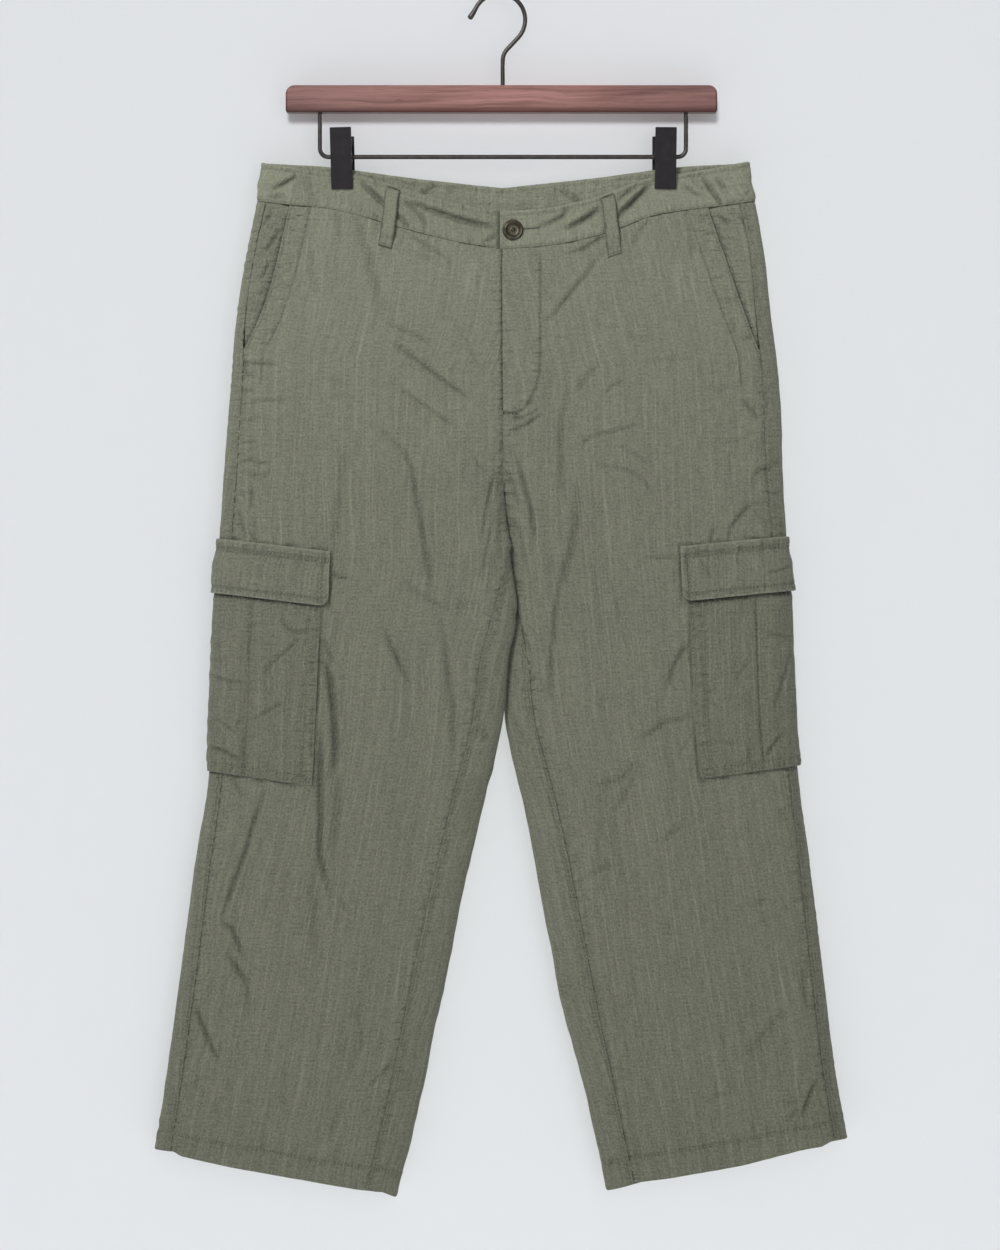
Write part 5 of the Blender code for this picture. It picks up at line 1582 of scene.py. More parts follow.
def cloth_relief(x: Array, z: Array, face: Face) -> tuple[Array, Array]:
    """Creases of one face of the garment, and its soft unevenness, as heights.

    Args:
        x: places across.
        z: heights.
        face: front or back.

    Returns:
        The creases' height and the unevenness's.
    """
    creases = FRONT_CREASES if face is Face.FRONT else BACK_CREASES
    seed = 11 if face is Face.FRONT else 23
    uneven = 0.00055 * ripples(x, z, seed, 0.030, 0.090, 1.8)
    uneven += 0.00024 * ripples(x, z, seed + 1, 0.012, 0.024, 1.3)
    return CREASE_RISE * crease_heights(creases, x, z), uneven


@dataclass(frozen=True)
class PanelGrid:
    """Points of a leg panel, with their distances from its seams, its hem and the hip pocket."""

    half: Half
    face: Face
    across: Array
    down: Array
    points: Array

    @property
    def seed(self) -> int:
        """First of the panel's own seeds."""
        return 31 + 7 * self.half.sign + self.face.value

    @property
    def x(self) -> Array:
        """Places across, as seen from the front."""
        return self.points[..., 0]

    @property
    def z(self) -> Array:
        """Heights."""
        return self.points[..., 2]

    @property
    def drop(self) -> Array:
        """Distance down from the waist seam."""
        return self.down * self.half.length

    @property
    def rise(self) -> Array:
        """Distance up from the hem's edge."""
        return (1 - self.down) * self.half.length

    @property
    def side_away(self) -> Array:
        """Distance from the side seam, above 0 on the back panel."""
        return self.across + self.half.column("side_seam", self.down)

    @property
    def inner_away(self) -> Array:
        """Distance past the inner seam, below 0 on the panel itself."""
        width, wrap = self.half.width(self.down), self.half.wrap(self.down)
        return self.across - (width + wrap) if self.face is Face.BACK else -self.across - (width - wrap)

    @property
    def mouth_away(self) -> Array:
        """Distance in from the hip pocket's mouth."""
        return np.abs(self.across) - self.half.mouth_inset(self.down)

    @property
    def open_mouth(self) -> Array:
        """True where the hip pocket's mouth is open, on the front panel."""
        clear = self.half.mouth_inset(self.down) > self.half.column("side_seam", self.down)
        return clear & (self.down < MOUTH_END) & (self.face is Face.FRONT)


@dataclass
class LegPanels:
    """The four long panels, front and back of each leg, with their seams, hems and stitching."""

    seamster: Seamster
    front_columns: int = 152
    back_columns: int = 124
    front_rows: int = 318
    back_rows: int = 206
    hem: float = 0.018
    tuck: float = 0.0018
    under: float = 0.0006
    over: float = 0.0004
    mouth_lift: float = 0.0022
    mouth_underlap: float = 0.010
    mouth_row: float = 0.0019
    bag_row: float = 0.019
    bag_end: float = 0.165
    seam_rows: tuple[float, float] = (0.0011, 0.0042)
    seat_rows: tuple[float, float] = (0.0014, 0.0048)
    fly_end: float = -0.377
    fly_wide: float = 0.0345
    fly_edge_row: float = 0.0046

    def rows(self, half: Half, count: int) -> Array:
        """Drops of a panel's rows, close at the waist, the fly's end, the hem's stitches and edge."""
        length = half.length
        places = (
            (0.0, 0.006, 2.5), (0.171, 0.012, 0.9), (length - self.hem, 0.0014, 3.0), (length, 0.0016, 4.0),
        )
        return crowded(0.00003, length, count, places) / length

    def edges(self, half: Half, face: Face, down: float) -> tuple[float, float]:
        """First and last place of a panel's row, front of the side fold below 0.

        Args:
            half: the leg.
            face: front or back panel.
            down: share of the drop.

        Returns:
            The two places.
        """
        width, seam = float(half.width(down)), float(half.column("side_seam", down))
        wrap = float(half.wrap(down))
        if face is Face.BACK:
            return -seam, width + wrap - (0.00006 if wrap == 0 else 0.0)
        mouth = float(half.mouth_inset(down)) if down < MOUTH_END else 0.0
        inner = width - 0.00006 if wrap == 0 else width - wrap + self.tuck * min(1.0, wrap / 0.004)
        return -inner, -(mouth if mouth > seam else seam - self.tuck)

    def columns(self, half: Half, face: Face, down: float) -> Array:
        """Places of one row's points, close at its edges, its stitches and the folds it rounds.

        Args:
            half: the leg.
            face: front or back panel.
            down: share of the drop.

        Returns:
            The places, from first to last.
        """
        first, last = self.edges(half, face, down)
        width = float(half.width(down))
        if face is Face.BACK:
            places = (
                (first, 0.0012, 5.0), (first + 0.0042, 0.001, 1.5), (0.0, 0.003, 9.0),
                (width, 0.003, 9.0 * min(1.0, float(half.wrap(down)) / 0.01)), (last, 0.0012, 5.0),
            )
            return crowded(first, last, self.back_columns, places)
        bag_row = -float(half.mouth_inset(down)) - self.bag_row
        places = (
            (first, 0.0014, 4.0), (last, 0.0014, 4.0), (bag_row, 0.0016, 2.5),
            (first + self.fly_wide, 0.0022, 3.0), (first + 0.018, 0.016, 0.7), (-0.097, 0.006, 0.9),
        )
        return crowded(first, last, self.front_columns, places)

    def cloth(self, grid: PanelGrid) -> Relief:
        """Creases and unevenness, the puckers along seams and hem, and the hem's turned edge, with painted
        shade in the creases, along the hem's row and in a ring round each cargo pocket and flap.
        """
        half, across, down = grid.half, grid.across, grid.down
        front_share = ease(0.5 - across / 0.014)
        past_inner = ease(0.5 + (across - half.width(down)) / 0.014) * (down > CROTCH)
        front_share = np.maximum(front_share, past_inner)
        front, back = (cloth_relief(grid.x, grid.z, face) for face in Face)
        creases, uneven = (a * front_share + b * (1 - front_share) for a, b in zip(front, back))
        by_mouth = np.where(grid.open_mouth, 0.4, 1.0)
        by_fly = np.where((down < CROTCH) & (grid.face is Face.FRONT), 0.25, 1.0)
        hem_away, seed = grid.rise - self.hem, grid.seed
        pucker = 0.00065 * puckers(grid.side_away, grid.drop, seed, 0.009) * by_mouth
        pucker += 0.00042 * puckers(grid.inner_away, grid.drop, seed + 2, 0.009, (0.007, 0.017)) * by_fly
        pucker += 0.00034 * puckers(grid.drop, np.abs(across), seed + 3, 0.010, (0.006, 0.015))
        pucker += 0.00036 * puckers(hem_away, across + grid.rise * 0.8, seed + 4, 0.012, (0.007, 0.016))
        covered, rim = (CARGO_SETS[half.name].inside(-across, down, margin) for margin in (0.002, 0.0032))
        height = (creases + uneven) * (1 - 0.4 * hump(across / 0.006)) + pucker
        height = height * (1 - 0.92 * covered) * ease(grid.drop / 0.005)
        height += edge_roll(grid.rise, 0.0010, 0.0008) + stitch_dip(hem_away)
        height += 0.00035 * ease((0.001 - hem_away) / 0.002) - 0.0003 * (1 - ease(grid.drop / 0.0022))
        # Painted shade in the creases' troughs.
        relief = Relief(height, 0.86 * np.clip(-creases / 0.0028, 0, 1))
        # Painted shade along the hem's stitch row, and a painted shadow ring round the cargo pocket's and
        # flap's edges.
        relief.darken(1.5 * sewn_shade(hem_away), 3.4 * rim * (1 - rim))
        relief.ruckle(hump(grid.side_away / 0.009) * np.where(grid.open_mouth, 0.5, 1.0))
        relief.ruckle(hump(grid.inner_away / 0.009))
        relief.gathers = np.maximum(0.7 * hump(grid.drop / 0.010), hump(hem_away / 0.011))
        return relief

    def lapping_seams(self, grid: PanelGrid, relief: Relief) -> None:
        """Folded edges of a back panel that lie over the front one, each sewn down twice, with painted shade
        along both rows and a painted shadow line at the folded edge.
        """
        wrapped = np.where(grid.half.wrap(grid.down) > 0, 1.0, 0.0)
        for away, there in ((grid.side_away, 1.0), (-grid.inner_away, wrapped)):
            rows = [away - inset for inset in self.seam_rows]
            relief.height += there * (self.over * ease(1 - away / 0.007) + edge_roll(away, 0.0007, 0.0007))
            relief.height += there * sum(map(stitch_dip, rows))
            relief.darken(there * sewn_shade(*rows), there * 1.1 * hump(away / 0.0005))

    def tucked_seams(self, grid: PanelGrid, relief: Relief) -> None:
        """Edges of a front panel, lower where they run in under the back one, with painted shade there."""
        wrapped = np.clip(grid.half.wrap(grid.down) / 0.004, 0, 1)
        closed = np.where(grid.open_mouth, 0.0, 1.0)
        relief.height -= wrapped * self.under * ease(1 + (grid.inner_away + 0.0004) / 0.0016)
        relief.height -= closed * self.under * ease(1 + grid.side_away / 0.0016)
        relief.darken(0.5 * wrapped * hump((grid.inner_away - 0.0002) / 0.0010))
        relief.darken(0.5 * closed * hump(grid.side_away / 0.0010))

    def mouth(self, grid: PanelGrid, relief: Relief) -> None:
        """The hip pocket's rolled and stitched mouth, and the row that holds its bag, with painted shade
        along both rows and a painted highlight on the rolled edge.
        """
        away, opened = grid.mouth_away, np.where(grid.open_mouth, 1.0, 0.0)
        gaping = np.sin(math.pi * np.clip(grid.down / MOUTH_END, 0, 1))
        edge_row = away - self.mouth_row
        bag_row = np.where(grid.drop < self.bag_end, away - self.bag_row, 1.0)
        relief.height += self.mouth_lift * gaping * hump(away / self.mouth_underlap) + stitch_dip(bag_row)
        edge = edge_roll(away, 0.0010, 0.0010) + stitch_dip(edge_row)
        relief.height += opened * edge * ease(grid.drop / 0.004)
        relief.height += opened * 0.00045 * puckers(away - 0.010, grid.drop, grid.seed + 5, 0.010)
        relief.ruckle(0.8 * opened * ease((away + 0.001) / 0.002) * ease((0.024 - away) / 0.006))
        relief.darken(2.0 * sewn_shade(bag_row, np.where(grid.open_mouth, edge_row, 1.0)))
        relief.pale(opened * painted_edge_highlight(away))

    def fly(self, grid: PanelGrid, relief: Relief) -> None:
        """The fly's lapping edge, its curved row of stitches, the bar tack and the seam below, with painted
        shade along the row and tack, a painted highlight and a painted shadow line at the lapping edge, and
        painted shade beside it on the other half.
        """
        centre = np.abs(grid.x - CENTRE)
        meeting = grid.half.wrap(grid.down) <= 0
        on_fly = ease((grid.z - self.fly_end) / 0.006)
        if grid.half is LEFT:
            row = line_distance(FLY_STITCH, grid.x, grid.z)
            tack = np.hypot(np.maximum(np.abs(grid.x - 0.0095) - 0.0068, 0.0), grid.z + 0.3768)
            relief.height += on_fly * (0.0012 * ease(1 - centre / 0.030) + edge_roll(centre, 0.0010, 0.0011))
            relief.height += stitch_dip(row, 0.0013, 0.0007) + stitch_dip(tack, 0.0012, 0.0008)
            relief.height += 0.00035 * puckers(row, grid.z, grid.seed + 6, 0.009)
            # Painted shade along the curved row and the bar tack; then a painted highlight and a painted
            # shadow line at the lapping edge.
            relief.darken(0.9 * hump(row / 0.0012), 2.0 * hump(tack / 0.0012))
            relief.pale(on_fly * painted_edge_highlight(centre))
            relief.darken(1.2 * on_fly * hump(centre / 0.0005))
            relief.ruckle(0.9 * hump(row / 0.008))
        else:
            relief.height -= on_fly * 0.0005 * ease(1 - centre / 0.004)
            relief.height -= (grid.down < CROTCH) * meeting * (CLOTH + GAP) * ease(1 - centre / 0.0022)
            # Painted shade beside the fly's edge, where the other half laps over.
            relief.darken(0.8 * on_fly * hump(centre / 0.0020))
        seamed = (1 - on_fly) * meeting
        relief.height += seamed * (stitch_dip(centre - 0.0012) + edge_roll(centre, 0.0008, 0.0005))
        relief.ruckle(0.8 * seamed * hump(centre / 0.007))

    def sheet(self, half: Half, face: Face) -> Sheet:
        """One panel's cloth.

        Args:
            half: the leg.
            face: front or back panel.

        Returns:
            The sheet.
        """
        downs = self.rows(half, self.front_rows if face is Face.FRONT else self.back_rows)
        across = np.array([self.columns(half, face, down) for down in downs])
        down = np.repeat(downs[:, None], across.shape[1], axis=1)
        around = across / half.width(down)
        grid = PanelGrid(half, face, across, down, half.skin(around, down))
        relief = self.cloth(grid)
        if face is Face.BACK:
            self.lapping_seams(grid, relief)
        else:
            self.tucked_seams(grid, relief)
            self.mouth(grid, relief)
            self.fly(grid, relief)
        points = leg_layer(half, around, down, relief.height)
        rises = np.array(HEM_RISES[half.name], float) * MM
        points[..., 2] += np.interp(points[..., 0], rises[:, 0], rises[:, 1]) * ease((down - 0.955) / 0.045)
        edge = 1 - np.abs(1 - np.abs(around))
        meeting = ease((down - 0.20) / 0.06) * (1 - ease((down - 0.37) / 0.03))
        points[..., 0] -= half.sign * 0.0009 * meeting * ease((edge - 0.97) / 0.03)
        if half is RIGHT and face is Face.FRONT:
            points[..., 0] += 0.0014 * (down < CROTCH) * ease(1 - np.abs(grid.x - CENTRE) / 0.003)
        return Sheet(across, downs, points, half is RIGHT, relief.values())

    def stitches(self, half: Half, face: Face, sheet: Sheet) -> list[tuple]:
        """Every stitch that is sewn on one panel.

        Args:
            half: the leg.
            face: front or back panel.
            sheet: the panel's cloth.

        Returns:
            The stitches.
        """
        downs = np.linspace(0.0, 1.0, 900)
        width, seam, wrap = half.width(downs), half.column("side_seam", downs), half.wrap(downs)
        hem = 1 - self.hem / half.length
        first, last = self.edges(half, face, hem)
        found = sewn(sheet, np.linspace(first + 0.001, last - 0.001, 400), hem)
        if face is Face.BACK:
            lower, upper = wrap > 0.006, downs < CROTCH
            for inset in self.seam_rows:
                found += sewn(sheet, -seam + inset, downs)
                found += sewn(sheet, (width + wrap - inset)[lower], downs[lower])
            for inset in self.seat_rows if half is LEFT else ():
                found += sewn(sheet, (width - inset)[upper], downs[upper])
            return found
        mouth = downs[(half.mouth_inset(downs) > seam) & (downs < MOUTH_END)]
        found += sewn(sheet, -(half.mouth_inset(mouth) + self.mouth_row), mouth)
        inset, down = half.locate(Face.FRONT, HIP_STITCH[half.name])
        found += sewn(sheet, -inset, down)
        height = half.skin(-1.0, downs)[:, 2]
        below_fly = downs[(height < self.fly_end - 0.003) & (downs < CROTCH)]
        found += sewn(sheet, -(half.width(below_fly) - self.seat_rows[0]), below_fly)
        if half is LEFT:
            inset, down = half.locate(Face.FRONT, FLY_STITCH)
            found += sewn(sheet, -inset, down)
            beside_fly = downs[height > self.fly_end + 0.003]
            found += sewn(sheet, -(half.width(beside_fly) - self.fly_edge_row), beside_fly)
        return found

    def build(self) -> None:
        """Make the panels."""
        for half in (RIGHT, LEFT):
            for face in Face:
                name = f"{face.name.lower()}_panel_{half.name}"
                sheet = self.sheet(half, face)
                self.seamster.piece(name, sheet, CLOTH, 0.5, FRONT_JAWS)
                self.seamster.sew(f"{name}_stitches", self.stitches(half, face, sheet))


@dataclass
class HiddenCloth:
    """Pocket facings inside the slanted mouths, and the strip behind the fly."""

    seamster: Seamster
    facing_end: float = 0.158
    underlap: float = 0.010
    tuck: float = 0.0014
    shield_turns: tuple[float, float] = (-0.022, 0.150)
    shield_downs: tuple[float, float] = (0.003, 0.190)

    def facing(self, half: Half, darker: float) -> None:
        """Cloth inside a hip pocket's mouth, with painted shade near the mouth and in its creases, and
        `darker` more painted shade all over.
        """
        downs = np.linspace(GAP / half.length, self.facing_end, 76)
        down = downs[:, None]
        seam, mouth = half.column("side_seam", down), half.mouth_inset(down)
        first = seam - self.tuck
        inset = first + (mouth + self.underlap - first) * np.linspace(0, 1, 33)[::-1][None, :]
        down = np.broadcast_to(down, inset.shape)
        around = -inset / half.width(down)
        plain = half.skin(around, down)
        tuck = np.clip(1 - (mouth - inset) / self.underlap, 0, 1)
        run = down * half.length
        creases = 1.6 * crease_heights(FACING_CREASES, plain[..., 0], plain[..., 2]) * (1 - tuck)
        lift = -(CLOTH + 2 * GAP) * tuck - 0.0004 * ease(run / 0.03) * ease((inset - seam) / 0.004)
        lift += 0.0003 * puckers(inset - seam, run, 61 + half.sign, 0.008) * (1 - tuck)
        lift -= (CLOTH + GAP) * ease((seam + 0.0010 - inset) / (self.tuck + 0.0010))
        lift += np.minimum(creases, 0.0002)
        # Painted shade: near the mouth, fading out towards the top, and in the creases' troughs.
        shade = ease(1 - (mouth - inset) / 0.005) * ease(run / 0.02) + darker
        shade += np.clip(-creases / 0.0022, 0, 1)
        points = leg_layer(half, around, down, lift)
        sheet = Sheet(-inset, downs, points, half is RIGHT, Relief(lift, shade, 0.55).values())
        name = f"hip_pocket_facing_{half.name}"
        self.seamster.piece(name, sheet, CLOTH, 0.5, [f"front_panel_{half.name}"])

    def shield(self) -> None:
        """Strip behind the closed fly, evenly darkened by painted shade."""
        downs = np.linspace(*self.shield_downs, 60)
        turn, down = np.meshgrid(np.linspace(*self.shield_turns, 24), downs)
        lift = np.full(turn.shape, -(CLOTH + 3 * GAP))
        sheet = Sheet(turn, downs, turn_layer(turn, down, "skin", lift), False, Relief(lift, 0.5).values())
        self.seamster.piece("fly_shield", sheet, CLOTH * 0.8, 0.5, ["front_panel_left"])

    def build(self) -> None:
        """Make the facings and the strip."""
        # Painted shade: the right facing gets more, standing for light that falls from the left.
        self.facing(RIGHT, 0.32)
        self.facing(LEFT, 0.10)
        self.shield()


@dataclass(frozen=True)
class LoopPlace:
    """A belt loop's turn at its top, and how far its lower end leans on from there."""

    name: str
    turn: float
    lean: float


LOOP_PLACES = (
    LoopPlace("front_right", -0.448, -0.018),
    LoopPlace("front_left", 0.424, 0.012),
    LoopPlace("back_left", 1.480, 0.0),
    LoopPlace("back_centre", 2.026, 0.0),
    LoopPlace("back_right", 2.520, 0.0),
)
CLIP_TURNS = (-0.656, 0.665, 1.335, 2.656)


@dataclass
class Waistband:
    """The three lengths of waistband with their edge stitching, buttonhole and underlap."""

    seamster: Seamster
    rows: int = 30
    step_turns: tuple[float, float] = (-0.024, -0.009)
    lap_turn: float = -0.0085
    underlap_turn: float = 0.135
    join: float = 0.0002
    top_row: float = 0.0042
    seam_row: float = 0.0016
    slit_rise: float = 0.50
    slit_turns: tuple[float, float] = (0.075, 0.150)
    eye_turn: float = 0.043

    def relief(self, turn: Array, rise: Array, points: Array) -> Relief:
        """Creases, stitch dips and rolled edges of the band, with painted shade in the creases, along the
        rows, in the buttonhole's slit and along the lower edge, and painted light over the whole band.

        Args:
            turn: places round the body.
            rise: shares of the height from the waist seam to the top edge.
            points: the plain band's points.

        Returns:
            The height, and what the canvas is shaded by.
        """
        front = np.maximum(ease(0.5 + (1 - np.abs(turn)) / 0.05), ease(0.5 + (turn - 3) / 0.05))
        x, z = points[..., 0], points[..., 2]
        creases = crease_heights(BAND_CREASES, x, z) * front
        creases += crease_heights(BACK_BAND_CREASES, x, z) * (1 - front)
        up, below = rise * BAND_HEIGHT, (1 - rise) * BAND_HEIGHT
        run = np.where(front > 0.5, x, x + 3.0)
        creases = CREASE_RISE * creases
        total = creases + 0.00040 * ripples(run, z, 71, 0.018, 0.05)
        total += 0.00018 * ripples(run, z, 72, 0.009, 0.016)
        total += 0.00030 * puckers(up - 0.003, run, 73, 0.008, (0.006, 0.012)) * ease(up / 0.003)
        total += 0.00022 * puckers(below - self.top_row, run, 74, 0.006, (0.006, 0.012))
        for place in LOOP_PLACES:
            total *= 1 - 0.8 * hump((turn - place.turn - place.lean / 2) / 0.035)
        for clip in CLIP_TURNS:
            total *= 1 - 0.85 * hump((turn - clip) / 0.05) * ease((rise - 0.1) / 0.2)
        # Painted shade in the creases' troughs.
        hollow = np.clip(-creases / 0.0024, 0, 1) * 1.2
        total += stitch_dip(up - self.seam_row) + stitch_dip(below - self.top_row)
        total += edge_roll(below, 0.0012, 0.0012)
        total += edge_roll(up, 0.0030, 0.0004) + edge_roll(up, 0.0006, 0.0004)
        # Painted shade along the stitch rows.
        hollow = np.maximum(hollow, 1.7 * sewn_shade(up - self.seam_row, below - self.top_row))
        first, last = self.slit_turns
        slit = np.where((turn > first) & (turn < last), (rise - self.slit_rise) * BAND_HEIGHT, 1.0)
        total += stitch_dip(slit, 0.0008, 0.0009)
        # Painted shadow in the buttonhole's slit, and a painted shadow line along the band's lower edge.
        hollow = np.maximum(hollow, np.maximum(2.2 * hump(slit / 0.0008), 1.3 * hump(up / 0.0006)))
        # Painted highlight along the top edge, and painted light over the whole band, more on the front.
        hollow = hollow - painted_edge_highlight(below) - 0.14 - 0.18 * front
        gathers = np.maximum(0.8 * hump((up - 0.002) / 0.008), 0.7 * hump((below - self.top_row) / 0.006))
        return Relief(total, hollow, gathers=gathers)

    def sheet(self, low: float, high: float, columns: int, stepped: bool) -> Sheet:
        """A length of band between two turns.

        Args:
            low: first turn.
            high: last turn.
            columns: how many columns of faces it has.
            stepped: whether its far end runs on under the other front length.

        Returns:
            The cloth.
        """
        places = ((low, 0.006, 3.0), (high, 0.006, 3.0), (1.0, 0.02, 3.0), (3.0, 0.02, 3.0))
        turns = crowded(low, high, columns, places)
        ends = ((0.0, 0.0016, 2.0), (BAND_HEIGHT, 0.0016, 2.0))
        downs = crowded(0.00004, BAND_HEIGHT, self.rows, ends) / BAND_HEIGHT
        turn, down = np.meshgrid(turns, downs)
        rise = 1 - down
        relief = self.relief(turn, rise, on_turn(turn, rise, "band"))
        if stepped:
            tuck = ease((turn - self.step_turns[0]) / (self.step_turns[1] - self.step_turns[0]))
            relief.height = relief.height * (1 - tuck) - (BAND_WALL + 3 * GAP) * tuck
            # Painted shade where the band runs in under the other front length.
            relief.darken(tuck)
        if low == self.lap_turn:
            relief.height += edge_roll((turn - low) * BAND_SPAN, 0.0005, 0.0003)
        points = turn_layer(turn, rise, "band", relief.height + BAND_PROUD)
        return Sheet(turn, downs, points, False, relief.values())

    def stitches(self, sheet: Sheet, low: float, high: float) -> list[tuple]:
        """Rows along the top and the seam."""
        inset = 0.0016 / BAND_SPAN
        turns = np.linspace(low + inset, high - inset, 700)
        downs = (self.top_row / BAND_HEIGHT, 1 - self.seam_row / BAND_HEIGHT)
        return [stitch for down in downs for stitch in sewn(sheet, turns, down)]

    def front_end(self, sheet: Sheet) -> list[tuple]:
        """Row down the band's front end, and close stitches both sides of the buttonhole's slit."""
        found = sewn(sheet, self.lap_turn + 0.0030 / BAND_SPAN, np.linspace(0.1, 0.96, 80))
        turns = np.linspace(self.eye_turn, self.slit_turns[1], 60)
        for side in (-1, 1):
            found += sewn(sheet, turns, 1 - self.slit_rise + side * 0.028, 0.0011, 0.9)
        return found

    def build(self) -> None:
        """Make the three lengths."""
        lengths = {
            "waistband_front_right": (-RIGHT.band_join + self.join, self.underlap_turn, 170, True),
            "waistband_front_left": (self.lap_turn, LEFT.band_join - self.join, 150, False),
            "waistband_back": (LEFT.band_join + self.join, 4 - RIGHT.band_join - self.join, 320, False),
        }
        for name, (low, high, columns, stepped) in lengths.items():
            sheet = self.sheet(low, high, columns, stepped)
            # The back length's inner side is painted lighter.
            self.seamster.piece(name, sheet, BAND_WALL, 0.5, FRONT_JAWS, inside_painted_lighter=name == "waistband_back")
            found = self.stitches(sheet, low, self.step_turns[0] if stepped else high)
            if low == self.lap_turn:
                found += self.front_end(sheet)
            self.seamster.sew(f"{name}_stitches", found)


@dataclass
class BeltLoops:
    """Five strips sewn near the band's top and below its seam, standing clear of it between."""

    seamster: Seamster
    width: float = 0.0126
    columns: int = 16
    rows: int = 76
    stations: tuple = (
        (0.91, 0.0, BAND_PROUD + GAP), (0.84, 0.0, BAND_PROUD + GAP), (0.70, 0.0, 0.0030),
        (0.45, 0.0, 0.0036), (0.20, 0.0, 0.0036),
        (0.0, 0.006, 0.0028), (0.0, 0.016, GAP), (0.0, 0.0235, GAP),
    )
    length: float = 0.062
    tacks: tuple = (0.045, 0.065, 0.935, 0.955)

    def sheet(self, place: LoopPlace) -> Sheet:
        """One loop's outer face, with painted shade along its edges, ends and rows and across its bar tacks,
        and painted highlights beside them.
        """
        half_turn = self.width / 2 / float(LEFT.width(0.0))
        across = crowded(-1.0, 1.0, self.columns, ((-1.0, 0.2, 2.5), (1.0, 0.2, 2.5)))
        knots = np.arange(len(self.stations)) / (len(self.stations) - 1)
        controls = []
        for knot, (rise, drop, stand_off) in zip(knots, self.stations):
            turns = place.turn + place.lean * knot + half_turn * across
            surface, share = ("skin", drop / LEFT.length) if drop else ("band", rise)
            lift = np.full(turns.shape, stand_off + LOOP_WALL)
            controls.append(turn_layer(turns, np.full(turns.shape, share), surface, lift))
        controls = np.array(controls)
        downs = crowded(0.0, 1.0, self.rows, ((0.0, 0.03, 2.5), (1.0, 0.06, 3.0)))
        points = np.array(
            [[smooth_curve(knots, controls[:, j, k], downs) for k in range(3)] for j in range(len(across))]
        ).transpose(2, 0, 1)
        sheet = Sheet(np.tile(across, (len(downs), 1)), downs, points, False, {})
        side, run = np.meshgrid((1 - np.abs(across)) * self.width / 2, downs * self.length)
        end = np.minimum(run, self.length - run)
        lift = edge_roll(side, 0.0009, 0.0009) + stitch_dip(side - 0.0022, 0.0008, 0.0002)
        lift += edge_roll(end, 0.0010, 0.0010) - 0.0004 * hump((end - 0.003) / 0.0015)
        lift += 0.00016 * ripples(side, run, 90 + sum(map(ord, place.name)), 0.006, 0.02)
        sheet.points = points + sheet.normals * lift[..., None]
        # Painted shade along the edges and ends, across each end where the bar tacks pull it in, and along
        # the stitch rows; painted highlights beside the rows and tacks.
        rim = np.maximum(hump((side - 0.0005) / 0.0010), 1.2 * hump((end - 0.0006) / 0.0011))
        relief = Relief(lift, 1.2 * hump((end - 0.0034) / 0.0008))
        relief.darken(sewn_shade(side - 0.0022), 1.4 * rim)
        relief.pale(0.35 * np.maximum(hump((side - 0.0023) / 0.0007), hump((end - 0.0024) / 0.0007)) + 0.01)
        sheet.values = relief.values()
        return sheet

    def build(self) -> None:
        """Make the loops with their stitching and bar tacks."""
        for place in LOOP_PLACES:
            sheet = self.sheet(place)
            name = f"belt_loop_{place.name}"
            self.seamster.piece(name, sheet, LOOP_WALL, 0.5, ["waistband_back"])
            found = []
            for side in (-1, 1):
                found += sewn(sheet, side * 0.64, np.linspace(0.02, 0.98, 90))
            for down in self.tacks:
                found += sewn(sheet, np.linspace(-0.85, 0.85, 30), down, 0.0011, 1.1)
            self.seamster.sew(f"{name}_stitches", found)


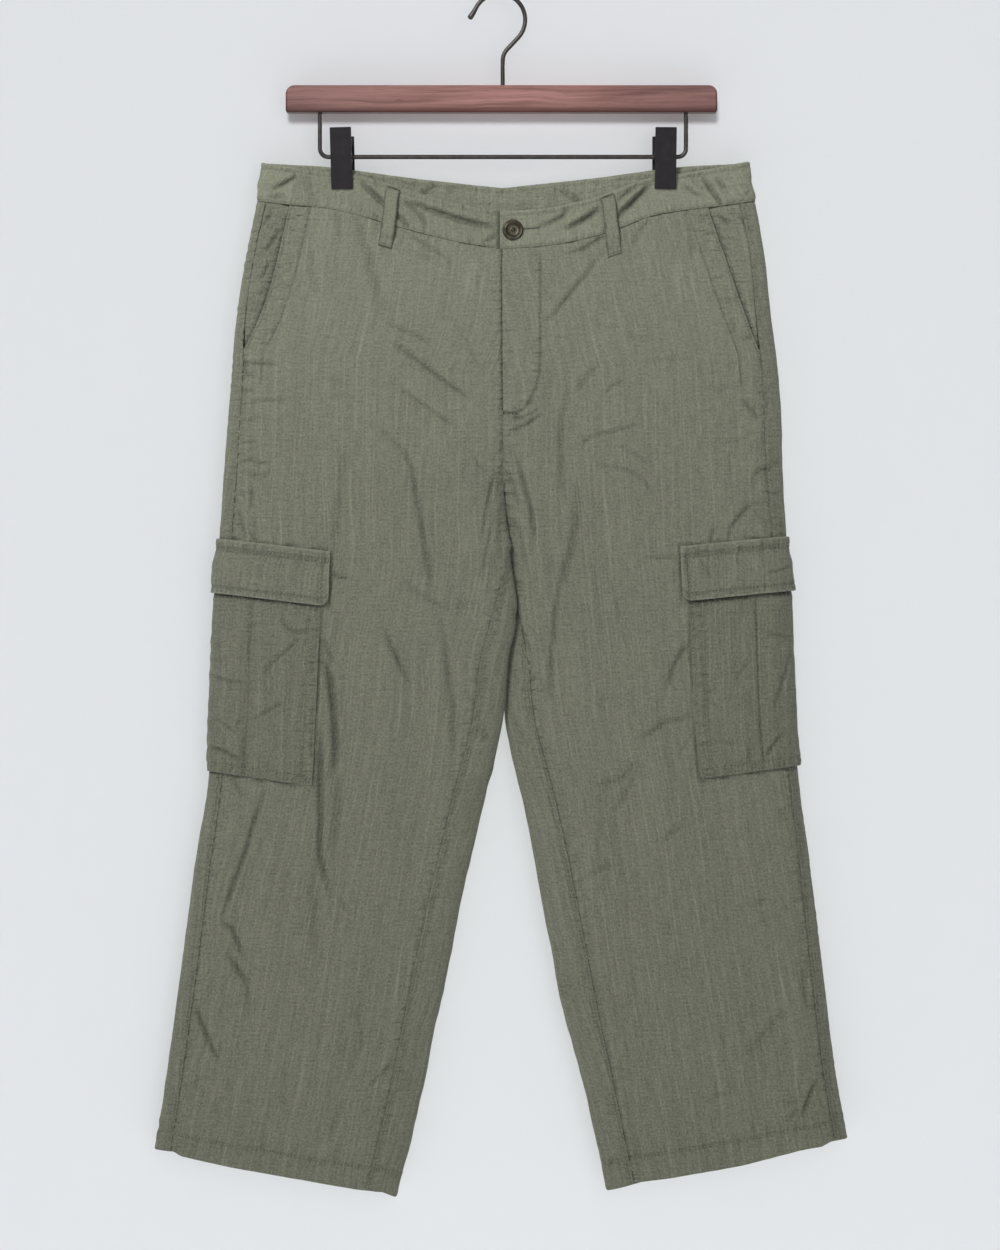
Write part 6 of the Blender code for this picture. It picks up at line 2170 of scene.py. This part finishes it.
@dataclass
class CargoPockets:
    """Patch pockets round the legs' sides, each with a pleat seam and a flap over its mouth."""

    seamster: Seamster
    corner: float = 0.009
    rise_start: float = 0.20
    rise_length: float = 0.35
    ease_over_fold: float = 0.0006
    fold_reach: float = 0.016
    pleat: float = 0.031
    side_row: float = 0.0018
    facing_row: float = 0.011
    bottom_rows: tuple[float, float] = (0.0015, 0.0072)
    flap_rows: tuple[float, float] = (0.0072, 0.0099)
    flap_edge_row: float = 0.0063

    def grid(self, patch: Patch, columns: int, rows: int, corner: float) -> tuple[Array, Array, Array]:
        """Grid of a patch, its lower corners rounded.

        Args:
            patch: the pocket or flap.
            columns: columns of faces.
            rows: rows of faces.
            corner: radius of the lower corners.

        Returns:
            Insets, drops, and shares of the height.
        """
        across = ((patch.back, 0.0016, 4.0), (patch.front, 0.0016, 4.0), (0.0, 0.003, 5.0))
        insets = crowded(patch.back, patch.front, columns, across)
        tall = patch.bottom - patch.top
        above = ((0.0, 0.0016, 2.0), (0.0085, 0.003, 0.8))
        below = ((tall, 0.0016, 3.0), (tall - 0.0066, 0.002, 0.8))
        tallness = crowded(0.0, tall, rows, above + below) / tall
        inset, share = np.meshgrid(insets, tallness)
        edge = np.minimum(patch.front - inset, inset - patch.back)
        cut = corner * (1 - quarter_round(edge / corner)) if corner else 0 * edge
        drop = patch.top + tall * share * (1 - cut / tall) + patch.slope * inset
        return inset, drop, share

    def layer(self, half: Half, inset: Array, drop: Array, lift: Array) -> Array:
        """Points of a patch, `lift` above its wall and the leg's plain cloth.

        Args:
            half: the leg.
            inset: places in from the side fold.
            drop: distances down from the waist seam.
            lift: height of creases and seams.

        Returns:
            The points.
        """
        down = drop / half.length
        around = -inset / half.width(down)
        eased = GAP + self.ease_over_fold * hump(inset / self.fold_reach)
        return leg_layer(half, around, down, lift + eased + POCKET_WALL)

    def relief(self, half: Half, inset: Array, drop: Array) -> Relief:
        """Soft creases of a patch, with painted shade in their troughs."""
        down = drop / half.length
        plain = half.skin(-inset / half.width(down), down)
        x, z = plain[..., 0], plain[..., 2]
        front = ease(0.5 + inset / 0.014)
        creases = 1.8 * crease_heights(POCKET_CREASES, x, z) * front
        off_fold = 0.4 + 0.6 * np.abs(front - 0.5) * 2
        total = creases + 0.00055 * ripples(x, z, 45, 0.02, 0.06, 1.5) * off_fold
        total += 0.00022 * ripples(x, z, 46, 0.010, 0.018)
        return Relief(total, np.clip(-creases / 0.0022, 0, 1) * 0.8)

    def sheet(self, half: Half, inset: Array, drop: Array, share: Array, relief: Relief) -> Sheet:
        """A patch's cloth, its columns in the order that they have round the leg.

        Args:
            half: the leg.
            inset: places in from the side fold.
            drop: distances down from the waist seam.
            share: shares of the patch's height.
            relief: its creases, seams and shade.

        Returns:
            The sheet.
        """
        points = self.layer(half, inset, drop, relief.height)[:, ::-1]
        values = {key: numbers[:, ::-1] for key, numbers in relief.values().items()}
        return Sheet(-inset[:, ::-1], share[:, 0], points, half is RIGHT, values)

    def pocket(self, cargo: CargoSet) -> None:
        """One pocket, with painted shade along its pleat and rows, a painted shadow under the flap, painted
        highlights on its edges, and the whole pocket a little darker.
        """
        half, patch = cargo.half, cargo.pocket
        inset, drop, share = self.grid(patch, 100, 104, 0.0)
        run = drop - patch.slope * inset
        front, back, below = patch.front - inset, inset - patch.back, patch.bottom - run
        relief = self.relief(half, inset, drop)
        seed = 80 + half.sign
        relief.height += 0.00045 * puckers(front - 0.006, run, seed, 0.010, (0.005, 0.011))
        relief.height += 0.00040 * puckers(back - 0.004, run, seed + 3, 0.009)
        relief.height += 0.00045 * puckers(below - 0.005, inset, seed + 6, 0.010)
        pleat = inset - self.pleat
        relief.height += 0.0005 * ease(0.5 - pleat / 0.0012) + stitch_dip(pleat - 0.0012, 0.0009, 0.0004)
        relief.height += sum(edge_roll(away, 0.0011, 0.0012) for away in (front, back, below))
        rows = [front - self.side_row, front - self.facing_row, back - self.side_row]
        rows += [below - row for row in self.bottom_rows]
        relief.height += sum(map(stitch_dip, rows))
        # Painted shade in the pleat's fold and along the stitch rows; painted highlights on the bottom and
        # front edges.
        relief.darken(1.4 * hump((pleat - 0.0008) / 0.0009), sewn_shade(*rows))
        relief.pale(1.3 * painted_edge_highlight(below) + 0.7 * painted_edge_highlight(front))
        # Painted shadow under the flap and just below its lower edge, where the pocket also sinks.
        under_flap = ease(1 - (run - cargo.flap.bottom) / 0.006)
        relief.darken(1.3 * under_flap)
        # The whole pocket is painted a little darker.
        relief.pale(-0.25)
        relief.height = relief.height * (1 - 0.9 * under_flap) - 0.0004 * under_flap
        relief.ruckle(hump((front - 0.006) / 0.008), hump((back - 0.004) / 0.008))
        relief.gathers = hump((below - 0.005) / 0.008)
        sheet = self.sheet(half, inset, drop, share, relief)
        name = f"cargo_pocket_{half.name}"
        behind = [f"back_panel_{half.name}", f"front_panel_{half.name}"]
        self.seamster.piece(name, sheet, POCKET_WALL, 0.4, behind)
        tall = patch.bottom - patch.top
        down = np.linspace((cargo.flap.bottom - patch.top - 0.004) / tall, 1 - 0.0015 / tall, 260)
        found = []
        for row in (self.side_row, self.facing_row):
            found += sewn(sheet, row - patch.front, down)
        found += sewn(sheet, -patch.back - self.side_row, down)
        for row in self.bottom_rows:
            found += sewn(sheet, -np.linspace(patch.back + 0.002, patch.front - 0.002, 260), 1 - row / tall)
        self.seamster.sew(f"{name}_stitches", found)

    def flap(self, cargo: CargoSet) -> None:
        """One flap, with painted shade along its stitch rows, painted highlights on its folded edges, and
        the whole flap a little darker.
        """
        half, patch = cargo.half, cargo.flap
        inset, drop, share = self.grid(patch, 146, 60, self.corner)
        tall, edge_row = patch.bottom - patch.top, self.flap_edge_row
        run = share * tall
        edges = (patch.front - inset, inset - patch.back, tall - run, run)
        relief = self.relief(half, inset, drop)
        seed = 100 + half.sign
        relief.height += 0.00040 * puckers(run - 0.008, inset, seed, 0.010, (0.005, 0.012))
        relief.height += 0.00040 * puckers(tall - run - 0.004, inset, seed + 2, 0.008)
        relief.height += sum(edge_roll(away, 0.0011, 0.0012) for away in edges)
        rows = [run - row for row in self.flap_rows] + [away - edge_row for away in edges[:3]]
        relief.height += sum(map(stitch_dip, rows))
        # Painted shade along the stitch rows; painted highlights on the folded edges, with the whole flap a
        # little darker.
        relief.darken(2.2 * sewn_shade(*rows))
        relief.pale(2.2 * painted_edge_highlight(*edges) - 0.10)
        over = ease((share - self.rise_start) / self.rise_length)
        relief.height += (POCKET_WALL + GAP) * over + 0.0010 * ease((share - 0.5) / 0.5)
        relief.gathers = np.maximum(hump((run - 0.008) / 0.008), hump((tall - run - 0.005) / 0.007))
        sheet = self.sheet(half, inset, drop, share, relief)
        name = f"cargo_flap_{half.name}"
        self.seamster.piece(name, sheet, POCKET_WALL, 0.4, [f"cargo_pocket_{half.name}"])
        found = []
        for row in self.flap_rows:
            found += sewn(sheet, -np.linspace(patch.back + 0.001, patch.front - 0.001, 260), row / tall)
        inner = np.linspace(patch.back + edge_row, patch.front - edge_row, 260)
        found += sewn(sheet, -inner, 1 - edge_row / tall)
        down = np.linspace(0.002, tall - edge_row, 100) / tall
        for place in (patch.back + edge_row, patch.front - edge_row):
            found += sewn(sheet, -place, down)
        self.seamster.sew(f"{name}_stitches", found)

    def build(self) -> None:
        """Make both pockets and flaps."""
        for cargo in CARGO_SETS.values():
            self.pocket(cargo)
            self.flap(cargo)


def placed(bm: bmesh.types.BMesh, matrix: Matrix, name: str) -> bpy.types.Mesh:
    """Finish a bmesh: put it in its place, turn its faces outwards and make it a smooth mesh.

    Args:
        bm: the bmesh, freed here.
        matrix: its place.
        name: the mesh's name.

    Returns:
        The mesh.
    """
    bmesh.ops.transform(bm, matrix=matrix, verts=bm.verts)
    bmesh.ops.remove_doubles(bm, verts=bm.verts, dist=1e-7)
    bmesh.ops.recalc_face_normals(bm, faces=bm.faces)
    mesh = bpy.data.meshes.new(name)
    bm.to_mesh(mesh)
    bm.free()
    mesh.shade_smooth()
    return mesh


def box(bm: bmesh.types.BMesh, size: Sequence[float], centre: Sequence[float]) -> list[bmesh.types.BMVert]:
    """Add a box, and give back its corners."""
    corners = bmesh.ops.create_cube(bm, size=1.0)["verts"]
    bmesh.ops.scale(bm, vec=size, verts=corners)
    bmesh.ops.translate(bm, vec=centre, verts=corners)
    return corners


def edges_along(verts: Sequence[bmesh.types.BMVert], axis: int, least: float) -> list[bmesh.types.BMEdge]:
    """Edges of the given corners that run along an axis for at least a length.

    Args:
        verts: the corners.
        axis: 0, 1 or 2.
        least: the shortest length that counts.

    Returns:
        The edges.
    """
    edges = {edge for vert in verts for edge in vert.link_edges}
    return [edge for edge in edges if abs(edge.verts[0].co[axis] - edge.verts[1].co[axis]) > least]


def rounded(bm: bmesh.types.BMesh, edges: Sequence, radius: float, segments: int) -> None:
    """Round some edges."""
    bmesh.ops.bevel(
        bm, geom=edges, offset=radius, segments=segments, profile=0.5, affect="EDGES", material=-1
    )


def ease_edges(piece: bpy.types.Object, name: str, width: float, segments: int) -> None:
    """Let a bevel soften every sharp edge of a piece."""
    bevel = piece.modifiers.new(name, "BEVEL")
    bevel.width, bevel.segments = width, segments
    bevel.limit_method = "ANGLE"
    bevel.harden_normals = True


def turned(profile: Sequence[tuple[float, float]], steps: int) -> bmesh.types.BMesh:
    """Spin a profile of (radius, height) round Z.

    Args:
        profile: the points, from axis to axis.
        steps: faces round.

    Returns:
        The bmesh.
    """
    bm = bmesh.new()
    verts = [bm.verts.new((radius, 0.0, height)) for radius, height in profile]
    edges = [bm.edges.new(pair) for pair in zip(verts, verts[1:])]
    bmesh.ops.spin(
        bm, geom=verts + edges, cent=(0, 0, 0), axis=(0, 0, 1), angle=2 * math.pi, steps=steps,
        use_merge=True,
    )
    bmesh.ops.remove_doubles(bm, verts=bm.verts, dist=1e-7)
    return bm


@dataclass
class WaistButton:
    """Dished bronze button on a short shank, seated in the buttonhole."""

    finishes: Finishes
    radius: float = 0.0093
    turn: float = 0.043
    rise: float = 0.48
    stand: float = 0.0010

    def seat(self) -> Matrix:
        """The button's place on the band, its face along Z."""
        spread, tall = self.radius / float(LEFT.width(0.0)), self.radius / BAND_HEIGHT
        turn, rise = self.turn, self.rise
        across = on_turn(turn + spread, rise, "band") - on_turn(turn - spread, rise, "band")
        upward = on_turn(turn, rise + tall, "band") - on_turn(turn, rise - tall, "band")
        outward = Vector(np.cross(across, upward)).normalized()
        seat = Vector(on_turn(self.turn, self.rise, "band")) + outward * (BAND_PROUD + self.stand)
        return Matrix.Translation(seat) @ outward.to_track_quat("Z", "Y").to_matrix().to_4x4()

    def build(self) -> None:
        """Make the button."""
        profile = (
            (0.0, 0.00185), (0.0006, 0.00182), (0.0011, 0.00165), (0.00135, 0.00130), (0.0017, 0.00098),
            (0.0024, 0.00085), (0.0040, 0.00088), (0.0052, 0.00108), (0.00585, 0.00150), (0.0062, 0.00188),
            (0.0065, 0.00205), (0.0069, 0.00210), (0.0072, 0.00200), (0.0074, 0.00185), (0.0077, 0.00195),
            (0.0082, 0.00215), (0.0087, 0.00205), (0.0091, 0.00165), (0.0093, 0.00115), (0.0092, 0.00070),
            (0.0087, 0.00035), (0.0070, 0.00010), (0.0030, 0.0), (0.0026, -0.00090), (0.0, -0.00090),
        )
        mesh = placed(turned(profile, 64), self.seat(), "waist_button")
        add_piece("waist_button_metal", mesh, self.finishes.bronze, "bronze", "waist_button")


def wire_piece(
    name: str, points: Sequence, radius: float, finishes: Finishes, *nodes: str, swell: Sequence = ()
) -> bpy.types.Object:
    """Round wire along a run of points, its ends closed by domes.

    Args:
        name: the piece's name.
        points: close points along its middle.
        radius: its radius.
        finishes: the scene's materials.
        nodes: CAD nodes that it stands for.
        swell: how many times the radius each of the last points has.

    Returns:
        The piece.
    """
    path = np.array(points, float)
    sizes = np.ones(len(path))
    if len(swell):
        sizes[-len(swell):] = swell
    along = unit(np.gradient(path, axis=0))
    side = np.cross(along, (0.0, 1.0, 0.0) if abs(along[0, 1]) < 0.5 else (0.0, 0.0, 1.0))
    rings = []
    for k in range(len(path)):
        if k:
            side[k] = side[k - 1] - along[k] * side[k - 1].dot(along[k])
        side[k] /= np.linalg.norm(side[k])
        rings.append((path[k], along[k], side[k], radius * sizes[k]))
    domes = []
    for k, way in ((0, -1), (-1, 1)):
        middle, forward, aside, size = rings[k]
        steps = [
            (middle + forward * way * size * math.sin(angle) * 0.8, forward, aside, size * math.cos(angle))
            for angle in np.radians((25, 50, 70, 84))
        ]
        domes.append(steps)
    rings = domes[0][::-1] + rings + domes[1]
    bm = bmesh.new()
    circles = []
    for middle, forward, aside, size in rings:
        up = np.cross(forward, aside)
        matrix = Matrix([[aside[i], up[i], forward[i], middle[i]] for i in range(3)] + [[0, 0, 0, 1]])
        ring = bmesh.ops.create_circle(bm, segments=20, radius=size, matrix=matrix, cap_ends=False)
        circles.append(ring["verts"])
    for before, after in zip(circles, circles[1:]):
        edges = {edge for vert in before + after for edge in vert.link_edges}
        rims = [edge for edge in edges if any(set(edge.verts) <= set(circle) for circle in (before, after))]
        bmesh.ops.bridge_loops(bm, edges=rims)
    for circle in (circles[0], circles[-1]):
        bmesh.ops.contextual_create(bm, geom=circle)
    mesh = placed(bm, Matrix(), name)
    return add_piece(name, mesh, finishes.wire, "dark_wire", *nodes)


@dataclass
class Hanger:
    """Wooden bar with its wire hook and the wire rail that carries the clips."""

    finishes: Finishes
    wire: float = 0.0020
    hook_radius: float = 0.0235
    hook_from: float = -46.0
    flare_from: float = 155.0
    tip: float = 175.0
    flare: float = 0.0026
    stem_x: float = 0.0032
    stem_bend_z: float = -0.0560
    stem_bend: tuple = ((0.0, -0.0020), (0.0005, 0.0022), (0.0024, 0.0062))
    bar_x: tuple[float, float] = (-0.1919, 0.1960)
    bar_z: tuple[float, float] = (-0.1054, -0.0811)
    bar_thick: float = 0.0120
    upper_corner: float = 0.0078
    lower_corner: float = 0.0022
    eased: float = 0.0013
    socket: float = 0.0120
    rail_x: tuple[float, float] = (-0.1613, 0.1681)
    rail_z: float = -0.1450
    rail_bend: float = 0.0076

    def bar(self) -> bpy.types.Object:
        """The bar, round at its upper corners and eased on every edge."""
        size = (self.bar_x[1] - self.bar_x[0], self.bar_thick, self.bar_z[1] - self.bar_z[0])
        centre = (sum(self.bar_x) / 2, 0.0, sum(self.bar_z) / 2)
        bm = bmesh.new()
        corners = box(bm, size, (0.0, 0.0, 0.0))
        deep = edges_along(corners, 1, self.bar_thick / 2)
        upper = [edge for edge in deep if edge.verts[0].co.z > 0]
        lower = [edge for edge in deep if edge.verts[0].co.z < 0]
        rounded(bm, upper, self.upper_corner, 10)
        rounded(bm, lower, self.lower_corner, 5)
        mesh = placed(bm, Matrix.Translation(centre), "hanger_bar")
        piece = add_piece("hanger_bar_wood", mesh, self.finishes.wood, "mahogany", "hanger_bar")
        ease_edges(piece, "eased edges", self.eased, 4)
        return piece

    def hook(self) -> None:
        """Stem out of the bar, bent to the left side and round the top to a flared tip."""
        centre_z = self.wire - self.hook_radius
        knots = [(self.stem_x, self.bar_z[1] - self.socket), (self.stem_x, -0.0700)]
        knots += [(self.stem_x + aside, self.stem_bend_z + rise) for aside, rise in self.stem_bend]
        for degrees in np.linspace(self.hook_from, self.tip, 50):
            past = max(0.0, (degrees - self.flare_from) / (self.tip - self.flare_from))
            radius, angle = self.hook_radius + self.flare * past**2, math.radians(degrees)
            knots.append((radius * math.cos(angle), centre_z + radius * math.sin(angle)))
        knots = np.array(knots)
        run = np.concatenate([[0.0], np.cumsum(np.linalg.norm(np.diff(knots, axis=0), axis=1))])
        at = np.linspace(0.0, run[-1], 150)
        points = np.stack([np.interp(at, run, knots[:, 0]), 0 * at, np.interp(at, run, knots[:, 1])], -1)
        for _ in range(6):
            points[1:-1] = (points[:-2] + 2 * points[1:-1] + points[2:]) / 4
        swell = 1 + 0.26 * ease(np.linspace(0.0, 1.0, 12))
        wire_piece("hanger_hook_wire", points, self.wire, self.finishes, "hanger_hook", swell=swell)

    def rail(self) -> None:
        """Wire from the bar, level through the clips and back up."""
        top = self.bar_z[0] + self.socket
        left = [(self.rail_x[0], 0.0, z) for z in np.linspace(top, self.rail_z + self.rail_bend, 8)]
        for angle in np.linspace(0.0, math.pi / 2, 12)[1:]:
            across, drop = self.rail_bend * (1 - math.cos(angle)), self.rail_bend * (1 - math.sin(angle))
            left.append((self.rail_x[0] + across, 0.0, self.rail_z + drop))
        middle = sum(self.rail_x) / 2
        points = left + [(2 * middle - x, y, z) for x, y, z in reversed(left)]
        wire_piece("hanger_rail_wire", points, self.wire, self.finishes, "hanger_rail")

    def build(self) -> bpy.types.Object:
        """Make the bar, hook and rail, and give back the bar."""
        bar = self.bar()
        self.hook()
        self.rail()
        return bar


@dataclass(frozen=True)
class Clip:
    """A clip on the rail: its place, its lean as seen from the front, and the side facing centre."""

    name: str
    x: float
    lean: float
    inward: int


@dataclass
class Clips:
    """Two sprung clips: folded steel jaws with ears round the rail, and a coil between them."""

    finishes: Finishes
    clips: tuple = (
        Clip("right", -0.1419, math.radians(-1.4), 1),
        Clip("left", 0.1495, math.radians(0.4), -1),
    )
    width: float = 0.0192
    wall: float = 0.0014
    above: float = 0.0258
    back_lower: float = 0.0055
    below: float = 0.0292
    bite: float = 0.0038
    opening: float = 0.0105
    back_shift: float = 0.0018
    ear_wall: float = 0.0012
    ear_high: float = 0.0090
    ear_past: float = 0.0034
    spring_half: float = 0.0054
    spring_radius: float = 0.0032
    spring_wire: float = 0.00060
    spring_arm: tuple[float, float, float] = (0.0, -0.0022, 0.0130)
    front_ear: float = 0.0088
    back_ear: float = 0.0068
    rail_z: float = -0.1450

    def jaw(self, clip: Clip, face: Face) -> None:
        """One jaw, its plate leaning in to the bite, its ears folded in round the rail."""
        side = face.value
        name = f"clip_{clip.name}_{'front' if face is Face.FRONT else 'back'}_jaw"
        above = self.above if face is Face.FRONT else self.above - self.back_lower
        shift = 0.0 if face is Face.FRONT else self.back_shift
        ear_x = self.front_ear if face is Face.FRONT else self.back_ear
        height = above + self.below
        slope = math.atan2(self.opening - self.bite, self.above + self.below)
        place = Matrix.Translation((clip.x, 0.0, self.rail_z)) @ Matrix.Rotation(clip.lean, 4, "Y")
        foot = Matrix.Translation((clip.inward * shift, side * self.bite, -self.below))
        bm = bmesh.new()
        plate = box(bm, (self.width, self.wall, height), (0.0, side * self.wall / 2, height / 2))
        rounded(bm, edges_along(plate, 1, self.wall / 2), 0.0008, 4)
        bmesh.ops.transform(bm, matrix=foot @ Matrix.Rotation(-side * slope, 4, "X"), verts=bm.verts)
        plate_y = self.bite + math.tan(slope) * self.below + self.wall / 2
        deep = plate_y + self.ear_past
        for way in (-1, 1):
            middle = (way * ear_x, side * (plate_y - deep / 2), 0.0)
            ear = box(bm, (self.ear_wall, deep, self.ear_high), middle)
            rounded(bm, edges_along(ear, 0, self.ear_wall / 2), 0.0022, 5)
        mesh = placed(bm, place, name)
        piece = add_piece(f"{name}_steel", mesh, self.finishes.clip, "black_clip", name)
        ease_edges(piece, "rolled edges", 0.0004, 3)

    def spring(self, clip: Clip) -> None:
        """Coil round the rail, its ends running up inside the two jaws."""
        turns, steps = 6, 20
        angles = np.linspace(0.0, 2 * math.pi * turns, turns * steps + 1)
        x = clip.x + np.linspace(-self.spring_half, self.spring_half, len(angles)) * 0.9
        y, z = -self.spring_radius * np.cos(angles), self.rail_z + self.spring_radius * np.sin(angles)
        coil = np.stack([x, y, z], -1)
        arm = np.linspace(0.0, 1.0, 10)[1:, None] * np.array(self.spring_arm)
        points = np.concatenate([coil[0] + arm[::-1], coil, coil[-1] + arm])
        name = f"clip_{clip.name}_spring"
        wire_piece(f"{name}_wire", points, self.spring_wire, self.finishes, name)

    def build(self) -> None:
        """Make both clips."""
        for clip in self.clips:
            for face in Face:
                self.jaw(clip, face)
            self.spring(clip)


@dataclass
class Studio:
    """Pale wall and floor, soft light from the upper left, and the camera square to the front."""

    wall_y: float = 0.0245
    floor_z: float = -1.36
    centre: tuple[float, float, float] = (0.0007, 0.0, -0.5662)
    distance: float = 3.0
    lens: float = 96.0

    def surfaces(self) -> bpy.types.Object:
        """The wall behind, seen from the front only, and the floor; gives back the wall."""
        wall = PlainFinish("wall_paint", (0.790, 0.808, 0.835), one_sided=True).material()
        floor = PlainFinish("floor_paint", (0.78, 0.78, 0.78)).material()
        upright = Matrix.Rotation(math.pi / 2, 4, "X")
        places = (
            ("studio_wall", wall, Matrix.Translation((0.0, self.wall_y, 0.3)) @ upright),
            ("studio_floor", floor, Matrix.Translation((0.0, 0.0, self.floor_z))),
        )
        made = []
        for name, material, place in places:
            bm = bmesh.new()
            bmesh.ops.create_grid(bm, x_segments=8, y_segments=8, size=4.0)
            bmesh.ops.transform(bm, matrix=place, verts=bm.verts)
            mesh = bpy.data.meshes.new(name)
            bm.to_mesh(mesh)
            bm.free()
            mesh.materials.append(material)
            surface = bpy.data.objects.new(name, mesh)
            bpy.context.scene.collection.objects.link(surface)
            made.append(surface)
        made[0].visible_shadow = False
        return made[0]

    def light(
        self, name: str, place: tuple, target: tuple, size: float, power: float, colour: tuple
    ) -> bpy.types.Object:
        """Square soft light aimed at a point.

        Args:
            name: the lamp's name.
            place: where it stands.
            target: the point that it faces.
            size: length of its sides.
            power: watts.
            colour: its light's colour.

        Returns:
            The lamp.
        """
        data = bpy.data.lights.new(name, "AREA")
        data.size, data.energy, data.color = size, power, colour
        lamp = bpy.data.objects.new(name, data)
        lamp.location = place
        lamp.rotation_euler = (Vector(target) - Vector(place)).to_track_quat("-Z", "Y").to_euler()
        bpy.context.scene.collection.objects.link(lamp)
        return lamp

    def link_light(self, lamp: bpy.types.Object, surface: bpy.types.Object, state: str) -> None:
        """Let a lamp light only one surface (INCLUDE), or everything but it (EXCLUDE).

        Args:
            lamp: the lamp.
            surface: the surface.
            state: INCLUDE or EXCLUDE.
        """
        receivers = bpy.data.collections.new(f"{lamp.name}_receivers")
        receivers.objects.link(surface)
        receivers.collection_objects[0].light_linking.link_state = state
        lamp.light_linking.receiver_collection = receivers

    def lights(self, wall: bpy.types.Object, bar: bpy.types.Object) -> None:
        """Key, the wall's own light with the bar's soft shadow in it, and fills front and back."""
        middle = (0.0, 0.0, -0.5)
        key = self.light("key_light", (-1.0, -2.2, 1.2), middle, 0.8, 52.0, (1.0, 0.99, 0.97))
        self.link_light(key, wall, "EXCLUDE")
        bar_middle = (0.0, 0.0, -0.1)
        on_wall = self.light("wall_light", (-0.3, -6.0, 1.05), bar_middle, 0.85, 190.0, (0.99, 0.99, 0.985))
        self.link_light(on_wall, wall, "INCLUDE")
        blockers = bpy.data.collections.new("wall_light_blockers")
        blockers.objects.link(bar)
        on_wall.light_linking.blocker_collection = blockers
        self.light("front_fill", (0.6, -3.4, -0.2), middle, 2.6, 18.0, (0.99, 0.99, 1.0))
        self.light("back_key", (1.2, 2.7, 0.6), middle, 0.8, 60.0, (1.0, 0.99, 0.97))
        self.light("back_fill", (-1.4, 3.2, -0.4), middle, 2.6, 18.0, (0.98, 0.99, 1.0))

    def world(self) -> None:
        """Pale room light from all round."""
        world = bpy.data.worlds.new("pale_room")
        world.use_nodes = True
        world.node_tree.nodes["Background"].inputs["Color"].default_value = (0.97, 0.98, 1.0, 1.0)
        world.node_tree.nodes["Background"].inputs["Strength"].default_value = 0.20
        bpy.context.scene.world = world
        bpy.context.scene.view_settings.view_transform = "Standard"

    def camera(self) -> None:
        """Camera square to the front."""
        camera = bpy.data.cameras.new("photo_camera")
        camera.lens = self.lens
        view = bpy.data.objects.new("photo_camera", camera)
        view.location = (self.centre[0], -self.distance, self.centre[2])
        view.rotation_euler = (math.pi / 2, 0.0, 0.0)
        bpy.context.scene.collection.objects.link(view)
        bpy.context.scene.camera = view

    def build(self, bar: bpy.types.Object) -> None:
        """Make the studio round the hanger."""
        self.lights(self.surfaces(), bar)
        self.world()
        self.camera()


def main() -> None:
    """Build every sub-assembly in turn."""
    logging.basicConfig(level=logging.INFO, format="%(name)s: %(message)s")
    finishes = Finishes.made()
    seamster = Seamster(finishes)
    bar = Hanger(finishes).build()
    Studio().build(bar)
    Clips(finishes).build()
    LegPanels(seamster).build()
    HiddenCloth(seamster).build()
    Waistband(seamster).build()
    BeltLoops(seamster).build()
    CargoPockets(seamster).build()
    WaistButton(finishes).build()


if __name__ == "__main__":
    main()
